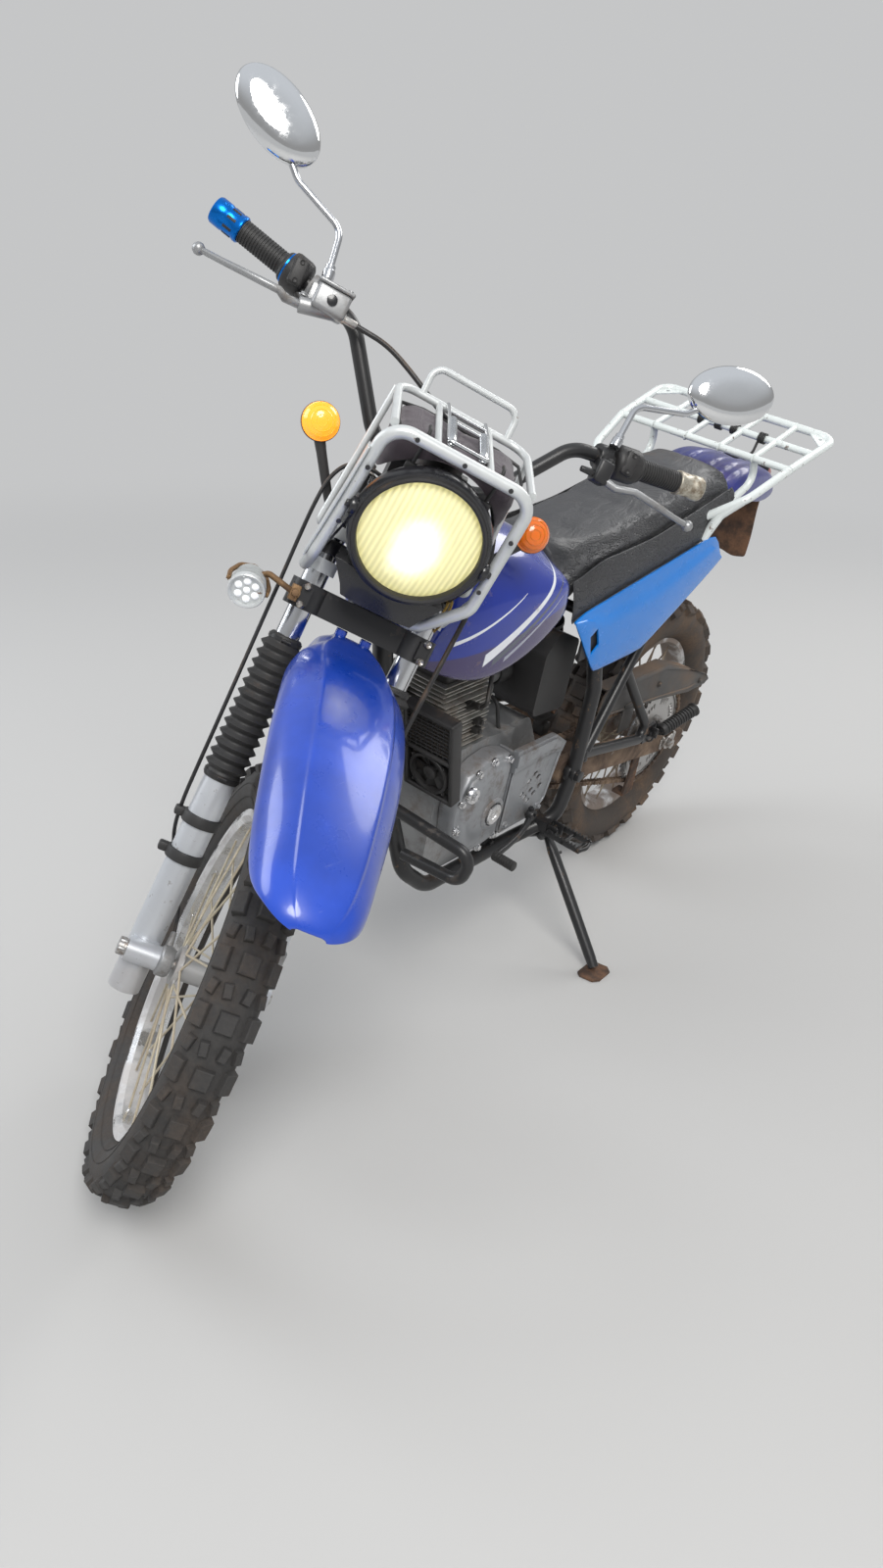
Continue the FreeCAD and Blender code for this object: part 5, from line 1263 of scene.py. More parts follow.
def toothed_ring(bm, teeth, pitch_radius, inner, x_low, x_high):
    """A sprocket's rim: a ring whose outer edge rises to a tooth between each pair of rollers."""
    outer = []
    for i in range(teeth):
        for share, radius in ((-0.30, pitch_radius - 5.0), (-0.14, pitch_radius + 1.5),
                              (-0.04, pitch_radius + 6.0),
                              (0.04, pitch_radius + 6.0), (0.14, pitch_radius + 1.5),
                              (0.30, pitch_radius - 5.0)):
            angle = 2 * pi * (i + 0.5 + share) / teeth
            outer.append((radius * sin(angle), radius * cos(angle)))
    inside = [(inner * sin(atan2(y, z)), inner * cos(atan2(y, z))) for y, z in outer]
    rings = [[(x, y, z) for y, z in line] for x, line in
             ((x_low, inside), (x_low, outer), (x_high, outer), (x_high, inside), (x_low, inside))]
    bridged(bm, rings, True)


def pitch_radius_of(teeth):
    return CHAIN_PITCH / (2 * sin(pi / teeth))


def round_chain():
    """The pins' places along the chain's run, and the pitch between them."""
    small, large = pitch_radius_of(FRONT_TEETH), pitch_radius_of(REAR_TEETH)
    front = Vector((CHAIN_X, SPROCKET_Y, SPROCKET_Z))
    rear = Vector((CHAIN_X, WHEELBASE / 2, REAR_RADIUS))
    gap = rear - front
    tilt = atan2(gap.z, gap.y)
    spread = pi / 2 + atan2(large - small, sqrt(gap.length ** 2 - (large - small) ** 2))
    upper, lower = tilt + spread, tilt - spread + 2 * pi
    line = []
    for centre, radius, start, end, steps in ((front, small, upper, lower, 40),
                                              (rear, large, lower - 2 * pi, upper, 90)):
        angles = [start + (end - start) * i / steps for i in range(steps + 1)]
        line += [centre + Vector((0, radius * cos(a), radius * sin(a))) for a in angles]
    line.append(line[0])
    lengths = [0.0]
    for a, b in zip(line, line[1:]):
        lengths.append(lengths[-1] + (b - a).length)
    spots = []
    step, index = lengths[-1] / CHAIN_LINKS, 0
    for i in range(CHAIN_LINKS + 1):
        want = min(i * step, lengths[-1])
        while index < len(line) - 2 and lengths[index + 1] < want:
            index += 1
        share = (want - lengths[index]) / max(lengths[index + 1] - lengths[index], 1e-9)
        spots.append(line[index].lerp(line[index + 1], share))
    return spots, step


def link_mesh(offset, pitch):
    """Two waisted side plates of a link, its pins and, between them, its rollers."""
    bm = bmesh.new()
    shape = []
    for k in range(6):
        angle = -pi / 2 + pi * k / 5
        shape.append((pitch / 2 + 5.6 * cos(angle), 5.6 * sin(angle)))
    shape.append((0, 4.2))
    shape += [(-y, z) for y, z in shape[-2::-1]] + [(0, -4.2)]
    for side in (1, -1):
        rings = [[(side * x, y, z) for y, z in shape] for x in (offset, offset + 1.6)]
        bridged(bm, rings, True, True)
    for y in (-pitch / 2, pitch / 2):
        drum(bm, (-offset - 2.6, y, 0), (offset + 2.6, y, 0), 2.4, steps=8)
    if offset < 5:
        for y in (-pitch / 2, pitch / 2):
            drum(bm, (-offset, y, 0), (offset, y, 0), 4.6, steps=10)
    bmesh.ops.recalc_face_normals(bm, faces=bm.faces)
    mesh = bpy.data.meshes.new("link")
    bm.to_mesh(mesh)
    bm.free()
    return mesh


def drive_chain():
    spots, pitch = round_chain()
    inner, outer = link_mesh(3.6, pitch), link_mesh(5.4, pitch)
    bm = bmesh.new()
    for i, (here, there) in enumerate(zip(spots, spots[1:])):
        ahead = (there - here).normalized()
        up = Vector((1, 0, 0)).cross(ahead)
        place = Matrix((Vector((1, 0, 0)), ahead, up)).transposed().to_4x4()
        place.translation = (here + there) / 2
        set_down(bm, outer if i % 2 else inner, place)
    return fixed("roller_chain", bm, "dusty_brown_steel", ("chain",), "chain", outwards=False)


def rear_drive():
    """Toothed rear sprocket with round windows, and its bolts."""
    pitch_radius = pitch_radius_of(REAR_TEETH)
    bm = bmesh.new()
    toothed_ring(bm, REAR_TEETH, pitch_radius, pitch_radius - 12, CHAIN_X - 3, CHAIN_X + 3)
    piece("rear_sprocket_teeth", bm, REAR_WHEEL, "rear_wheel", "brushed_disc", ("rear_sprocket",),
          "rear_sprocket")
    web = bmesh.new()
    perforated(web, (34, 52, 76, 98, pitch_radius - 11), 48, lambda row, k: row == 2 and k % 6 < 4,
               CHAIN_X + 2.4)
    piece("rear_sprocket_web", web, REAR_WHEEL, "rear_wheel", "brushed_disc", (), "rear_sprocket",
          wall=4.8, level=1)
    hub = bmesh.new()
    lathe(hub, [(20, 40), (46, 40), (54, 46), (56, 56), (56, 70), (52, 72), (20, 72)], (0, 0, 0),
          (1, 0, 0), 60)
    for i in range(6):
        angle = 2 * pi * i / 6
        hex_bolt(hub, (CHAIN_X + 2.6, 44 * sin(angle), 44 * cos(angle)), (1, 0, 0), 6.5, 5)
    piece("sprocket_carrier", hub, REAR_WHEEL, "rear_wheel", "cast_alloy", (), "rear_sprocket")


def front_brake():
    """Drilled disc with its bolts, and the caliper on the left leg."""
    disc = bmesh.new()
    perforated(disc, (72, 84, 94, 104, 118), 48,
               lambda row, k: (row == 1 and k % 2 == 0) or (row == 2 and k % 2 == 1), DISC_X)
    piece("front_disc_track", disc, FRONT_WHEEL, "front_wheel", "brushed_disc", ("front_disc",),
          "front_disc",
          wall=4.0, level=1)
    arms = bmesh.new()
    for i in range(6):
        turn = Matrix.Rotation(2 * pi * i / 6, 4, "X")
        block(arms, (DISC_X - 3, -7, 30), (DISC_X + 1, 7, 76), 2, turn)
        at = turn @ Vector((DISC_X + 1, 0, 40))
        cap_screw(arms, at, (1, 0, 0), 5, 5)
    lathe(arms, [(24, DISC_X - 5), (38, DISC_X - 5), (38, DISC_X + 1), (24, DISC_X + 1), (24, DISC_X - 5)],
          (0, 0, 0), (1, 0, 0), 48)
    piece("front_disc_carrier", arms, FRONT_WHEEL, "front_wheel", "cast_alloy", (), "front_disc")
    body = bmesh.new()
    block(body, (DISC_X - 17, 4, 376), (DISC_X - 7, 48, 446), 6, segments=3)
    block(body, (DISC_X + 4, 4, 376), (DISC_X + 19, 44, 446), 6, segments=3)
    block(body, (DISC_X - 16, 42, 380), (DISC_X + 18, 58, 442), 7, segments=3)
    block(body, (DISC_X + 6, -20, 392), (78, 22, 414), 4)
    for z in (388, 434):
        hex_bolt(body, (DISC_X + 18.6, 26, z), (1, 0, 0), 5.5, 4)
    drum(body, (DISC_X + 18, 24, 411), (DISC_X + 25, 24, 411), 16, 14.5, steps=36, soft=1)
    drum(body, (57, 22, 444), (57, 22, 457), 6.5, 5, soft=1)
    lathe(body, [(LEG_RADIUS + 0.2, 384), (LEG_RADIUS + 5, 384), (LEG_RADIUS + 6, 387),
                 (LEG_RADIUS + 6, 419),
                 (LEG_RADIUS + 5, 422), (LEG_RADIUS + 0.2, 422)], (LEG_X, -LEG_FORWARD, 0), steps=40)
    steered("brake_caliper_body", body, "cast_alloy", (), "hand_levers")


# Engine


def cylinder_fins():
    """Thin fins round the barrel and head, light along their edges, with head bolts and the plug."""
    bm = bmesh.new()
    for i in range(16):
        z = 562 + i * 8.6
        reach = 74 - (8 if i > 11 else 0) - 2 * (i % 2)
        block(bm, (-reach, -194, z), (reach, -56, z + 2.4), 0.8)
    fixed("cylinder_fins", bm, "fin_alloy", ("cylinder",), "cylinder")
    core = bmesh.new()
    block(core, (-50, -174, 556.4), (50, -72, 700), 8)
    block(core, (-58, -184, 690), (58, -62, 722), 10, segments=3)
    for x in (-44, 44):
        for y in (-168, -78):
            hex_bolt(core, (x, y, 722), (0, 0, 1), 8, 8)
    drum(core, (54, -120, 640), (84, -128, 652), 10, 8, soft=1)
    drum(core, (84, -128, 652), (104, -134, 660), 7, 6, soft=1)
    bent_tube(core, [(104, -134, 660), (116, -138, 672), (96, -110, 716), (40, -90, 742)], 4, 14)
    for z in (584, 602):
        block(core, (58, -100, z), (84, -84, z + 12), 2)
        hex_bolt(core, (84, -92, z + 6), (1, 0, 0), 5, 4)
    fixed("cylinder_core", core, "engine_black", (), "cylinder")


def left_cover():
    """Generator cover with a raised face, its caps, bolts and step, over the cases."""
    outline_low = ((-160, 450), (-150, 392), (-128, 358), (-96, 340), (-60, 333), (-30, 336), (-6, 345),
                   (-4, 440),
                   (-4, 528), (-30, 537), (-60, 541), (-100, 534), (-134, 520), (-152, 490))
    middle = Vector((0, -76, 436))
    bm = bmesh.new()
    rings = []
    for x, share in ((77, 1.0), (100, 1.0), (108, 0.985), (113, 0.95), (114.5, 0.88), (117.5, 0.86),
                     (122, 0.81),
                     (125, 0.74), (125.6, 0.5)):
        rings.append([(x, middle.y + (y - middle.y) * share, middle.z + (z - middle.z) * share)
                      for y, z in outline_low])
    bridged(bm, rings, True, True)
    lathe(bm, [(34, 0), (33, 3), (30, 4.4), (24, 4.8), (24, 3)], (COVER_OUT - 1.5, CRANK_Y, 420),
          (1, 0, 0), 48)
    fixed("generator_cover", bm, "engine_grey", ("engine_covers",), "engine_covers", bevel=1.0)
    caps = bmesh.new()
    lathe(caps, [(0, 4), (9, 4), (10, 6), (19, 7), (21, 5.5), (21.5, 0)], (COVER_OUT, CRANK_Y, 420),
          (1, 0, 0), 44)
    block(caps, (COVER_OUT + 3, CRANK_Y - 8, 417.4), (COVER_OUT + 5.4, CRANK_Y + 8, 422.6), 0.6)
    lathe(caps, [(0, 5), (6, 5), (7, 9), (14, 10), (16, 8), (17, 0)], (118, -128, 486), (1, 0, 0), 36)
    drum(caps, (127, -128, 486), (133, -128, 486), 8, steps=6, soft=1)
    for y, z in ((-148, 412), (-112, 352), (-60, 341), (-16, 352), (-14, 520), (-66, 531), (-110, 520),
                 (-146, 470)):
        drum(caps, (112, y, z), (117, y, z), 8.6, steps=24, soft=1)
        hex_bolt(caps, (117, y, z), (1, 0, 0), 6, 4.4)
    fixed("generator_cover_caps", caps, "polished_alloy", (), "engine_covers")


def drive_cover():
    """Sprocket cover: a plate with nine holes set as a diamond under a raised, folded shelf."""
    bm = bmesh.new()
    grid = []
    for row in range(13):
        z = 352 + row * 12
        right = 112 + min(max((z - 352) / 22 * 34, 0), 34) if z < 374 else 146 + (z - 374) / 126 * 26
        grid.append([(117 + (4 if z > 484 else 0), 2 + (right - 2) * k / 10, z) for k in range(11)])
    bridged(bm, grid, False)
    bmesh.ops.recalc_face_normals(bm, faces=bm.faces)
    chosen = []
    for i in (-1, 0, 1):
        for j in (-1, 0, 1):
            want = Vector((118, 84 + 15 * (i - j), 424 + 15 * (i + j)))
            chosen.append(min(bm.faces, key=lambda face: (face.calc_center_median() - want).length))
    chosen = list(set(chosen))
    bmesh.ops.inset_individual(bm, faces=chosen, thickness=0.2, depth=0.0)
    bmesh.ops.delete(bm, geom=chosen, context="FACES")
    fixed("sprocket_cover_plate", bm, "engine_grey", (), "engine_covers", wall=4.0, level=2)
    shelf = bmesh.new()
    rings = [[(x, y, z) for y, z in ((0, 486), (118, 492), (170, 480), (178, 500), (132, 530), (0, 534))]
             for x in (112, 124)]
    bridged(shelf, rings, True, True)
    rings = [[(x, y, z) for y, z in ((0, 500), (112, 504), (160, 492), (166, 503), (128, 524), (0, 526))]
             for x in (123, 128)]
    bridged(shelf, rings, True, True)
    block(shelf, (76.2, 2, 350), (116, 8, 528), 1)
    bent_tube(shelf, [(118, 3, 352), (118, 112, 350), (118, 150, 374), (118, 176, 498)], 3.4, 14)
    for y, z in ((14, 364), (14, 516), (128, 366), (150, 498)):
        drum(shelf, (116, y, z), (123, y, z), 8.4, steps=24, soft=1)
        hex_bolt(shelf, (123, y, z), (1, 0, 0), 5.6, 4.2)
    fixed("sprocket_cover_shelf", shelf, "engine_grey", (), "engine_covers", bevel=1.6)


def right_cover():
    """Clutch cover on the right with its oil filler, sight glass and bolts."""
    outline = ((-158, 470), (-150, 400), (-130, 350), (-104, 328), (60, 316), (100, 340), (118, 372),
               (124, 470),
               (112, 504), (70, 530), (-100, 536), (-140, 510))
    middle = Vector((0, -20, 424))
    bm = bmesh.new()
    rings = [[(-x, middle.y + (y - middle.y) * share, middle.z + (z - middle.z) * share) for y,
              z in outline]
             for x, share in ((77, 1.0), (106, 1.0), (112, 0.98), (115, 0.94), (117, 0.84), (123, 0.79),
                              (125.6, 0.70),
                              (126, 0.4))]
    bridged(bm, rings, True, True)
    lathe(bm, [(0, 2), (20, 2), (44, 1), (50, -1), (52, -4)], (-126, 20, 430), (-1, 0, 0), 56)
    fixed("clutch_cover", bm, "engine_grey", (), "engine_covers", bevel=1.0)
    caps = bmesh.new()
    lathe(caps, [(0, 9), (10, 9), (14, 7), (15, 0)], (-119, -96, 500), (-1, 0, 0), 12)
    lathe(caps, [(0, 2), (11, 2), (13, 3), (14, 0)], (-124, 92, 360), (-1, 0, 0), 32)
    for y, z in ((-146, 420), (-122, 352), (-60, 328), (10, 324), (66, 326), (108, 372), (112, 460),
                 (68, 520), (-10, 528),
                 (-90, 526), (-142, 490)):
        hex_bolt(caps, (-114, y, z), (-1, 0, 0), 6, 4.4)
    fixed("clutch_cover_caps", caps, "bolt_steel", (), "engine_covers")


def mixture_side():
    """Carburettor with its bowl, top, intake boots, clamps and hoses."""
    metal, boots = bmesh.new(), bmesh.new()
    lathe(metal, [(0, 588), (22, 588), (28, 592), (30, 600), (30, 622), (26, 626), (26, 664), (24, 668),
                  (24, 676),
                  (20, 680), (0, 680)], (0, 6, 0), steps=36)
    for angle in (45, 135, 225, 315):
        at = Vector((24 * cos(radians(angle)), 6 + 24 * sin(radians(angle)), 622))
        cap_screw(metal, at, (0, 0, 1), 3.6, 4)
    drum(metal, (0, -26, 640), (0, 40, 640), 24, steps=36, soft=2)
    drum(metal, (24, 6, 612), (38, 2, 612), 7, soft=1)
    lathe(boots, [(24.3, 38), (28, 38), (30, 44), (26, 50), (30, 56), (26, 62), (30, 68), (30, 71.6)],
          (0, 0, 640), (0, 1, 0), 36)
    lathe(boots, [(24.3, 27), (27, 27), (27, 50), (30, 55), (30, 57.6)], (0, 0, 640), (0, -1, 0), 36)
    bent_tube(boots, [(38, 2, 612), (56, -2, 606), (60, 10, 560), (70, 30, 500), (66, 40, 470)], 4, 16)
    bent_tube(boots, [(-20, 20, 650), (-40, 30, 700), (-52, 10, 748)], 4, 16)
    fixed("carburettor_body", metal, "cast_alloy", ("carburettor",), "carburettor")
    fixed("intake_boots", boots, "rubber", (), "carburettor")


COOLER_TOP, COOLER_LOW = Vector((0, -252, 668)), Vector((0, -206, 494))


def oil_cooler():
    """Black frame beside the downtube: a slatted grille above a fan, over the finned core."""
    up = (COOLER_TOP - COOLER_LOW).normalized()
    place = Matrix(((1, 0, 0, 77), (0, up.y, -up.z, COOLER_LOW.y), (0, up.z, up.y, COOLER_LOW.z),
                    (0, 0, 0, 1)))
    half, length = 55, (COOLER_TOP - COOLER_LOW).length
    case, core = bmesh.new(), bmesh.new()
    for (x0, y0), (x1, y1) in (((-half, 0), (-half + 9, length)), ((half - 9, 0), (half, length)),
                               ((-half, 0), (half, 9)), ((-half, length - 9), (half, length)),
                               ((-half + 4, 88), (half - 4, 96))):
        block(case, (x0, y0, -26), (x1, y1, 1), 4, segments=3)
    block(core, (-half + 6, 6, -24), (half - 6, length - 6, -16), 1)
    for i in range(26):
        y = 100 + i * 3
        if y < length - 10:
            block(core, (-half + 8, y, -16), (half - 8, y + 1.2, -9))
    for y in range(102, 172, 8):
        bent_tube(case, [(-half + 5, y, -4), (half - 5, y + 2.5, -4)], 1.3, steps=8)
    for x in range(-42, 46, 12):
        bent_tube(case, [(x, 92, -5.6), (x + 2, length - 6, -5.6)], 1.1, steps=8)
    lathe(case, [(36, 0), (41, 0), (42, -2), (42, -12), (36, -12), (36, 0)], (0, 48, -1), (0, 0, 1), 56)
    lathe(case, [(0, -3), (10, -3), (13, -5), (13.4, -14), (0, -14)], (0, 48, 0), (0, 0, 1), 32)
    for i in range(7):
        turn = Matrix.Translation((0, 48, 0)) @ Matrix.Rotation(2 * pi * i / 7 + 0.2, 4, "Z")
        rings = [[turn @ Vector(p) for p in ((r, -w, -12 + w * 0.5), (r + 1, w, -12 - w * 0.5),
                                             (r + 1, w, -13.2 - w * 0.5),
                                             (r, -w, -13.2 + w * 0.5))] for r,
                                             w in ((11, 4), (22, 7), (34.6, 9.5))]
        bridged(case, rings, True, True)
    for angle in (45, 135, 225, 315):
        c, s = cos(radians(angle)), sin(radians(angle))
        bent_tube(case, [(13 * c, 48 + 13 * s, -14), (38 * c, 48 + 38 * s, -14)], 2, steps=8)
        cap_screw(case, (47 * c * 1.0, 48 + 47 * s * 0.86, -4), (0, 0, 1), 3, 3)
    lug = [(17.3 - 77, 84, -40), (30 - 77, 100, 4)]
    block(case, *lug, 1)
    piece("cooler_frame_and_fan", case, CHASSIS @ place, "chassis", "black_plastic", ("oil_cooler",),
          "oil_cooler")
    piece("cooler_core", core, CHASSIS @ place, "chassis", "dark_dusty_steel", (), "oil_cooler")


def tapered(bm, points, sizes, steps=20):
    """A cast or forged bar: round sections of growing and shrinking size along a row of points."""
    points = [Vector(p) for p in points]
    rings = []
    for i, (here, (wide, high)) in enumerate(zip(points, sizes)):
        ahead = (points[min(i + 1, len(points) - 1)] - points[max(i - 1, 0)]).normalized()
        side = Vector((ahead.y, -ahead.x, 0)).normalized()
        up = side.cross(ahead)
        rings.append([here + side * (wide * cos(2 * pi * k / steps)) + up * (high * sin(2 * pi * k / steps))
                      for k in range(steps)])
    bridged(bm, rings, True, True)


def lever_blade(bm, perch, side):
    """A forged lever: flat near its perch, bent and slim at the fingers, with a ball at its end."""
    points = [perch, perch + Vector((side * 22, -4, -3)), (side * 300, -25, 1303), (side * 330, -23, 1302),
              (side * 356, -11, 1303), (side * 384, 2, 1304), (side * 408, 13, 1305.4),
              (side * 420, 18, 1306)]
    tapered(bm, points, [(9, 6.5), (9.5, 6.2), (8, 5.6), (8, 5.4), (7.4, 5), (6.8, 4.6), (6, 4.6), (4, 4)])
    lathe(bm, [(0, -9), (5.6, -7.4), (8.6, -3.4), (9.2, 0), (8.6, 3.4), (5.6, 7.4), (0, 9)],
          (side * 420, 18, 1306), (side, 0.4, 0), steps=28)


def levers():
    """Brake master cylinder with its square reservoir, clutch perch, and both levers."""
    centre, along = bar_place(171, -1)
    blades, tank, perch = bmesh.new(), bmesh.new(), bmesh.new()
    lever_blade(blades, centre + Vector((-14, -34, -34)), -1)
    block(tank, centre + Vector((-2, -62, -30)), centre + Vector((48, -16, 4)), 5, segments=3)
    block(tank, centre + Vector((-4, -64, 4)), centre + Vector((50, -14, 10)), 3, segments=3)
    for x, y in ((4, -56), (42, -56), (4, -22), (42, -22)):
        cap_screw(tank, centre + Vector((x, y, 9.8)), (0, 0, 1), 3.4, 2.2)
    drum(tank, centre + Vector((-16, -34, -34)), centre + Vector((38, -34, -20)), 12, 11, soft=2)
    block(tank, centre + Vector((-10, -30, -30)), centre + Vector((12, -10, 6)), 4)
    lathe(tank, [(11.6, -11), (18.6, -11), (19.4, -9.5), (19.4, 9.5), (18.6, 11), (11.6, 11)], centre,
          along)
    window = bmesh.new()
    drum(window, centre + Vector((23, -62.4, -13)), centre + Vector((23, -65, -13)), 7.5, steps=28,
         soft=0.8)
    banjo = bmesh.new()
    end = Vector(BRAKE_HOSE[0])
    lathe(banjo, [(0, -7), (5, -7), (7.5, -6.4), (7.5, 6.4), (5, 7), (0, 7)], end + Vector((-5, 0, 0)),
          (1, 0, 0), 24)
    hex_bolt(banjo, end + Vector((-9, 0, 7)), (0, 0, 1), 6, 4)
    lathe(banjo, [(4.2, 0), (5.6, 0), (5.6, 18), (4.6, 20), (4.2, 20)], end, (1, 0, 0), 24)
    centre, along = bar_place(184, 1)
    lever_blade(blades, centre + Vector((8, -34, -36)), 1)
    block(perch, centre + Vector((-12, -44, -44)), centre + Vector((14, -10, -8)), 5, segments=3)
    block(perch, centre + Vector((-9, -20, -16)), centre + Vector((9, -4, 4)), 4)
    lathe(perch, [(11.6, -11), (18.6, -11), (19.4, -9.5), (19.4, 9.5), (18.6, 11), (11.6, 11)], centre,
          along)
    drum(perch, centre + Vector((-12, -34, -34)), centre + Vector((-34, -36, -37)), 6, 4.5, soft=1)
    hex_bolt(perch, centre + Vector((6, -34, -8)), (0, 0, 1), 6, 4)
    hex_bolt(tank, Vector((-267, -14.7, 1314)), (0, 0, 1), 6, 4)
    steered("lever_blades", blades, "cast_alloy", ("hand_levers",), "hand_levers")
    steered("brake_master_body", tank, "cast_alloy", (), "hand_levers")
    steered("reservoir_window", window, "black_gloss", (), "hand_levers")
    steered("clutch_perch_body", perch, "black_paint", (), "hand_levers")
    steered("brake_line_union", banjo, "bolt_steel", (), "hand_levers")


def switch_housings():
    """Clamshell pods inside the grips, with their screws, buttons and the throttle cable's elbow."""
    bm, buttons = bmesh.new(), bmesh.new()
    for side, wide in ((1, 45), (-1, 33)):
        at, along = bar_place(120, side)
        half = [(11.4, -1 - wide), (22, -1 - wide), (26, 2 - wide), (27.4, 7 - wide), (27.4, -7), (26, -3),
                (22, -1),
                (11.4, -1)]
        lathe(bm, half, at, along, steps=28)
        middle = at - along * wide * 0.5
        block(bm, middle + Vector((-11, -29, -19)), middle + Vector((11, -12, 19)), 4, segments=3)
        for z in (-13, 13):
            cap_screw(bm, middle + Vector((0, -28, z)), (0, -1, 0), 3.6, 2.4)
        back = middle + Vector((0, 22, 0))
        for x, z, high in ((-9, 10, 7), (8, 4, 6), (-4, -9, 6)):
            block(buttons, back + Vector((x - 5, -2, z - 4)), back + Vector((x + 5, high, z + 4)), 1.6)
    middle = bar_place(137, -1)[0]
    bent_tube(bm, [middle + Vector((8, -10, -22)), middle + Vector((26, -14, -34)),
                   middle + Vector((58, -22, -32))], 5, 14)
    steered("switch_housings", bm, "black_plastic", ("switch_pods",), "switch_pods")
    steered("switch_buttons", buttons, "rubber", (), "switch_pods")


def mirrors():
    """Oval mirrors: a domed bright shell, a rolled rim and the glass let into it."""
    shells, glass, stems = bmesh.new(), bmesh.new(), bmesh.new()
    for side in (1, -1):
        at = bar_place(178, side)[0] + Vector((0, -15.5, 17.7))
        bent_tube(stems, [at, (side * 256, 24, 1427), (side * 338, 34, 1458), (side * 372, 42, 1492)], 5,
                  30, turns=8)
        lathe(stems, [(5, 0), (8.6, 0), (9, 2), (9, 14), (7.4, 16), (7.4, 22), (5, 24)], at,
              Vector((side * 256, 24, 1427)) - at, 24)
        centre = Vector((side * 396, 44, 1520))
        long_axis = Vector((side * 0.9, 0, 0.42)).normalized()
        normal = Vector((side * 0.12, -1, 0.2))
        normal = (normal - long_axis * normal.dot(long_axis)).normalized()
        across = normal.cross(long_axis)
        def ring(high, long_half, short_half, turns=56):
            return [centre + normal * high + long_axis * (long_half * cos(2 * pi * k / turns))
                    + across * (short_half * sin(2 * pi * k / turns)) for k in range(turns)]
        back = [(6.0, 68, 40), (3.6, 69.4, 41.4), (1.2, 71.5, 43.5), (0, 73, 45), (1.2, 74.2, 46.2),
                (4, 74.4, 46.4),
                (9.5, 72, 44), (14, 66, 39), (17.5, 58, 33), (19.6, 48, 26), (20.6, 34, 17), (21, 16, 8)]
        bridged(shells, [ring(*row) for row in back], True, True)
        bridged(glass, [ring(*row) for row in ((5.5, 69, 41), (3.4, 69, 41), (2.2, 66, 38.5),
                                               (1.6, 40, 23))],
                True, True)
        lathe(stems, [(5, -16), (8, -15), (9, -8), (9, 4), (7, 9)], (side * 372, 42, 1492),
              (side * 0.3, 0.1, 0.7), 24)
        block(stems, (-13, -12, 0), (13, 12, 24), 3, turn_to((side * 0.5, 0, 0.6), (side * 366, 45, 1488)))
    steered("mirror_shells", shells, "chrome", ("mirrors",), "mirrors")
    steered("mirror_glasses", glass, "mirror_glass", (), "mirrors")
    steered("mirror_stems", stems, "hard_chrome", (), "mirrors")


def front_signals():
    """Round signals on black stalks from the tube's rings; the right one is lit."""
    stalks = bmesh.new()
    for side, finish, name in ((1, "amber_lens", "left_signal_lens"),
                               (-1, "amber_lit", "right_signal_lens")):
        centre = (side * 176, -40, 1170)
        lens = bmesh.new()
        lathe(lens, [(0, 26), (10, 25), (19, 21.5), (24.6, 15), (27, 8), (27, 3)], centre, (0, -1, 0), 40)
        lathe(lens, [(27, 3), (27, 8), (25, 8), (25, 3), (27, 3)], centre, (0, -1, 0), 40)
        for radius, ahead in ((8, 25.3), (15, 23.4), (21, 19.4)):
            lathe(lens, [(radius - 1.4, ahead - 0.6), (radius, ahead + 0.6), (radius + 1.4, ahead - 1.4)],
                  centre,
                  (0, -1, 0), 40)
        steered(name, lens, finish, ("front_signals",) if side > 0 else (), "front_signals")
        lathe(stalks, [(0, -27), (12, -26), (21, -20), (26, -10), (28, 0), (28, 5), (26.4, 6.4),
                       (26.4, 2)], centre,
              (0, -1, 0), 40)
        foot, top = Vector((side * 110, -28, 1066)), Vector((side * 172, -40, 1156))
        tapered(stalks, [foot, foot.lerp(top, 0.3), foot.lerp(top, 0.75), top],
                [(6, 6), (7.4, 7), (8, 7.4), (9, 9)])
        lathe(stalks, [(TUBE_RADIUS + 0.6, 1058), (TUBE_RADIUS + 7, 1058), (TUBE_RADIUS + 8, 1060),
                       (TUBE_RADIUS + 8, 1076), (TUBE_RADIUS + 7, 1078), (TUBE_RADIUS + 0.6, 1078)],
              (side * LEG_X, -LEG_FORWARD, 0))
        hex_bolt(stalks, (side * 112, -38, 1068), (side, 0, 0), 5, 4)
    steered("signal_stalks", stalks, "black_plastic", (), "front_signals")


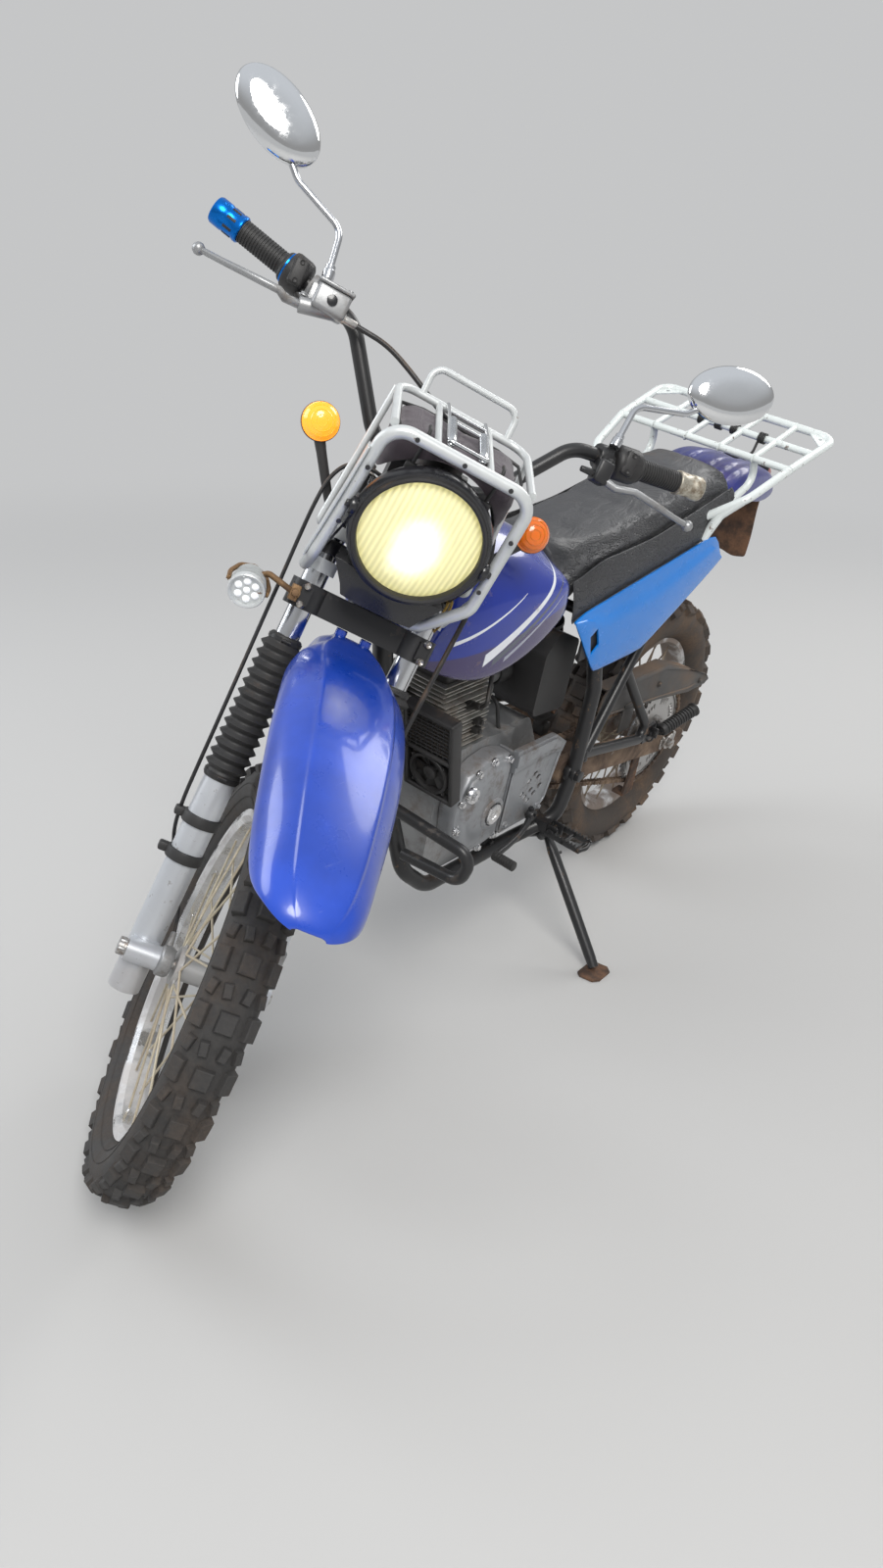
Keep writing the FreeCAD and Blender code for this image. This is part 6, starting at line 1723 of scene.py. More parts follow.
def spot_lamp():
    """Finned alloy spot lamp with a ring of six lights, on a bent gold bracket."""
    centre, ahead = Vector((-174, -62, 920)), Vector((0, -cos(radians(RAKE)), -sin(radians(RAKE))))
    body = bmesh.new()
    profile = [(0, -26), (9, -26), (10, -22)]
    for i in range(5):
        z = -20 + i * 6
        profile += [(13, z), (22 + i, z + 0.6), (22.4 + i, z + 2.2), (13, z + 3.2)]
    profile += [(20, 10), (26.4, 12), (27, 14), (27, 22), (25.6, 23.4), (23, 22.6), (22.4, 18), (0, 18)]
    lathe(body, profile, centre, ahead, 44)
    for i in range(3):
        turn = Matrix.Rotation(2 * pi * i / 3, 3, ahead)
        cap_screw(body, centre + turn @ Vector((24.6, 0, 0)) + ahead * 22.6, ahead, 1.8, 1.2)
    steered("spot_lamp_body", body, "silver_paint_worn", ("spot_lamp",), "spot_lamp")
    lights = bmesh.new()
    across = ahead.orthogonal().normalized()
    for i in range(6):
        at = centre + Matrix.Rotation(2 * pi * i / 6, 3, ahead) @ across * 14 + ahead * 18
        lathe(lights, [(5.6, 0), (5.4, 1.6), (3.8, 3.2), (1.8, 4), (0, 4.2)], at, ahead, 18)
    lathe(lights, [(5, 0), (4.8, 1.4), (3, 2.8), (0, 3.4)], centre + ahead * 18, ahead, 18)
    steered("spot_lamp_lights", lights, "led_clear", (), "spot_lamp")
    bracket = bmesh.new()
    block(bracket, (-118, -78, 926), (-104.3, -62, 950), 2)
    bent_tube(bracket, [(-112, -70, 937), (-134, -80, 942), (-154, -66, 946), (-164, -58, 938)], 4.5, 10)
    for side in (1, -1):
        arm = [centre + Vector((side * 29, -6, -3)), centre + Vector((side * 30, 10, 6)),
               centre + Vector((side * 20, 22, 20)),
               centre + Vector((0, 26, 26))]
        bent_tube(bracket, arm, 3.4, 12)
        hex_bolt(bracket, centre + Vector((side * 28, -4, -2)), (side, 0, 0), 4.5, 3)
    hex_bolt(bracket, (-111, -78, 938), (0, -1, 0), 6, 4)
    steered("spot_lamp_bracket", bracket, "gold_strap", (), "spot_lamp")


def fork_details():
    """Pinch bolts, tube caps, dust seals, cable clamps, axle cap and stem nut on the fork."""
    dark, bright, alloy = bmesh.new(), bmesh.new(), bmesh.new()
    for side in (1, -1):
        at = (side * LEG_X, -LEG_FORWARD, 0)
        lathe(dark, [(TUBE_RADIUS + 0.3, 652), (25.6, 652), (26.4, 655), (26, 660), (22, 664),
                     (TUBE_RADIUS + 0.3, 664)], at, steps=40)
        lathe(bright, [(TUBE_RADIUS + 1, 1136), (TUBE_RADIUS + 1.6, 1138), (14.4, 1141), (13.4, 1152),
                       (11, 1154),
                       (9, 1154), (8, 1150), (0, 1150)], at, steps=36)
        drum(bright, (at[0], at[1], 1150), (at[0], at[1], 1155), 6.5, steps=6, soft=0.6)
        for low, high in ((926, 954), (1098, 1116)):
            for z in (low, high):
                cap_screw(bright, (side * 96, -76.6, z), (side * 0.5, -0.9, 0), 5, 6)
    lathe(bright, [(0, 1136), (9, 1136), (17, 1133), (18, 1130), (18, 1123)], (0, 0, 0), steps=36)
    drum(bright, (0, 0, 1123), (0, 0, 1134), 20, steps=6, soft=1)
    for side in (1, -1):
        for y in (-14, 14):
            cap_screw(bright, (side * 45, y, 1206), (0, 0, 1), 5.5, 7)
    for z in (500, 560):
        lathe(dark, [(25.1, z), (29, z + 1), (29.6, z + 4), (29.6, z + 14), (29, z + 17), (25.1, z + 18)],
              (-LEG_X, -LEG_FORWARD, 0), steps=36)
        block(dark, (-132, -36, z + 2), (-112, -18, z + 16), 3)
        hex_bolt(dark, (-114, -40, z + 9), (0, -1, 0), 4.5, 3)
    lathe(alloy, [(17, 0), (19, 2), (19, 9), (16, 11), (13, 11), (12, 8), (0, 8)],
          (96.5, -FORK_OFFSET, AXLE_HEIGHT),
          (1, 0, 0), 40)
    steered("fork_seals_and_clamp", dark, "rubber", (), "fork_legs")
    steered("fork_fasteners", bright, "bolt_steel", (), "upper_clamp")
    steered("front_axle_cap", alloy, "polished_alloy", (), "front_axle")


# Frame, rests and rear


def shock():
    """Rear spring with its seats, damper body and eyes."""
    top, low = Vector((0, 200, 754)), Vector((0, 292, 440))
    run = (top - low).normalized()
    length = (top - low).length
    spring, body = bmesh.new(), bmesh.new()
    coil(spring, low + run * length * 0.15, low + run * length * 0.81, 26, 4.6, 8.5, 10)
    fixed("shock_spring", spring, "rusty_brown", ("rear_shock",), "rear_shock")
    lathe(body, [(0, 12), (14, 12), (14, 0.11 * length), (31, 0.12 * length), (31, 0.145 * length),
                 (17, 0.16 * length),
                 (17, 0.5 * length), (9, 0.51 * length), (9, 0.82 * length), (31, 0.82 * length),
                 (31, 0.845 * length), (14, 0.86 * length), (14, length - 16), (0, length - 16)], low, run,
                 36)
    drum(body, (-14, 200, 754), (14, 200, 754), 17, steps=32, soft=2)
    block(body, (-14, 278, 424.3), (14, 306, 452), 3)
    fixed("shock_damper", body, "engine_black", (), "rear_shock")


def pegs():
    """Serrated rider's pegs and ribbed rubber passenger's pegs, folded up."""
    steel, rubbers = bmesh.new(), bmesh.new()
    for side in (1, -1):
        for y0, y1 in ((140, 145), (185, 190)):
            block(steel, (side * 150 - 2, y0, 303), (side * 230 + 2, y1, 314), 1)
            for i in range(10):
                x = side * (154 + i * 8)
                bridged(steel, [[(x - 3.4, y, 313), (x + 3.4, y, 313), (x, y, 318.6)] for y in (y0, y1)],
                        True, True)
        for x in (150, 190, 226):
            block(steel, (side * x - 3, 140, 303), (side * x + 3, 190, 312), 1)
            bridged(steel, [[(side * x + w, y, 311), (side * x + w, y + 7, 311),
                             (side * x + w, y + 3.5, 317)]
                            for w in (-2, 2) for y in (161,)], True, True)
        bent_tube(steel, [(side * 228, 142, 308), (side * 234, 165, 308), (side * 228, 188, 308)], 4.5, 14)
        for y in (152, 176):
            block(steel, (side * 143.5, y, 296), (side * 168, y + 5, 322), 2)
        drum(steel, (side * 152, 144, 309), (side * 152, 188, 309), 5, soft=1)
        coil(steel, (side * 156, 158, 300), (side * 156, 174, 300), 7, 1.4, 4)
        start, end = Vector((side * 152, 572, 412)), Vector((side * 174, 676, 448))
        run = (end - start).normalized()
        profile = [(7, 0), (12, 0), (14, 3)]
        for i in range(12):
            profile += [(15, 6 + i * 8), (15, 10.6 + i * 8), (12.6, 11.4 + i * 8), (12.6, 13.2 + i * 8)]
        profile += [(14.4, 104), (16.4, 106), (16.4, 110), (12, 112), (0, 112)]
        lathe(rubbers, profile, start, run, 28)
        block(steel, (side * 136.5, 550, 398), (side * 154, 556, 422), 2)
        block(steel, (side * 136.5, 574, 398), (side * 154, 580, 422), 2)
        drum(steel, (side * 148, 546, 411), (side * 148, 584, 411), 5, soft=1)
        lathe(steel, [(0, -4), (7, -2), (7, 14), (0, 14)], start, run, 20)
    fixed("peg_steel", steel, "frame_black", ("foot_pegs",), "foot_pegs")
    fixed("peg_rubbers", rubbers, "rubber", (), "foot_pegs")


def levers_below():
    """Gear lever with its ribbed rubber, and the brake pedal with its toothed pad."""
    steel, rubber_tip = bmesh.new(), bmesh.new()
    lathe(steel, [(0, 0), (11, 0), (12, 1.5), (12, 13), (11, 15), (6, 15), (6, 12), (0, 12)],
          (126.5, 88, 366), (1, 0, 0), 32)
    tapered(steel, [(135, 88, 362), (142, 60, 350), (148, 30, 345), (156, -20, 346), (160, -58, 348),
                    (160, -66, 348)],
            [(7, 9), (5.5, 8), (5.2, 7), (5.2, 6.6), (5.6, 6.4), (4, 4)])
    hex_bolt(steel, (132, 88, 378), (0, -0.3, 1), 5, 4)
    profile = [(5, 0), (8.6, 0)]
    for i in range(8):
        profile += [(10, 2 + i * 5.6), (10, 4.8 + i * 5.6), (8.6, 5.4 + i * 5.6), (8.6, 7 + i * 5.6)]
    profile += [(10, 47), (7, 49), (0, 49)]
    lathe(rubber_tip, profile, (157.5, -64, 348), (1, 0, 0), 28)
    drum(steel, (-125.4, 120, 290), (-142, 120, 290), 11, steps=28, soft=1)
    tapered(steel, [(-135, 120, 290), (-146, 80, 298), (-150, 70, 302), (-156, 0, 318), (-160, -70, 334)],
            [(9, 7), (8, 6.4), (8, 6.4), (7, 6), (8, 6)])
    block(steel, (-206, -92, 334), (-150, -62, 342), 2)
    for i in range(6):
        x = -202 + i * 9.4
        block(steel, (x, -91, 341), (x + 3, -63, 346), 0.8)
    fixed("foot_lever_steel", steel, "frame_black", ("foot_levers",), "foot_levers")
    fixed("gear_lever_rubber", rubber_tip, "rubber", (), "foot_levers")


def stand():
    """Side stand: flattened eye, tapered leg, catch for its spring, and a bent plate foot."""
    pivot, foot = Vector((122, 196, 276)), Vector((338, 140, 74))
    axis = (foot - pivot).cross(Vector((0.10, 0.99, 0.0))).normalized()
    down = (foot - pivot).normalized()
    bm = bmesh.new()
    lathe(bm, [(5.4, -6), (16, -6), (16.6, -5), (16.6, 5), (16, 6), (5.4, 6), (5.4, -6)], pivot, axis, 36)
    tapered(bm, [pivot + down * 12, pivot + down * 28, pivot + down * 44, pivot.lerp(foot, 0.5),
                 foot - down * 30,
                 foot - down * 4],
            [(10, 5.5), (11, 7.5), (12, 11), (12, 12), (11.5, 11.5), (11, 10)], 24)
    drum(bm, pivot - axis * 9, pivot + axis * 10, 8.5, steps=6, soft=0.8)
    side = down.cross(axis)
    drum(bm, pivot + down * 52 - side * 8, pivot + down * 52 - side * 22, 3.4, soft=0.6)
    piece("stand_leg", bm, CHASSIS, "stand", "frame_black", ("side_stand",), "side_stand")
    ground = CHASSIS @ foot
    plate = bmesh.new()
    low = ground * 1000
    rings = []
    for z, grow in ((0.0, 0), (2.5, 1.2), (5.4, 0)):
        rings.append([(low.x - 24 - grow, low.y - 24, z), (low.x - 14, low.y - 34 - grow, z),
                      (low.x + 16, low.y - 34 - grow, z), (low.x + 26 + grow, low.y - 22, z),
                      (low.x + 26 + grow, low.y + 18, z), (low.x + 14, low.y + 30 + grow, z),
                      (low.x - 14, low.y + 30 + grow, z), (low.x - 24 - grow, low.y + 20, z)])
    bridged(plate, rings, True, True)
    piece("stand_foot_plate", plate, Matrix.Scale(MM, 4), "stand", "rusty_brown", (), "side_stand",
          bevel=0.8)


def rest_tubes():
    """Weld beads, bolts and nuts on the frame, the chain adjusters and the chain's guide plate."""
    bm = bmesh.new()
    for side in (1, -1):
        for at, run, size in (((side * 134, 236, 456), (0, 0.98, -0.19), 13),
                              ((side * 134, 556, 394), (0, -0.98, 0.19), 13),
                              ((side * 117, 372, 604), (0, 0.7, -0.7), 13),
                              ((side * 133, 244, 444), (0, 0.6, 0.8), 13)):
            lathe(bm, [(size - 3, -4), (size, -2), (size + 0.6, 1), (size - 1, 4), (size - 3, 4)], at, run,
                  24)
        drum(bm, (side * 136, 220, 416), (side * 146, 220, 416), 16, steps=28, soft=2)
        drum(bm, (side * 146, 220, 416), (side * 155, 220, 416), 13, steps=6, soft=1)
        drum(bm, (side * 124, 220, 416), (side * 136, 220, 416), 21, steps=36, soft=2)
        hex_bolt(bm, (side * 84, 40, 292), (side, 0, 0), 7, 6)
        hex_bolt(bm, (side * 136, 549, 404), (side, 0, 0), 7, 6)
    fixed("frame_fasteners", bm, "frame_black", (), "frame")
    arm = bmesh.new()
    for side in (1, -1):
        x = side * 117.4
        for y in (684, 738):
            block(arm, (x - 1, y, 308), (x + side * 3, y + 6, 342), 1)
        block(arm, (x, 676, 313), (x + side * 3, 752, 337), 1)
        drum(arm, (x + side * 3, 705, 325), (x + side * 9, 705, 325), 17, steps=36, soft=1)
        drum(arm, (x + side * 9, 705, 325), (x + side * 20, 705, 325), 12.5, steps=6, soft=1)
        drum(arm, (side * 107, 794, 312), (side * 107, 824, 309), 4, steps=16)
        drum(arm, (side * 107, 802, 311), (side * 107, 810, 310), 8, steps=6, soft=0.6)
    piece("chain_adjusters", arm, CHASSIS, "chassis", "bolt_steel", (), "swingarm")
    guide = bmesh.new()
    rings = [[(x, y, z) for y, z in ((598, 330), (634, 326), (640, 262), (648, 196), (602, 200),
                                     (606, 262))]
             for x in (91, 96.5)]
    bridged(guide, rings, True, True)
    block(guide, (64, 606, 190), (95, 640, 198), 2)
    fixed("chain_guide_plate", guide, "rusty_brown", (), "chain_guard")


def chain_cover():
    """Pressed chain guard with a rolled edge, ribs and its bolts."""
    outline = ((345, 500), (352, 532), (366, 547), (500, 541), (640, 535), (780, 488), (896, 442),
               (918, 424),
               (900, 416), (810, 418), (640, 446), (400, 478))
    bm = bmesh.new()
    centre = Vector((0, 620, 486))
    rings = [[(x, centre.y + (y - centre.y) * sy, centre.z + (z - centre.z) * sz) for y, z in outline]
             for x, sy, sz in ((92.2, 1, 1), (95, 1, 1), (97, 0.985, 0.95), (97, 0.95, 0.8),
                               (94.6, 0.94, 0.76))]
    bridged(bm, rings, True, True)
    rings = [[(x, y, z) for x, z in ((61, top - 3), (61, top), (94, top), (94, top - 3))]
             for y, top in ((362, 548), (500, 542), (640, 536), (780, 490))]
    bridged(bm, rings, True, True)
    for y, z in ((380, 512), (620, 492), (860, 436)):
        hex_bolt(bm, (96.6, y, z), (1, 0, 0), 6, 4)
    block(bm, (92.5, 470, 410), (97, 520, 480), 1)
    fixed("chain_guard_pressing", bm, "dark_dusty_steel", ("chain_guard",), "chain_guard")


def flap():
    """Riveted mud flap with wavy lower edge and its drilled rows."""
    bm, studs = bmesh.new(), bmesh.new()
    rings = []
    for i in range(13):
        share = i / 12
        z = 908 - share * 172
        y = 905.4 + share * 20
        half = 83.5 - 1.2 * sin(share * 7)
        rings.append([(x * half / 84, y + 2.6 * sin(x * 0.05 + share * 4) * share,
                       z + (4 * sin(x * 0.09) if i == 12 else 0))
                      for x in range(-84, 85, 12)])
    bridged(bm, rings, False)
    fixed("mud_flap_sheet", bm, "rusty_brown", ("mud_flap",), "mud_flap", wall=3.2, level=1)
    for i in range(9):
        for x in (-74, -60, 60, 74):
            share = 0.07 + i * 0.105
            y = 905.4 + share * 20 + 2.6 * sin(x * 0.05 + share * 4) * share
            drum(studs, (x, y + 0.4, 908 - share * 172), (x, y - 1.6, 908 - share * 172), 2.8, steps=10)
            drum(studs, (x, y + 3.0, 908 - share * 172), (x, y + 4.8, 908 - share * 172), 2.8, steps=10)
    fixed("mud_flap_rivets", studs, "bolt_steel", (), "mud_flap")


def rear_lamp():
    """Tail lamp: a black base and a ribbed red lens."""
    lens, base = bmesh.new(), bmesh.new()
    rings = []
    for y, half, low, high in ((998, 45.5, 879, 939), (1014, 45, 880, 934), (1030, 42, 884, 927),
                               (1037, 36, 888, 921),
                               (1039.6, 24, 892, 914)):
        rings.append([(-half, y, low + 5), (-half + 5, y, low), (half - 5, y, low), (half, y, low + 5),
                      (half, y, high - 6),
                      (half - 6, y, high), (-half + 6, y, high), (-half, y, high - 6)])
    bridged(lens, rings, True, True)
    for i in range(7):
        block(lens, (-40 + i * 12, 1000, 880), (-38 + i * 12, 1038.6, 882))
    fixed("tail_lamp_lens", lens, "red_lens", ("tail_light",), "tail_light", bevel=1.2)
    block(base, (-47, 990.4, 875), (47, 999, 943), 3)
    for x in (-34, 34):
        cap_screw(base, (x, 1031, 905), (0, 1, 0), 3.4, 3)
    fixed("tail_lamp_base", base, "black_plastic", (), "tail_light")


def dial():
    """Speedometer: bezel, face, ring of marks, needle and the trip knob, on its bracket."""
    bm, face, marks = bmesh.new(), bmesh.new(), bmesh.new()
    at = (0, -58, 1167)
    lathe(bm, [(0, 0.4), (30, 0.4), (34, 4), (36, 12), (36.4, 26), (37, 30), (36, 33), (33, 33.6),
               (32, 31), (32, 30)], at)
    lathe(bm, [(9, -44.4), (9, 0)], at)
    block(bm, (-14, -70, 1122.3), (14, -30, 1127), 1.2)
    drum(bm, (34, -58, 1180), (44, -58, 1180), 4.5, steps=14)
    steered("dial_case", bm, "black_plastic", ("instruments",), "instruments")
    lathe(face, [(0, 29.6), (32.4, 29.6), (32.4, 28)], at)
    steered("dial_face", face, "black_gloss", (), "instruments")
    for i in range(25):
        turn = Matrix.Translation(at) @ Matrix.Rotation(radians(215 - i * 10.4), 4, "Z")
        long = 6 if i % 4 == 0 else 3.4
        block(marks, (28 - long, -0.5, 29.6), (28, 0.5, 30.0), 0, turn)
    block(marks, (-5, -0.9, 30.4), (22, 0.9, 31.2), 0,
          Matrix.Translation(at) @ Matrix.Rotation(radians(215), 4, "Z"))
    steered("dial_marks", marks, "rack_white_silver", (), "instruments")


def guard_and_rack_trim():
    """The lamp guard's strap and the painted shade of its holes, the front rack's sprung wire clamp and the
    rear rack's stays.
    """
    strap, wires, screws = bmesh.new(), bmesh.new(), bmesh.new()
    points = [(-126, -440, 930), (-124, -452, 990), (-121, -458, 1060), (-119, -460, 1120)]
    rings = []
    for x, y, z in points:
        rings.append([(x - 2, y - 9, z), (x + 1, y - 9, z), (x + 1, y + 9, z), (x - 2, y + 9, z)])
    bridged(strap, rings, True, True)
    steered_lamp("guard_strap", strap, "silver_paint_worn", "headlight_guard", bevel=0.8)
    # Painted shade: these black discs (in screws) stand in for the guard's holes, with the dark seen through
    # each hole painted on.
    for x, z in ((-109, 1010), (-109, 1096), (109, 1010), (109, 1096)):
        drum(screws, (x, -470.4, z), (x, -472.2, z), 3.4, steps=14)
    for x in (-70, 0, 70):
        drum(screws, (x, -470.4, 1160), (x, -472.2, 1160), 3.4, steps=14)
    steered_lamp("guard_hole_shade", screws, "black_gloss", "headlight_guard")
    for side in (1, -1):
        coil(wires, (side * 24, -440, 1168), (side * 24, -362, 1170), 5.4, 1.1, 22, 6)
    frame = [(-30, -304, 1168), (-30, -362, 1172), (-30, -442, 1170), (30, -442, 1170), (30, -362, 1172),
             (30, -304, 1168)]
    bent_tube(wires, frame, 2.6, 10, steps=10)
    bent_tube(wires, [(-30, -372, 1171), (30, -372, 1171)], 2.4, steps=10)
    bent_tube(wires, [(-30, -336, 1170), (30, -336, 1170)], 2.4, steps=10)
    steered_lamp("rack_clamp_wires", wires, "chrome", "front_rack")
    stays = bmesh.new()
    for side in (1, -1):
        bent_tube(stays, [(side * 174, 562, 955), (side * 144, 545, 918), (side * 130, 526, 864)], 9.5, 30)
    fixed("rack_stays", stays, "rack_white_silver", (), "rear_rack")


def tank_wire():
    """Brass wire loop from under the lamp to the tank's front left side."""
    bm = bmesh.new()
    for shift in (0, 7):
        bent_tube(bm, [(96 + shift, -318, 842), (116 + shift, -330, 866), (124 + shift, -322, 900),
                       (108 + shift, -306, 902),
                       (101 + shift, -300, 880)], 2.0, 16, steps=10)
    return fixed("tank_wire_loop", bm, "brass_wire", (), "fuel_tank")


def rack_straps():
    """Tie straps wound on the rear rack, a hook, and its nuts."""
    frame = CHASSIS @ Matrix.Translation((0, 686, 1012)) @ Matrix.Rotation(radians(14.5), 4, "X")
    straps, nuts = bmesh.new(), bmesh.new()
    for x, y in ((-62, 98), (18, 98), (84, 98), (-20, 98)):
        for i in range(4):
            ring = [(x + i * 4.2, y + 10.4 * cos(a),
                     10.4 * sin(a)) for a in [2 * pi * k / 16 for k in range(17)]]
            swept(straps, [Vector(p) for p in ring], 1.9, 6)
    bent_tube(straps, [(-58, 108, -2), (-30, 150, -10), (10, 140, -13), (20, 108, -4)], 3, 24, steps=8)
    bent_tube(straps, [(84, 90, -8), (90, 60, -22), (70, 30, -26), (52, 6, -10)], 3, 24, steps=8)
    piece("rack_tie_straps", straps, frame, "chassis", "rubber", (), "rear_rack")
    for side in (1, -1):
        for x, y in ((120, -1), (40, -1), (120, 195), (40, 195)):
            lathe(nuts, [(8, -2), (9.6, -1), (9.6, 1), (8, 2)], (side * x, y, 0), (1, 0, 0), 20)
    piece("rack_welds", nuts, frame, "chassis", "rack_white_silver", (), "rear_rack")


def speedometer_drive():
    bm = bmesh.new()
    lathe(bm, [(9, 0), (20, 0), (24, 3), (24, 16), (21, 20.6), (9, 20.6), (9, 0)],
          (-64.7, -FORK_OFFSET, AXLE_HEIGHT), (1, 0, 0), 40)
    start, end = Vector(SPEEDO_CABLE[0]), Vector((-55, -FORK_OFFSET + 18, AXLE_HEIGHT + 14))
    drum(bm, end, start, 6.5, 4.6, soft=0.5)
    lathe(bm, [(0, 0), (13, 0), (14, 2), (14, 10), (10, 12), (0, 12)], (-127.3, -FORK_OFFSET, AXLE_HEIGHT),
          (1, 0, 0), 6)
    steered("speedometer_drive_box", bm, "cast_alloy", (), "front_axle")


# Soft pieces

CLOTH_FRAMES = 20
POUCH_SWELL = 4.0


def swollen(name, bm, place, cap, voxel=5.0, pressure=4.0):
    """A padded piece: its closed form is remeshed, blown up as cloth and held to a cap."""
    bmesh.ops.recalc_face_normals(bm, faces=bm.faces)
    bm.transform(place)
    mesh = bpy.data.meshes.new(name)
    bm.to_mesh(mesh)
    bm.free()
    obj = shown(name, mesh)
    scene = bpy.context.scene
    fine = obj.modifiers.new("grid", "REMESH")
    fine.mode, fine.voxel_size = "VOXEL", voxel * MM
    settle(obj)
    before = [v.co.copy() for v in obj.data.vertices]
    cloth = obj.modifiers.new("cloth", "CLOTH")
    cloth.settings.use_pressure = True
    cloth.settings.uniform_pressure_force = pressure
    cloth.settings.effector_weights.gravity = 0.0
    cloth.settings.quality = 4
    cloth.settings.bending_stiffness = 6.0
    for frame in range(1, CLOTH_FRAMES + 1):
        scene.frame_set(frame)
    settle(obj)
    scene.frame_set(1)
    for vert, start in zip(obj.data.vertices, before):
        move = vert.co - start
        if move.length > cap * MM:
            vert.co = start + move.normalized() * cap * MM
    return obj


def settle(obj):
    """Apply an object's modifiers to its mesh."""
    graph = bpy.context.evaluated_depsgraph_get()
    mesh = bpy.data.meshes.new_from_object(obj.evaluated_get(graph))
    old = obj.data
    obj.modifiers.clear()
    obj.data = mesh
    mesh.name = obj.name
    bpy.data.meshes.remove(old)


def finish_pad(obj, finish, stands_for, node, smooth=3):
    """Round off, dress and attach a padded piece."""
    bm = bmesh.new()
    bm.from_mesh(obj.data)
    for _ in range(smooth):
        bmesh.ops.smooth_vert(bm, verts=bm.verts, factor=0.5, use_axis_x=True, use_axis_y=True,
                              use_axis_z=True)
    bm.to_mesh(obj.data)
    bm.free()
    obj.data.shade_smooth()
    wear(obj, "chassis" if node == "seat" else "steering", finish, stands_for)
    return obj


SEAT = (
    # y, lower half width, upper half width, low, high
    (46, 112, 70, 814, 900), (70, 114, 80, 815, 904), (140, 116, 88, 870, 899), (320, 117, 98, 876, 918),
    (520, 116, 98, 909, 962), (650, 107, 90, 930, 979))


def seat():
    """Long vinyl seat, swollen by its foam, with its creases and its side panels."""
    look = the_look()
    bm = bmesh.new()
    rings = []
    for y, low_half, top_half, low, high in SEAT:
        corner = 0.34 * (high - low)
        right = [(low_half - 10, low), (low_half, low + 8), (low_half - 2, low + 0.45 * (high - low)),
                 (top_half + 6, high - corner), (top_half - 8, high - 0.3 * corner),
                 (top_half * 0.7, high - 1),
                 (top_half * 0.35, high + 2)]
        rings.append([Vector((x, y, z)) for x, z in right] + [Vector((0, y, high + 2.5))]
                     + [Vector((-x, y, z)) for x, z in right[::-1]])
    bridged(bm, rings, True, True)
    pad = swollen("seat_cushion", bm, CHASSIS, look.seat_swell / MM)
    back = CHASSIS.inverted()
    for vert in pad.data.vertices:
        at = back @ vert.co
        if abs(at.x) > 60 or at.z < 860:
            continue
        crease = noise.noise(Vector((at.x * 0.006, at.y * 0.022, 1.0))) + 0.5 * noise.noise(
            Vector((at.x * 0.02, at.y * 0.05, 4.0)))
        at.z += 1.6 * crease * (1 - abs(at.x) / 60)
        vert.co = CHASSIS @ at
    finish_pad(pad, "seat_vinyl", ("seat",), "seat")
    panel = bmesh.new()
    for side in (1, -1):
        rings = []
        for y in (56, 66, 84, 110, 140, 180, 230, 280, 330, 390, 450, 510, 565, 600, 630, 648):
            _, wide, _, low, high = between(SEAT, y)
            foot = max(between(COVER_OUTLINE, y)[2] - 7, 859 + (y - 520) * 0.6 if y > 520 else 0)
            top, out = low + 0.5 * (high - low), 133 - 6 * max(0, (y - 540) / 60)
            rings.append([(side * (out + (wide + 3.5 - out) * share + 3.4 * sin(pi * share)), y,
                           foot + (top - foot) * share) for share in (0, 0.12, 0.3, 0.5, 0.7, 0.88, 1.0)])
        bridged(panel, rings, closed=False)
        swept(panel, [Vector(ring[0]) + Vector((0, 0, 1)) for ring in rings], 1.8, 8)
    fixed("seat_side_panels", panel, "seat_vinyl", (), "seat", wall=3.0, level=1)
    return pad


def front_bag():
    """Slack pouch under the front rack with its straps and piping."""
    bm = bmesh.new()
    rows = ((1079, 92, -424, -374), (1098, 98, -430, -362), (1124, 96, -434, -342), (1146, 92, -436, -320),
            (1152, 84, -430, -322))
    rings = []
    for z, half, front, rear in rows:
        ring = [(-half, front + 10, z), (-half * 0.9, front, z), (0, front - 2, z), (half * 0.9, front, z),
                (half, front + 10, z), (half, rear - 10, z), (half * 0.9, rear, z), (0, rear + 2, z),
                (-half * 0.9, rear, z), (-half, rear - 10, z)]
        rings.append([Vector(p) for p in ring])
    bridged(bm, rings, True, True)
    pad = swollen("rack_pouch", bm, LAMP, POUCH_SWELL)
    back = LAMP.inverted()
    centre = LAMP_CENTRE
    for vert in pad.data.vertices:
        at = back @ vert.co
        at.x += 2.4 * noise.noise(Vector((at.x * 0.02, at.y * 0.03, at.z * 0.06)))
        at.y += 4.0 * noise.noise(Vector((at.x * 0.026, at.y * 0.02, at.z * 0.05 + 7)))
        at.z += 1.8 * noise.noise(Vector((at.x * 0.03, at.y * 0.03, 3.0)))
        out = Vector((at.x, 0, at.z - centre.z))
        if out.length < 104 and at.y < -352:
            at += out.normalized() * (104 - out.length)
        vert.co = LAMP @ at
    finish_pad(pad, "bag_cloth", ("front_bag",), "front_bag", 2)
    trim = bmesh.new()
    ring = [Vector((x, y, 1150)) for x, y in ((-90, -430), (-40, -440), (40, -440), (90, -430), (96, -400),
                                             (94, -340), (60, -322), (-60, -322), (-94, -340), (-96, -400))]
    closed = ring + [ring[0]]
    swept(trim, [a.lerp(b, t / 4) for a, b in zip(closed, closed[1:]) for t in range(4)] + [closed[-1]],
          2.4, 8)
    for x in (-56, 56):
        bent_tube(trim, [(x, -441, 1120), (x, -446, 1150), (x, -440, 1168), (x, -424, 1168)], 2.6, 6)
        block(trim, (x - 9, -446, 1104), (x + 9, -438, 1120), 2)
    steered_lamp("pouch_piping_and_straps", trim, "rubber", "front_bag")
    return pad


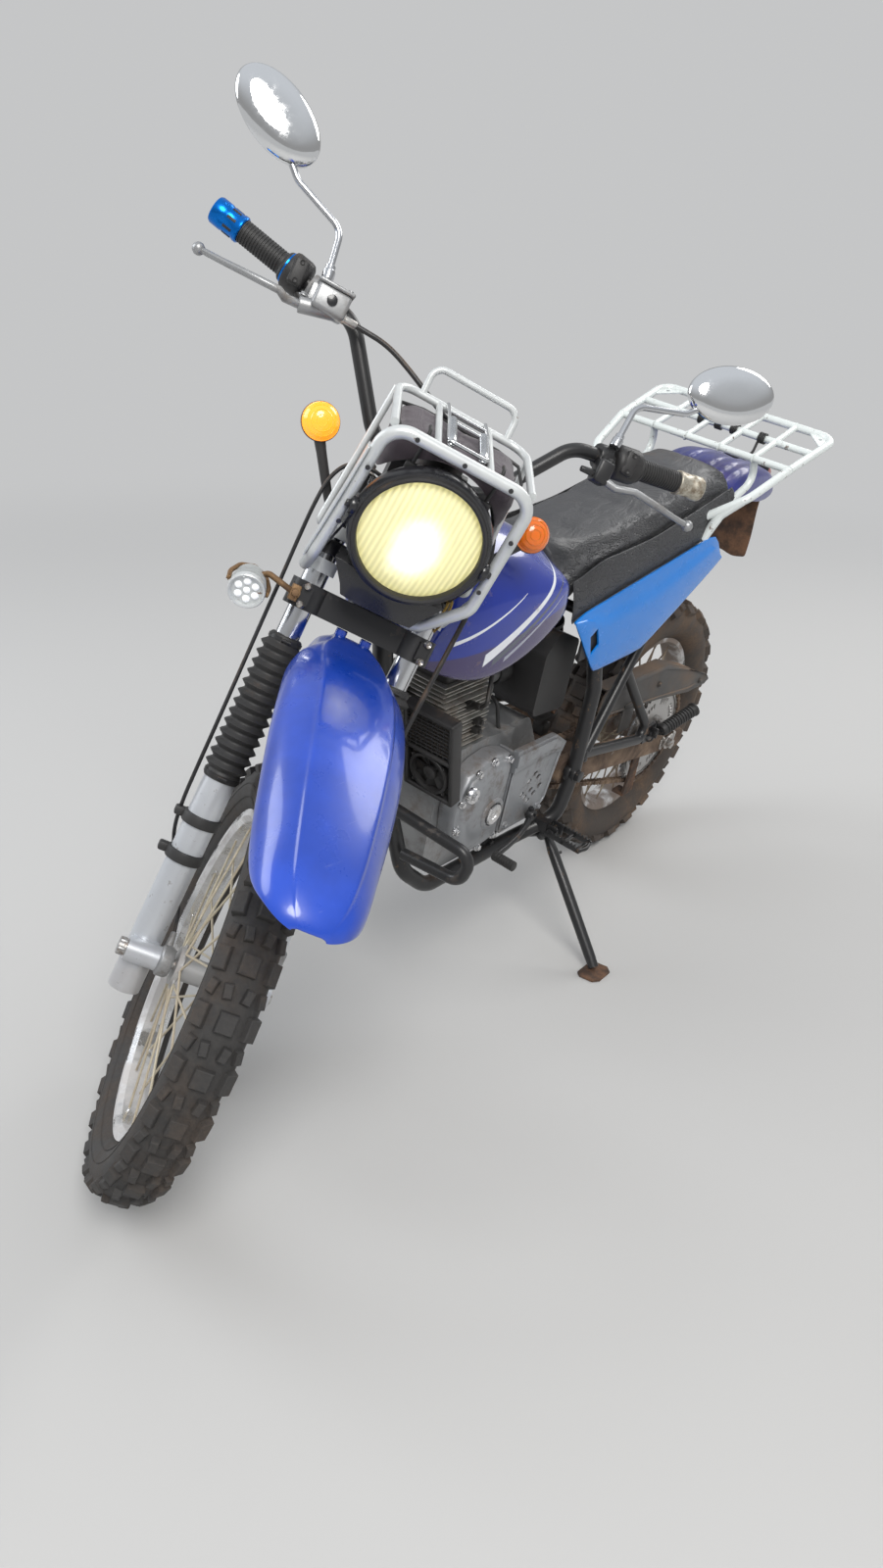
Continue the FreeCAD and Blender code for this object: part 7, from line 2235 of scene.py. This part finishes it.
NODE_FINISHES = {
    # solids that show as they are, by finish
    "front_rim_alloy": ("front_rim",),
    "rear_rim_alloy": ("rear_rim",),
    "brushed_disc": ("front_disc", "rear_sprocket"),
    "fork_silver": ("fork_legs",),
    "hard_chrome": ("fork_tubes",),
    "rubber": ("fork_gaiters", "grips"),
    "black_paint": ("lower_clamp", "upper_clamp", "handlebar", "engine_guard", "exhaust", "foot_levers",
                    "side_stand"),
    "bolt_steel": ("front_axle", "rear_axle"),
    "black_plastic": ("switch_pods", "instruments", "air_box"),
    "cast_alloy": ("hand_levers", "brake_plate", "crankcase", "carburettor"),
    "chrome": ("mirrors",),
    "amber_lens": ("front_signals",),
    "silver_paint_worn": ("spot_lamp", "headlight_guard", "front_rack"),
    "bag_cloth": ("front_bag",),
    "frame_black": ("frame",),
    "dusty_brown_steel": ("swingarm", "chain", "foot_pegs"),
    "engine_black": ("rear_shock", "cylinder", "oil_cooler"),
    "dark_dusty_steel": ("chain_guard",),
    "engine_grey": ("engine_covers",),
    "seat_vinyl": ("seat",),
    "red_lens": ("tail_light",),
    "rusty_brown": ("mud_flap",),
    "rack_white_silver": ("rear_rack",),
}


def dress_nodes():
    """Give every solid its finish: the ones that stay and the ones that finer pieces will stand for."""
    for finish, names in NODE_FINISHES.items():
        for name in names:
            mesh = NODES[name].data
            mesh.materials.clear()
            mesh.materials.append(paint(finish))
    missing = sorted(set(NODES) - {name for names in NODE_FINISHES.values() for name in names})
    for name in missing:
        NODES[name].data.materials.clear()
        NODES[name].data.materials.append(paint("black_plastic"))


# Stage: floor, light and camera


BACKDROP = (0.56, 0.565, 0.57)
BACKDROP_SHARE = 0.5


def make_floor():
    """Pale floor that keeps the motorcycle's shadow."""
    bm = bmesh.new()
    bmesh.ops.create_grid(bm, x_segments=1, y_segments=1, size=90.0)
    mesh = bpy.data.meshes.new("floor")
    bm.to_mesh(mesh)
    bm.free()
    floor = shown("floor", mesh)
    finish = Finish("floor_pale", (0.45, 0.447, 0.44), 0.9)
    x, y, _ = finish.axes(finish.place())
    far = (x * x + y * y).sum("SQRT", x * x + y * y).stretched(2.0, 6.5)
    haze = finish.tree.nodes.new("ShaderNodeEmission")
    haze.inputs[0].default_value, haze.inputs[1].default_value = (*BACKDROP, 1), 1.0
    mixed = finish.tree.nodes.new("ShaderNodeMixShader")
    out = finish.tree.nodes["Material Output"]
    for source, target in ((far.socket, mixed.inputs[0]), (finish.shader.outputs[0], mixed.inputs[1]),
                           (haze.outputs[0], mixed.inputs[2]), (mixed.outputs[0], out.inputs[0])):
        finish.tree.links.new(source, target)
    mesh.materials.append(finish.material)
    return floor


def make_world():
    """The backdrop in full for camera and glass rays, and mixed with light or a sky for the others."""
    world = bpy.data.worlds.new("studio")
    world.use_nodes = True
    bpy.context.scene.world = world
    tree = world.node_tree
    tree.nodes.clear()
    out = tree.nodes.new("ShaderNodeOutputWorld")
    seen, light = tree.nodes.new("ShaderNodeBackground"), tree.nodes.new("ShaderNodeBackground")
    mixed = tree.nodes.new("ShaderNodeMixShader")
    rays = tree.nodes.new("ShaderNodeLightPath")
    either = tree.nodes.new("ShaderNodeMath")
    either.operation = "MAXIMUM"
    either.use_clamp = True
    either.inputs[1].default_value = BACKDROP_SHARE
    seen.inputs[0].default_value = (*BACKDROP, 1)
    seen.inputs[1].default_value = 1.0
    light.inputs[0].default_value = (0.92, 0.95, 1.0, 1)
    light.inputs[1].default_value = 0.88
    low, high = tree.nodes.new("ShaderNodeBackground"), tree.nodes.new("ShaderNodeBackground")
    low.inputs[0].default_value = (0.11, 0.105, 0.10, 1)
    high.inputs[0].default_value = (0.80, 0.85, 0.92, 1)
    sky, shine = tree.nodes.new("ShaderNodeMixShader"), tree.nodes.new("ShaderNodeMixShader")
    where, apart = tree.nodes.new("ShaderNodeTexCoord"), tree.nodes.new("ShaderNodeSeparateXYZ")
    rise = tree.nodes.new("ShaderNodeMapRange")
    rise.interpolation_type = "SMOOTHSTEP"
    rise.inputs[1].default_value, rise.inputs[2].default_value = 0.12, 0.85
    for source, target in ((where.outputs["Generated"], apart.inputs[0]),
                           (apart.outputs[2], rise.inputs[0]),
                           (rise.outputs[0], sky.inputs[0]), (low.outputs[0], sky.inputs[1]),
                           (high.outputs[0], sky.inputs[2]), (rays.outputs["Is Glossy Ray"],
                                                              shine.inputs[0]),
                           (light.outputs[0], shine.inputs[1]), (sky.outputs[0], shine.inputs[2])):
        tree.links.new(source, target)
    glossy = tree.nodes.new("ShaderNodeMath")
    glossy.operation = "MAXIMUM"
    tree.links.new(rays.outputs["Is Camera Ray"], glossy.inputs[0])
    tree.links.new(rays.outputs["Is Transmission Ray"], glossy.inputs[1])
    tree.links.new(glossy.outputs[0], either.inputs[0])
    tree.links.new(either.outputs[0], mixed.inputs[0])
    tree.links.new(shine.outputs[0], mixed.inputs[1])
    tree.links.new(seen.outputs[0], mixed.inputs[2])
    tree.links.new(mixed.outputs[0], out.inputs[0])


def make_lamps():
    """A large soft key lamp above the front left and a weaker one from the right."""
    for name, place, size, power, colour in (
            ("key", (3.4, -3.2, 5.0), 3.0, 300.0, (1.0, 0.98, 0.95)),
            ("fill", (-4.4, -2.2, 3.4), 3.4, 110.0, (0.93, 0.96, 1.0)),
            ("rim", (0.8, 4.6, 4.0), 3.0, 110.0, (1.0, 0.99, 0.97))):
        lamp = bpy.data.lights.new(name, "AREA")
        lamp.shape = "DISK"
        lamp.size, lamp.energy, lamp.color = size, power, colour
        obj = bpy.data.objects.new(name, lamp)
        bpy.context.scene.collection.objects.link(obj)
        obj.location = place
        aim = Vector((0, 0, 0.7)) - Vector(place)
        obj.rotation_euler = aim.to_track_quat("-Z", "Y").to_euler()


CAMERA_AZIMUTH = 37.09
CAMERA_ELEVATION = 24.01
CAMERA_DISTANCE = 2.1417
CAMERA_ROLL = 1.96
CAMERA_LENS = 25.9
CAMERA_AIM = (0.0926, -0.0670, 0.4183)


def make_camera():
    """The photograph's own view, held close and tilted a little."""
    turn, rise = radians(CAMERA_AZIMUTH), radians(CAMERA_ELEVATION)
    back = Vector((sin(turn) * cos(rise), -cos(turn) * cos(rise), sin(rise)))
    aim = Vector(CAMERA_AIM) + CHASSIS_SHIFT
    across = Vector((0, 0, 1)).cross(back).normalized()
    up = back.cross(across)
    view = Matrix((across, up, back)).transposed()
    view = Matrix.Rotation(radians(CAMERA_ROLL), 3, back) @ view
    camera = bpy.data.cameras.new("camera")
    camera.lens, camera.sensor_width, camera.sensor_fit = CAMERA_LENS, 36.0, "AUTO"
    obj = bpy.data.objects.new("camera", camera)
    bpy.context.scene.collection.objects.link(obj)
    obj.matrix_world = Matrix.Translation(aim + back * CAMERA_DISTANCE) @ view.to_4x4()
    bpy.context.scene.camera = obj


def set_stage():
    make_floor()
    make_world()
    make_lamps()
    make_camera()
    bpy.context.scene.view_settings.view_transform = "Standard"


# Operators, panel and registration


class MOTORCYCLE_OT_finishes(bpy.types.Operator):
    """Make every finish of the motorcycle"""
    bl_idname = "motorcycle.finishes"
    bl_label = "Finishes"

    def execute(self, context):
        make_finishes(the_look())
        return {"FINISHED"}


class MOTORCYCLE_OT_stage(bpy.types.Operator):
    """Lay the floor and set the light and the camera"""
    bl_idname = "motorcycle.stage"
    bl_label = "Stage"

    def execute(self, context):
        set_stage()
        return {"FINISHED"}


class MOTORCYCLE_OT_solids(bpy.types.Operator):
    """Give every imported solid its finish"""
    bl_idname = "motorcycle.solids"
    bl_label = "Solids"

    def execute(self, context):
        dress_nodes()
        return {"FINISHED"}


class MOTORCYCLE_OT_front_tyre(bpy.types.Operator):
    """Build the front tyre with its lugs"""
    bl_idname = "motorcycle.front_tyre"
    bl_label = "Front tyre"

    def execute(self, context):
        front_tyre()
        return {"FINISHED"}


class MOTORCYCLE_OT_rear_tyre(bpy.types.Operator):
    """Build the rear tyre with its lugs"""
    bl_idname = "motorcycle.rear_tyre"
    bl_label = "Rear tyre"

    def execute(self, context):
        rear_tyre()
        return {"FINISHED"}


class MOTORCYCLE_OT_front_fender(bpy.types.Operator):
    """Build the front fender"""
    bl_idname = "motorcycle.front_fender"
    bl_label = "Front fender"

    def execute(self, context):
        front_fender()
        return {"FINISHED"}


class MOTORCYCLE_OT_fuel_tank(bpy.types.Operator):
    """Build the fuel tank with its cap"""
    bl_idname = "motorcycle.fuel_tank"
    bl_label = "Fuel tank"

    def execute(self, context):
        fuel_tank()
        return {"FINISHED"}


class MOTORCYCLE_OT_side_covers(bpy.types.Operator):
    """Build both side covers"""
    bl_idname = "motorcycle.side_covers"
    bl_label = "Side covers"

    def execute(self, context):
        side_covers()
        return {"FINISHED"}


class MOTORCYCLE_OT_rear_fender(bpy.types.Operator):
    """Build the ribbed rear fender"""
    bl_idname = "motorcycle.rear_fender"
    bl_label = "Rear fender"

    def execute(self, context):
        rear_fender()
        return {"FINISHED"}


class MOTORCYCLE_OT_headlight(bpy.types.Operator):
    """Build the headlight, its ears and its cowl"""
    bl_idname = "motorcycle.headlight"
    bl_label = "Headlight"

    def execute(self, context):
        headlight()
        lamp_cowl()
        return {"FINISHED"}


class MOTORCYCLE_OT_hoses(bpy.types.Operator):
    """Build the front brake hose and the speedometer cable"""
    bl_idname = "motorcycle.hoses"
    bl_label = "Hose and cable"

    def execute(self, context):
        front_brake_hose()
        speedometer_drive_cable()
        speedometer_drive()
        return {"FINISHED"}


class MOTORCYCLE_OT_controls(bpy.types.Operator):
    """Build the grips, levers, housings and mirrors"""
    bl_idname = "motorcycle.controls"
    bl_label = "Controls"

    def execute(self, context):
        grips()
        levers()
        switch_housings()
        mirrors()
        dial()
        return {"FINISHED"}


class MOTORCYCLE_OT_fork_trim(bpy.types.Operator):
    """Build the fork's boots, seals and fasteners"""
    bl_idname = "motorcycle.fork_trim"
    bl_label = "Fork trim"

    def execute(self, context):
        gaiters()
        fork_details()
        return {"FINISHED"}


class MOTORCYCLE_OT_front_lamps(bpy.types.Operator):
    """Build the front signals and the spot lamp"""
    bl_idname = "motorcycle.front_lamps"
    bl_label = "Signals and spot lamp"

    def execute(self, context):
        front_signals()
        spot_lamp()
        return {"FINISHED"}


class MOTORCYCLE_OT_seat(bpy.types.Operator):
    """Build the padded seat"""
    bl_idname = "motorcycle.seat"
    bl_label = "Seat"

    def execute(self, context):
        seat()
        return {"FINISHED"}


class MOTORCYCLE_OT_front_bag(bpy.types.Operator):
    """Build the pouch under the front rack"""
    bl_idname = "motorcycle.front_bag"
    bl_label = "Pouch"

    def execute(self, context):
        front_bag()
        return {"FINISHED"}


class MOTORCYCLE_OT_rack_trim(bpy.types.Operator):
    """Build the small parts of the guard, the racks and the tank's wire"""
    bl_idname = "motorcycle.rack_trim"
    bl_label = "Rack and guard trim"

    def execute(self, context):
        guard_and_rack_trim()
        tank_wire()
        rack_straps()
        return {"FINISHED"}


class MOTORCYCLE_OT_drive(bpy.types.Operator):
    """Build the chain, the rear sprocket and the chain guard"""
    bl_idname = "motorcycle.drive"
    bl_label = "Chain and sprockets"

    def execute(self, context):
        drive_chain()
        rear_drive()
        chain_cover()
        return {"FINISHED"}


class MOTORCYCLE_OT_front_brake(bpy.types.Operator):
    """Build the drilled disc and the caliper"""
    bl_idname = "motorcycle.front_brake"
    bl_label = "Front brake"

    def execute(self, context):
        front_brake()
        return {"FINISHED"}


class MOTORCYCLE_OT_engine(bpy.types.Operator):
    """Build the engine's fins, covers and carburettor"""
    bl_idname = "motorcycle.engine"
    bl_label = "Engine"

    def execute(self, context):
        cylinder_fins()
        left_cover()
        drive_cover()
        right_cover()
        mixture_side()
        return {"FINISHED"}


class MOTORCYCLE_OT_oil_cooler(bpy.types.Operator):
    """Build the oil cooler with its grille and fan"""
    bl_idname = "motorcycle.oil_cooler"
    bl_label = "Oil cooler"

    def execute(self, context):
        oil_cooler()
        return {"FINISHED"}


class MOTORCYCLE_OT_rests(bpy.types.Operator):
    """Build the pegs, the foot levers, the stand and the frame's fasteners"""
    bl_idname = "motorcycle.rests"
    bl_label = "Pegs, levers and stand"

    def execute(self, context):
        pegs()
        levers_below()
        stand()
        rest_tubes()
        return {"FINISHED"}


class MOTORCYCLE_OT_rear_trim(bpy.types.Operator):
    """Build the shock, the mud flap and the tail lamp"""
    bl_idname = "motorcycle.rear_trim"
    bl_label = "Shock and rear trim"

    def execute(self, context):
        shock()
        flap()
        rear_lamp()
        return {"FINISHED"}


class MOTORCYCLE_PT_panel(bpy.types.Panel):
    """The motorcycle's colours, sizes and building steps"""
    bl_label = "Motorcycle"
    bl_idname = "MOTORCYCLE_PT_panel"
    bl_space_type = "VIEW_3D"
    bl_region_type = "UI"
    bl_category = "Motorcycle"

    def draw(self, context):
        look = context.scene.motorcycle_look
        for name in MotorcycleLook.__annotations__:
            self.layout.prop(look, name)
        for step in STEPS:
            self.layout.operator("motorcycle." + step)


STEPS = (
    "finishes", "stage", "solids", "hoses", "front_tyre", "rear_tyre", "front_fender", "fuel_tank",
    "side_covers", "rear_fender", "headlight", "controls", "fork_trim", "front_lamps", "seat",
    "front_bag", "rack_trim", "drive", "front_brake", "engine", "oil_cooler", "rests", "rear_trim")
CLASSES = (
    MotorcycleLook, MOTORCYCLE_OT_finishes, MOTORCYCLE_OT_stage, MOTORCYCLE_OT_solids,
    MOTORCYCLE_OT_hoses, MOTORCYCLE_OT_front_tyre, MOTORCYCLE_OT_rear_tyre, MOTORCYCLE_OT_front_fender,
    MOTORCYCLE_OT_fuel_tank, MOTORCYCLE_OT_side_covers, MOTORCYCLE_OT_rear_fender,
    MOTORCYCLE_OT_headlight, MOTORCYCLE_OT_controls, MOTORCYCLE_OT_fork_trim, MOTORCYCLE_OT_front_lamps,
    MOTORCYCLE_OT_seat, MOTORCYCLE_OT_front_bag, MOTORCYCLE_OT_rack_trim, MOTORCYCLE_OT_drive,
    MOTORCYCLE_OT_front_brake, MOTORCYCLE_OT_engine, MOTORCYCLE_OT_oil_cooler, MOTORCYCLE_OT_rests,
    MOTORCYCLE_OT_rear_trim, MOTORCYCLE_PT_panel)


def register():
    for item in CLASSES:
        bpy.utils.register_class(item)
    bpy.types.Scene.motorcycle_look = PointerProperty(type=MotorcycleLook)


def unregister():
    del bpy.types.Scene.motorcycle_look
    for item in reversed(CLASSES):
        bpy.utils.unregister_class(item)


def main():
    register()
    for step in STEPS:
        getattr(bpy.ops.motorcycle, step)()


if __name__ == "__main__":
    main()
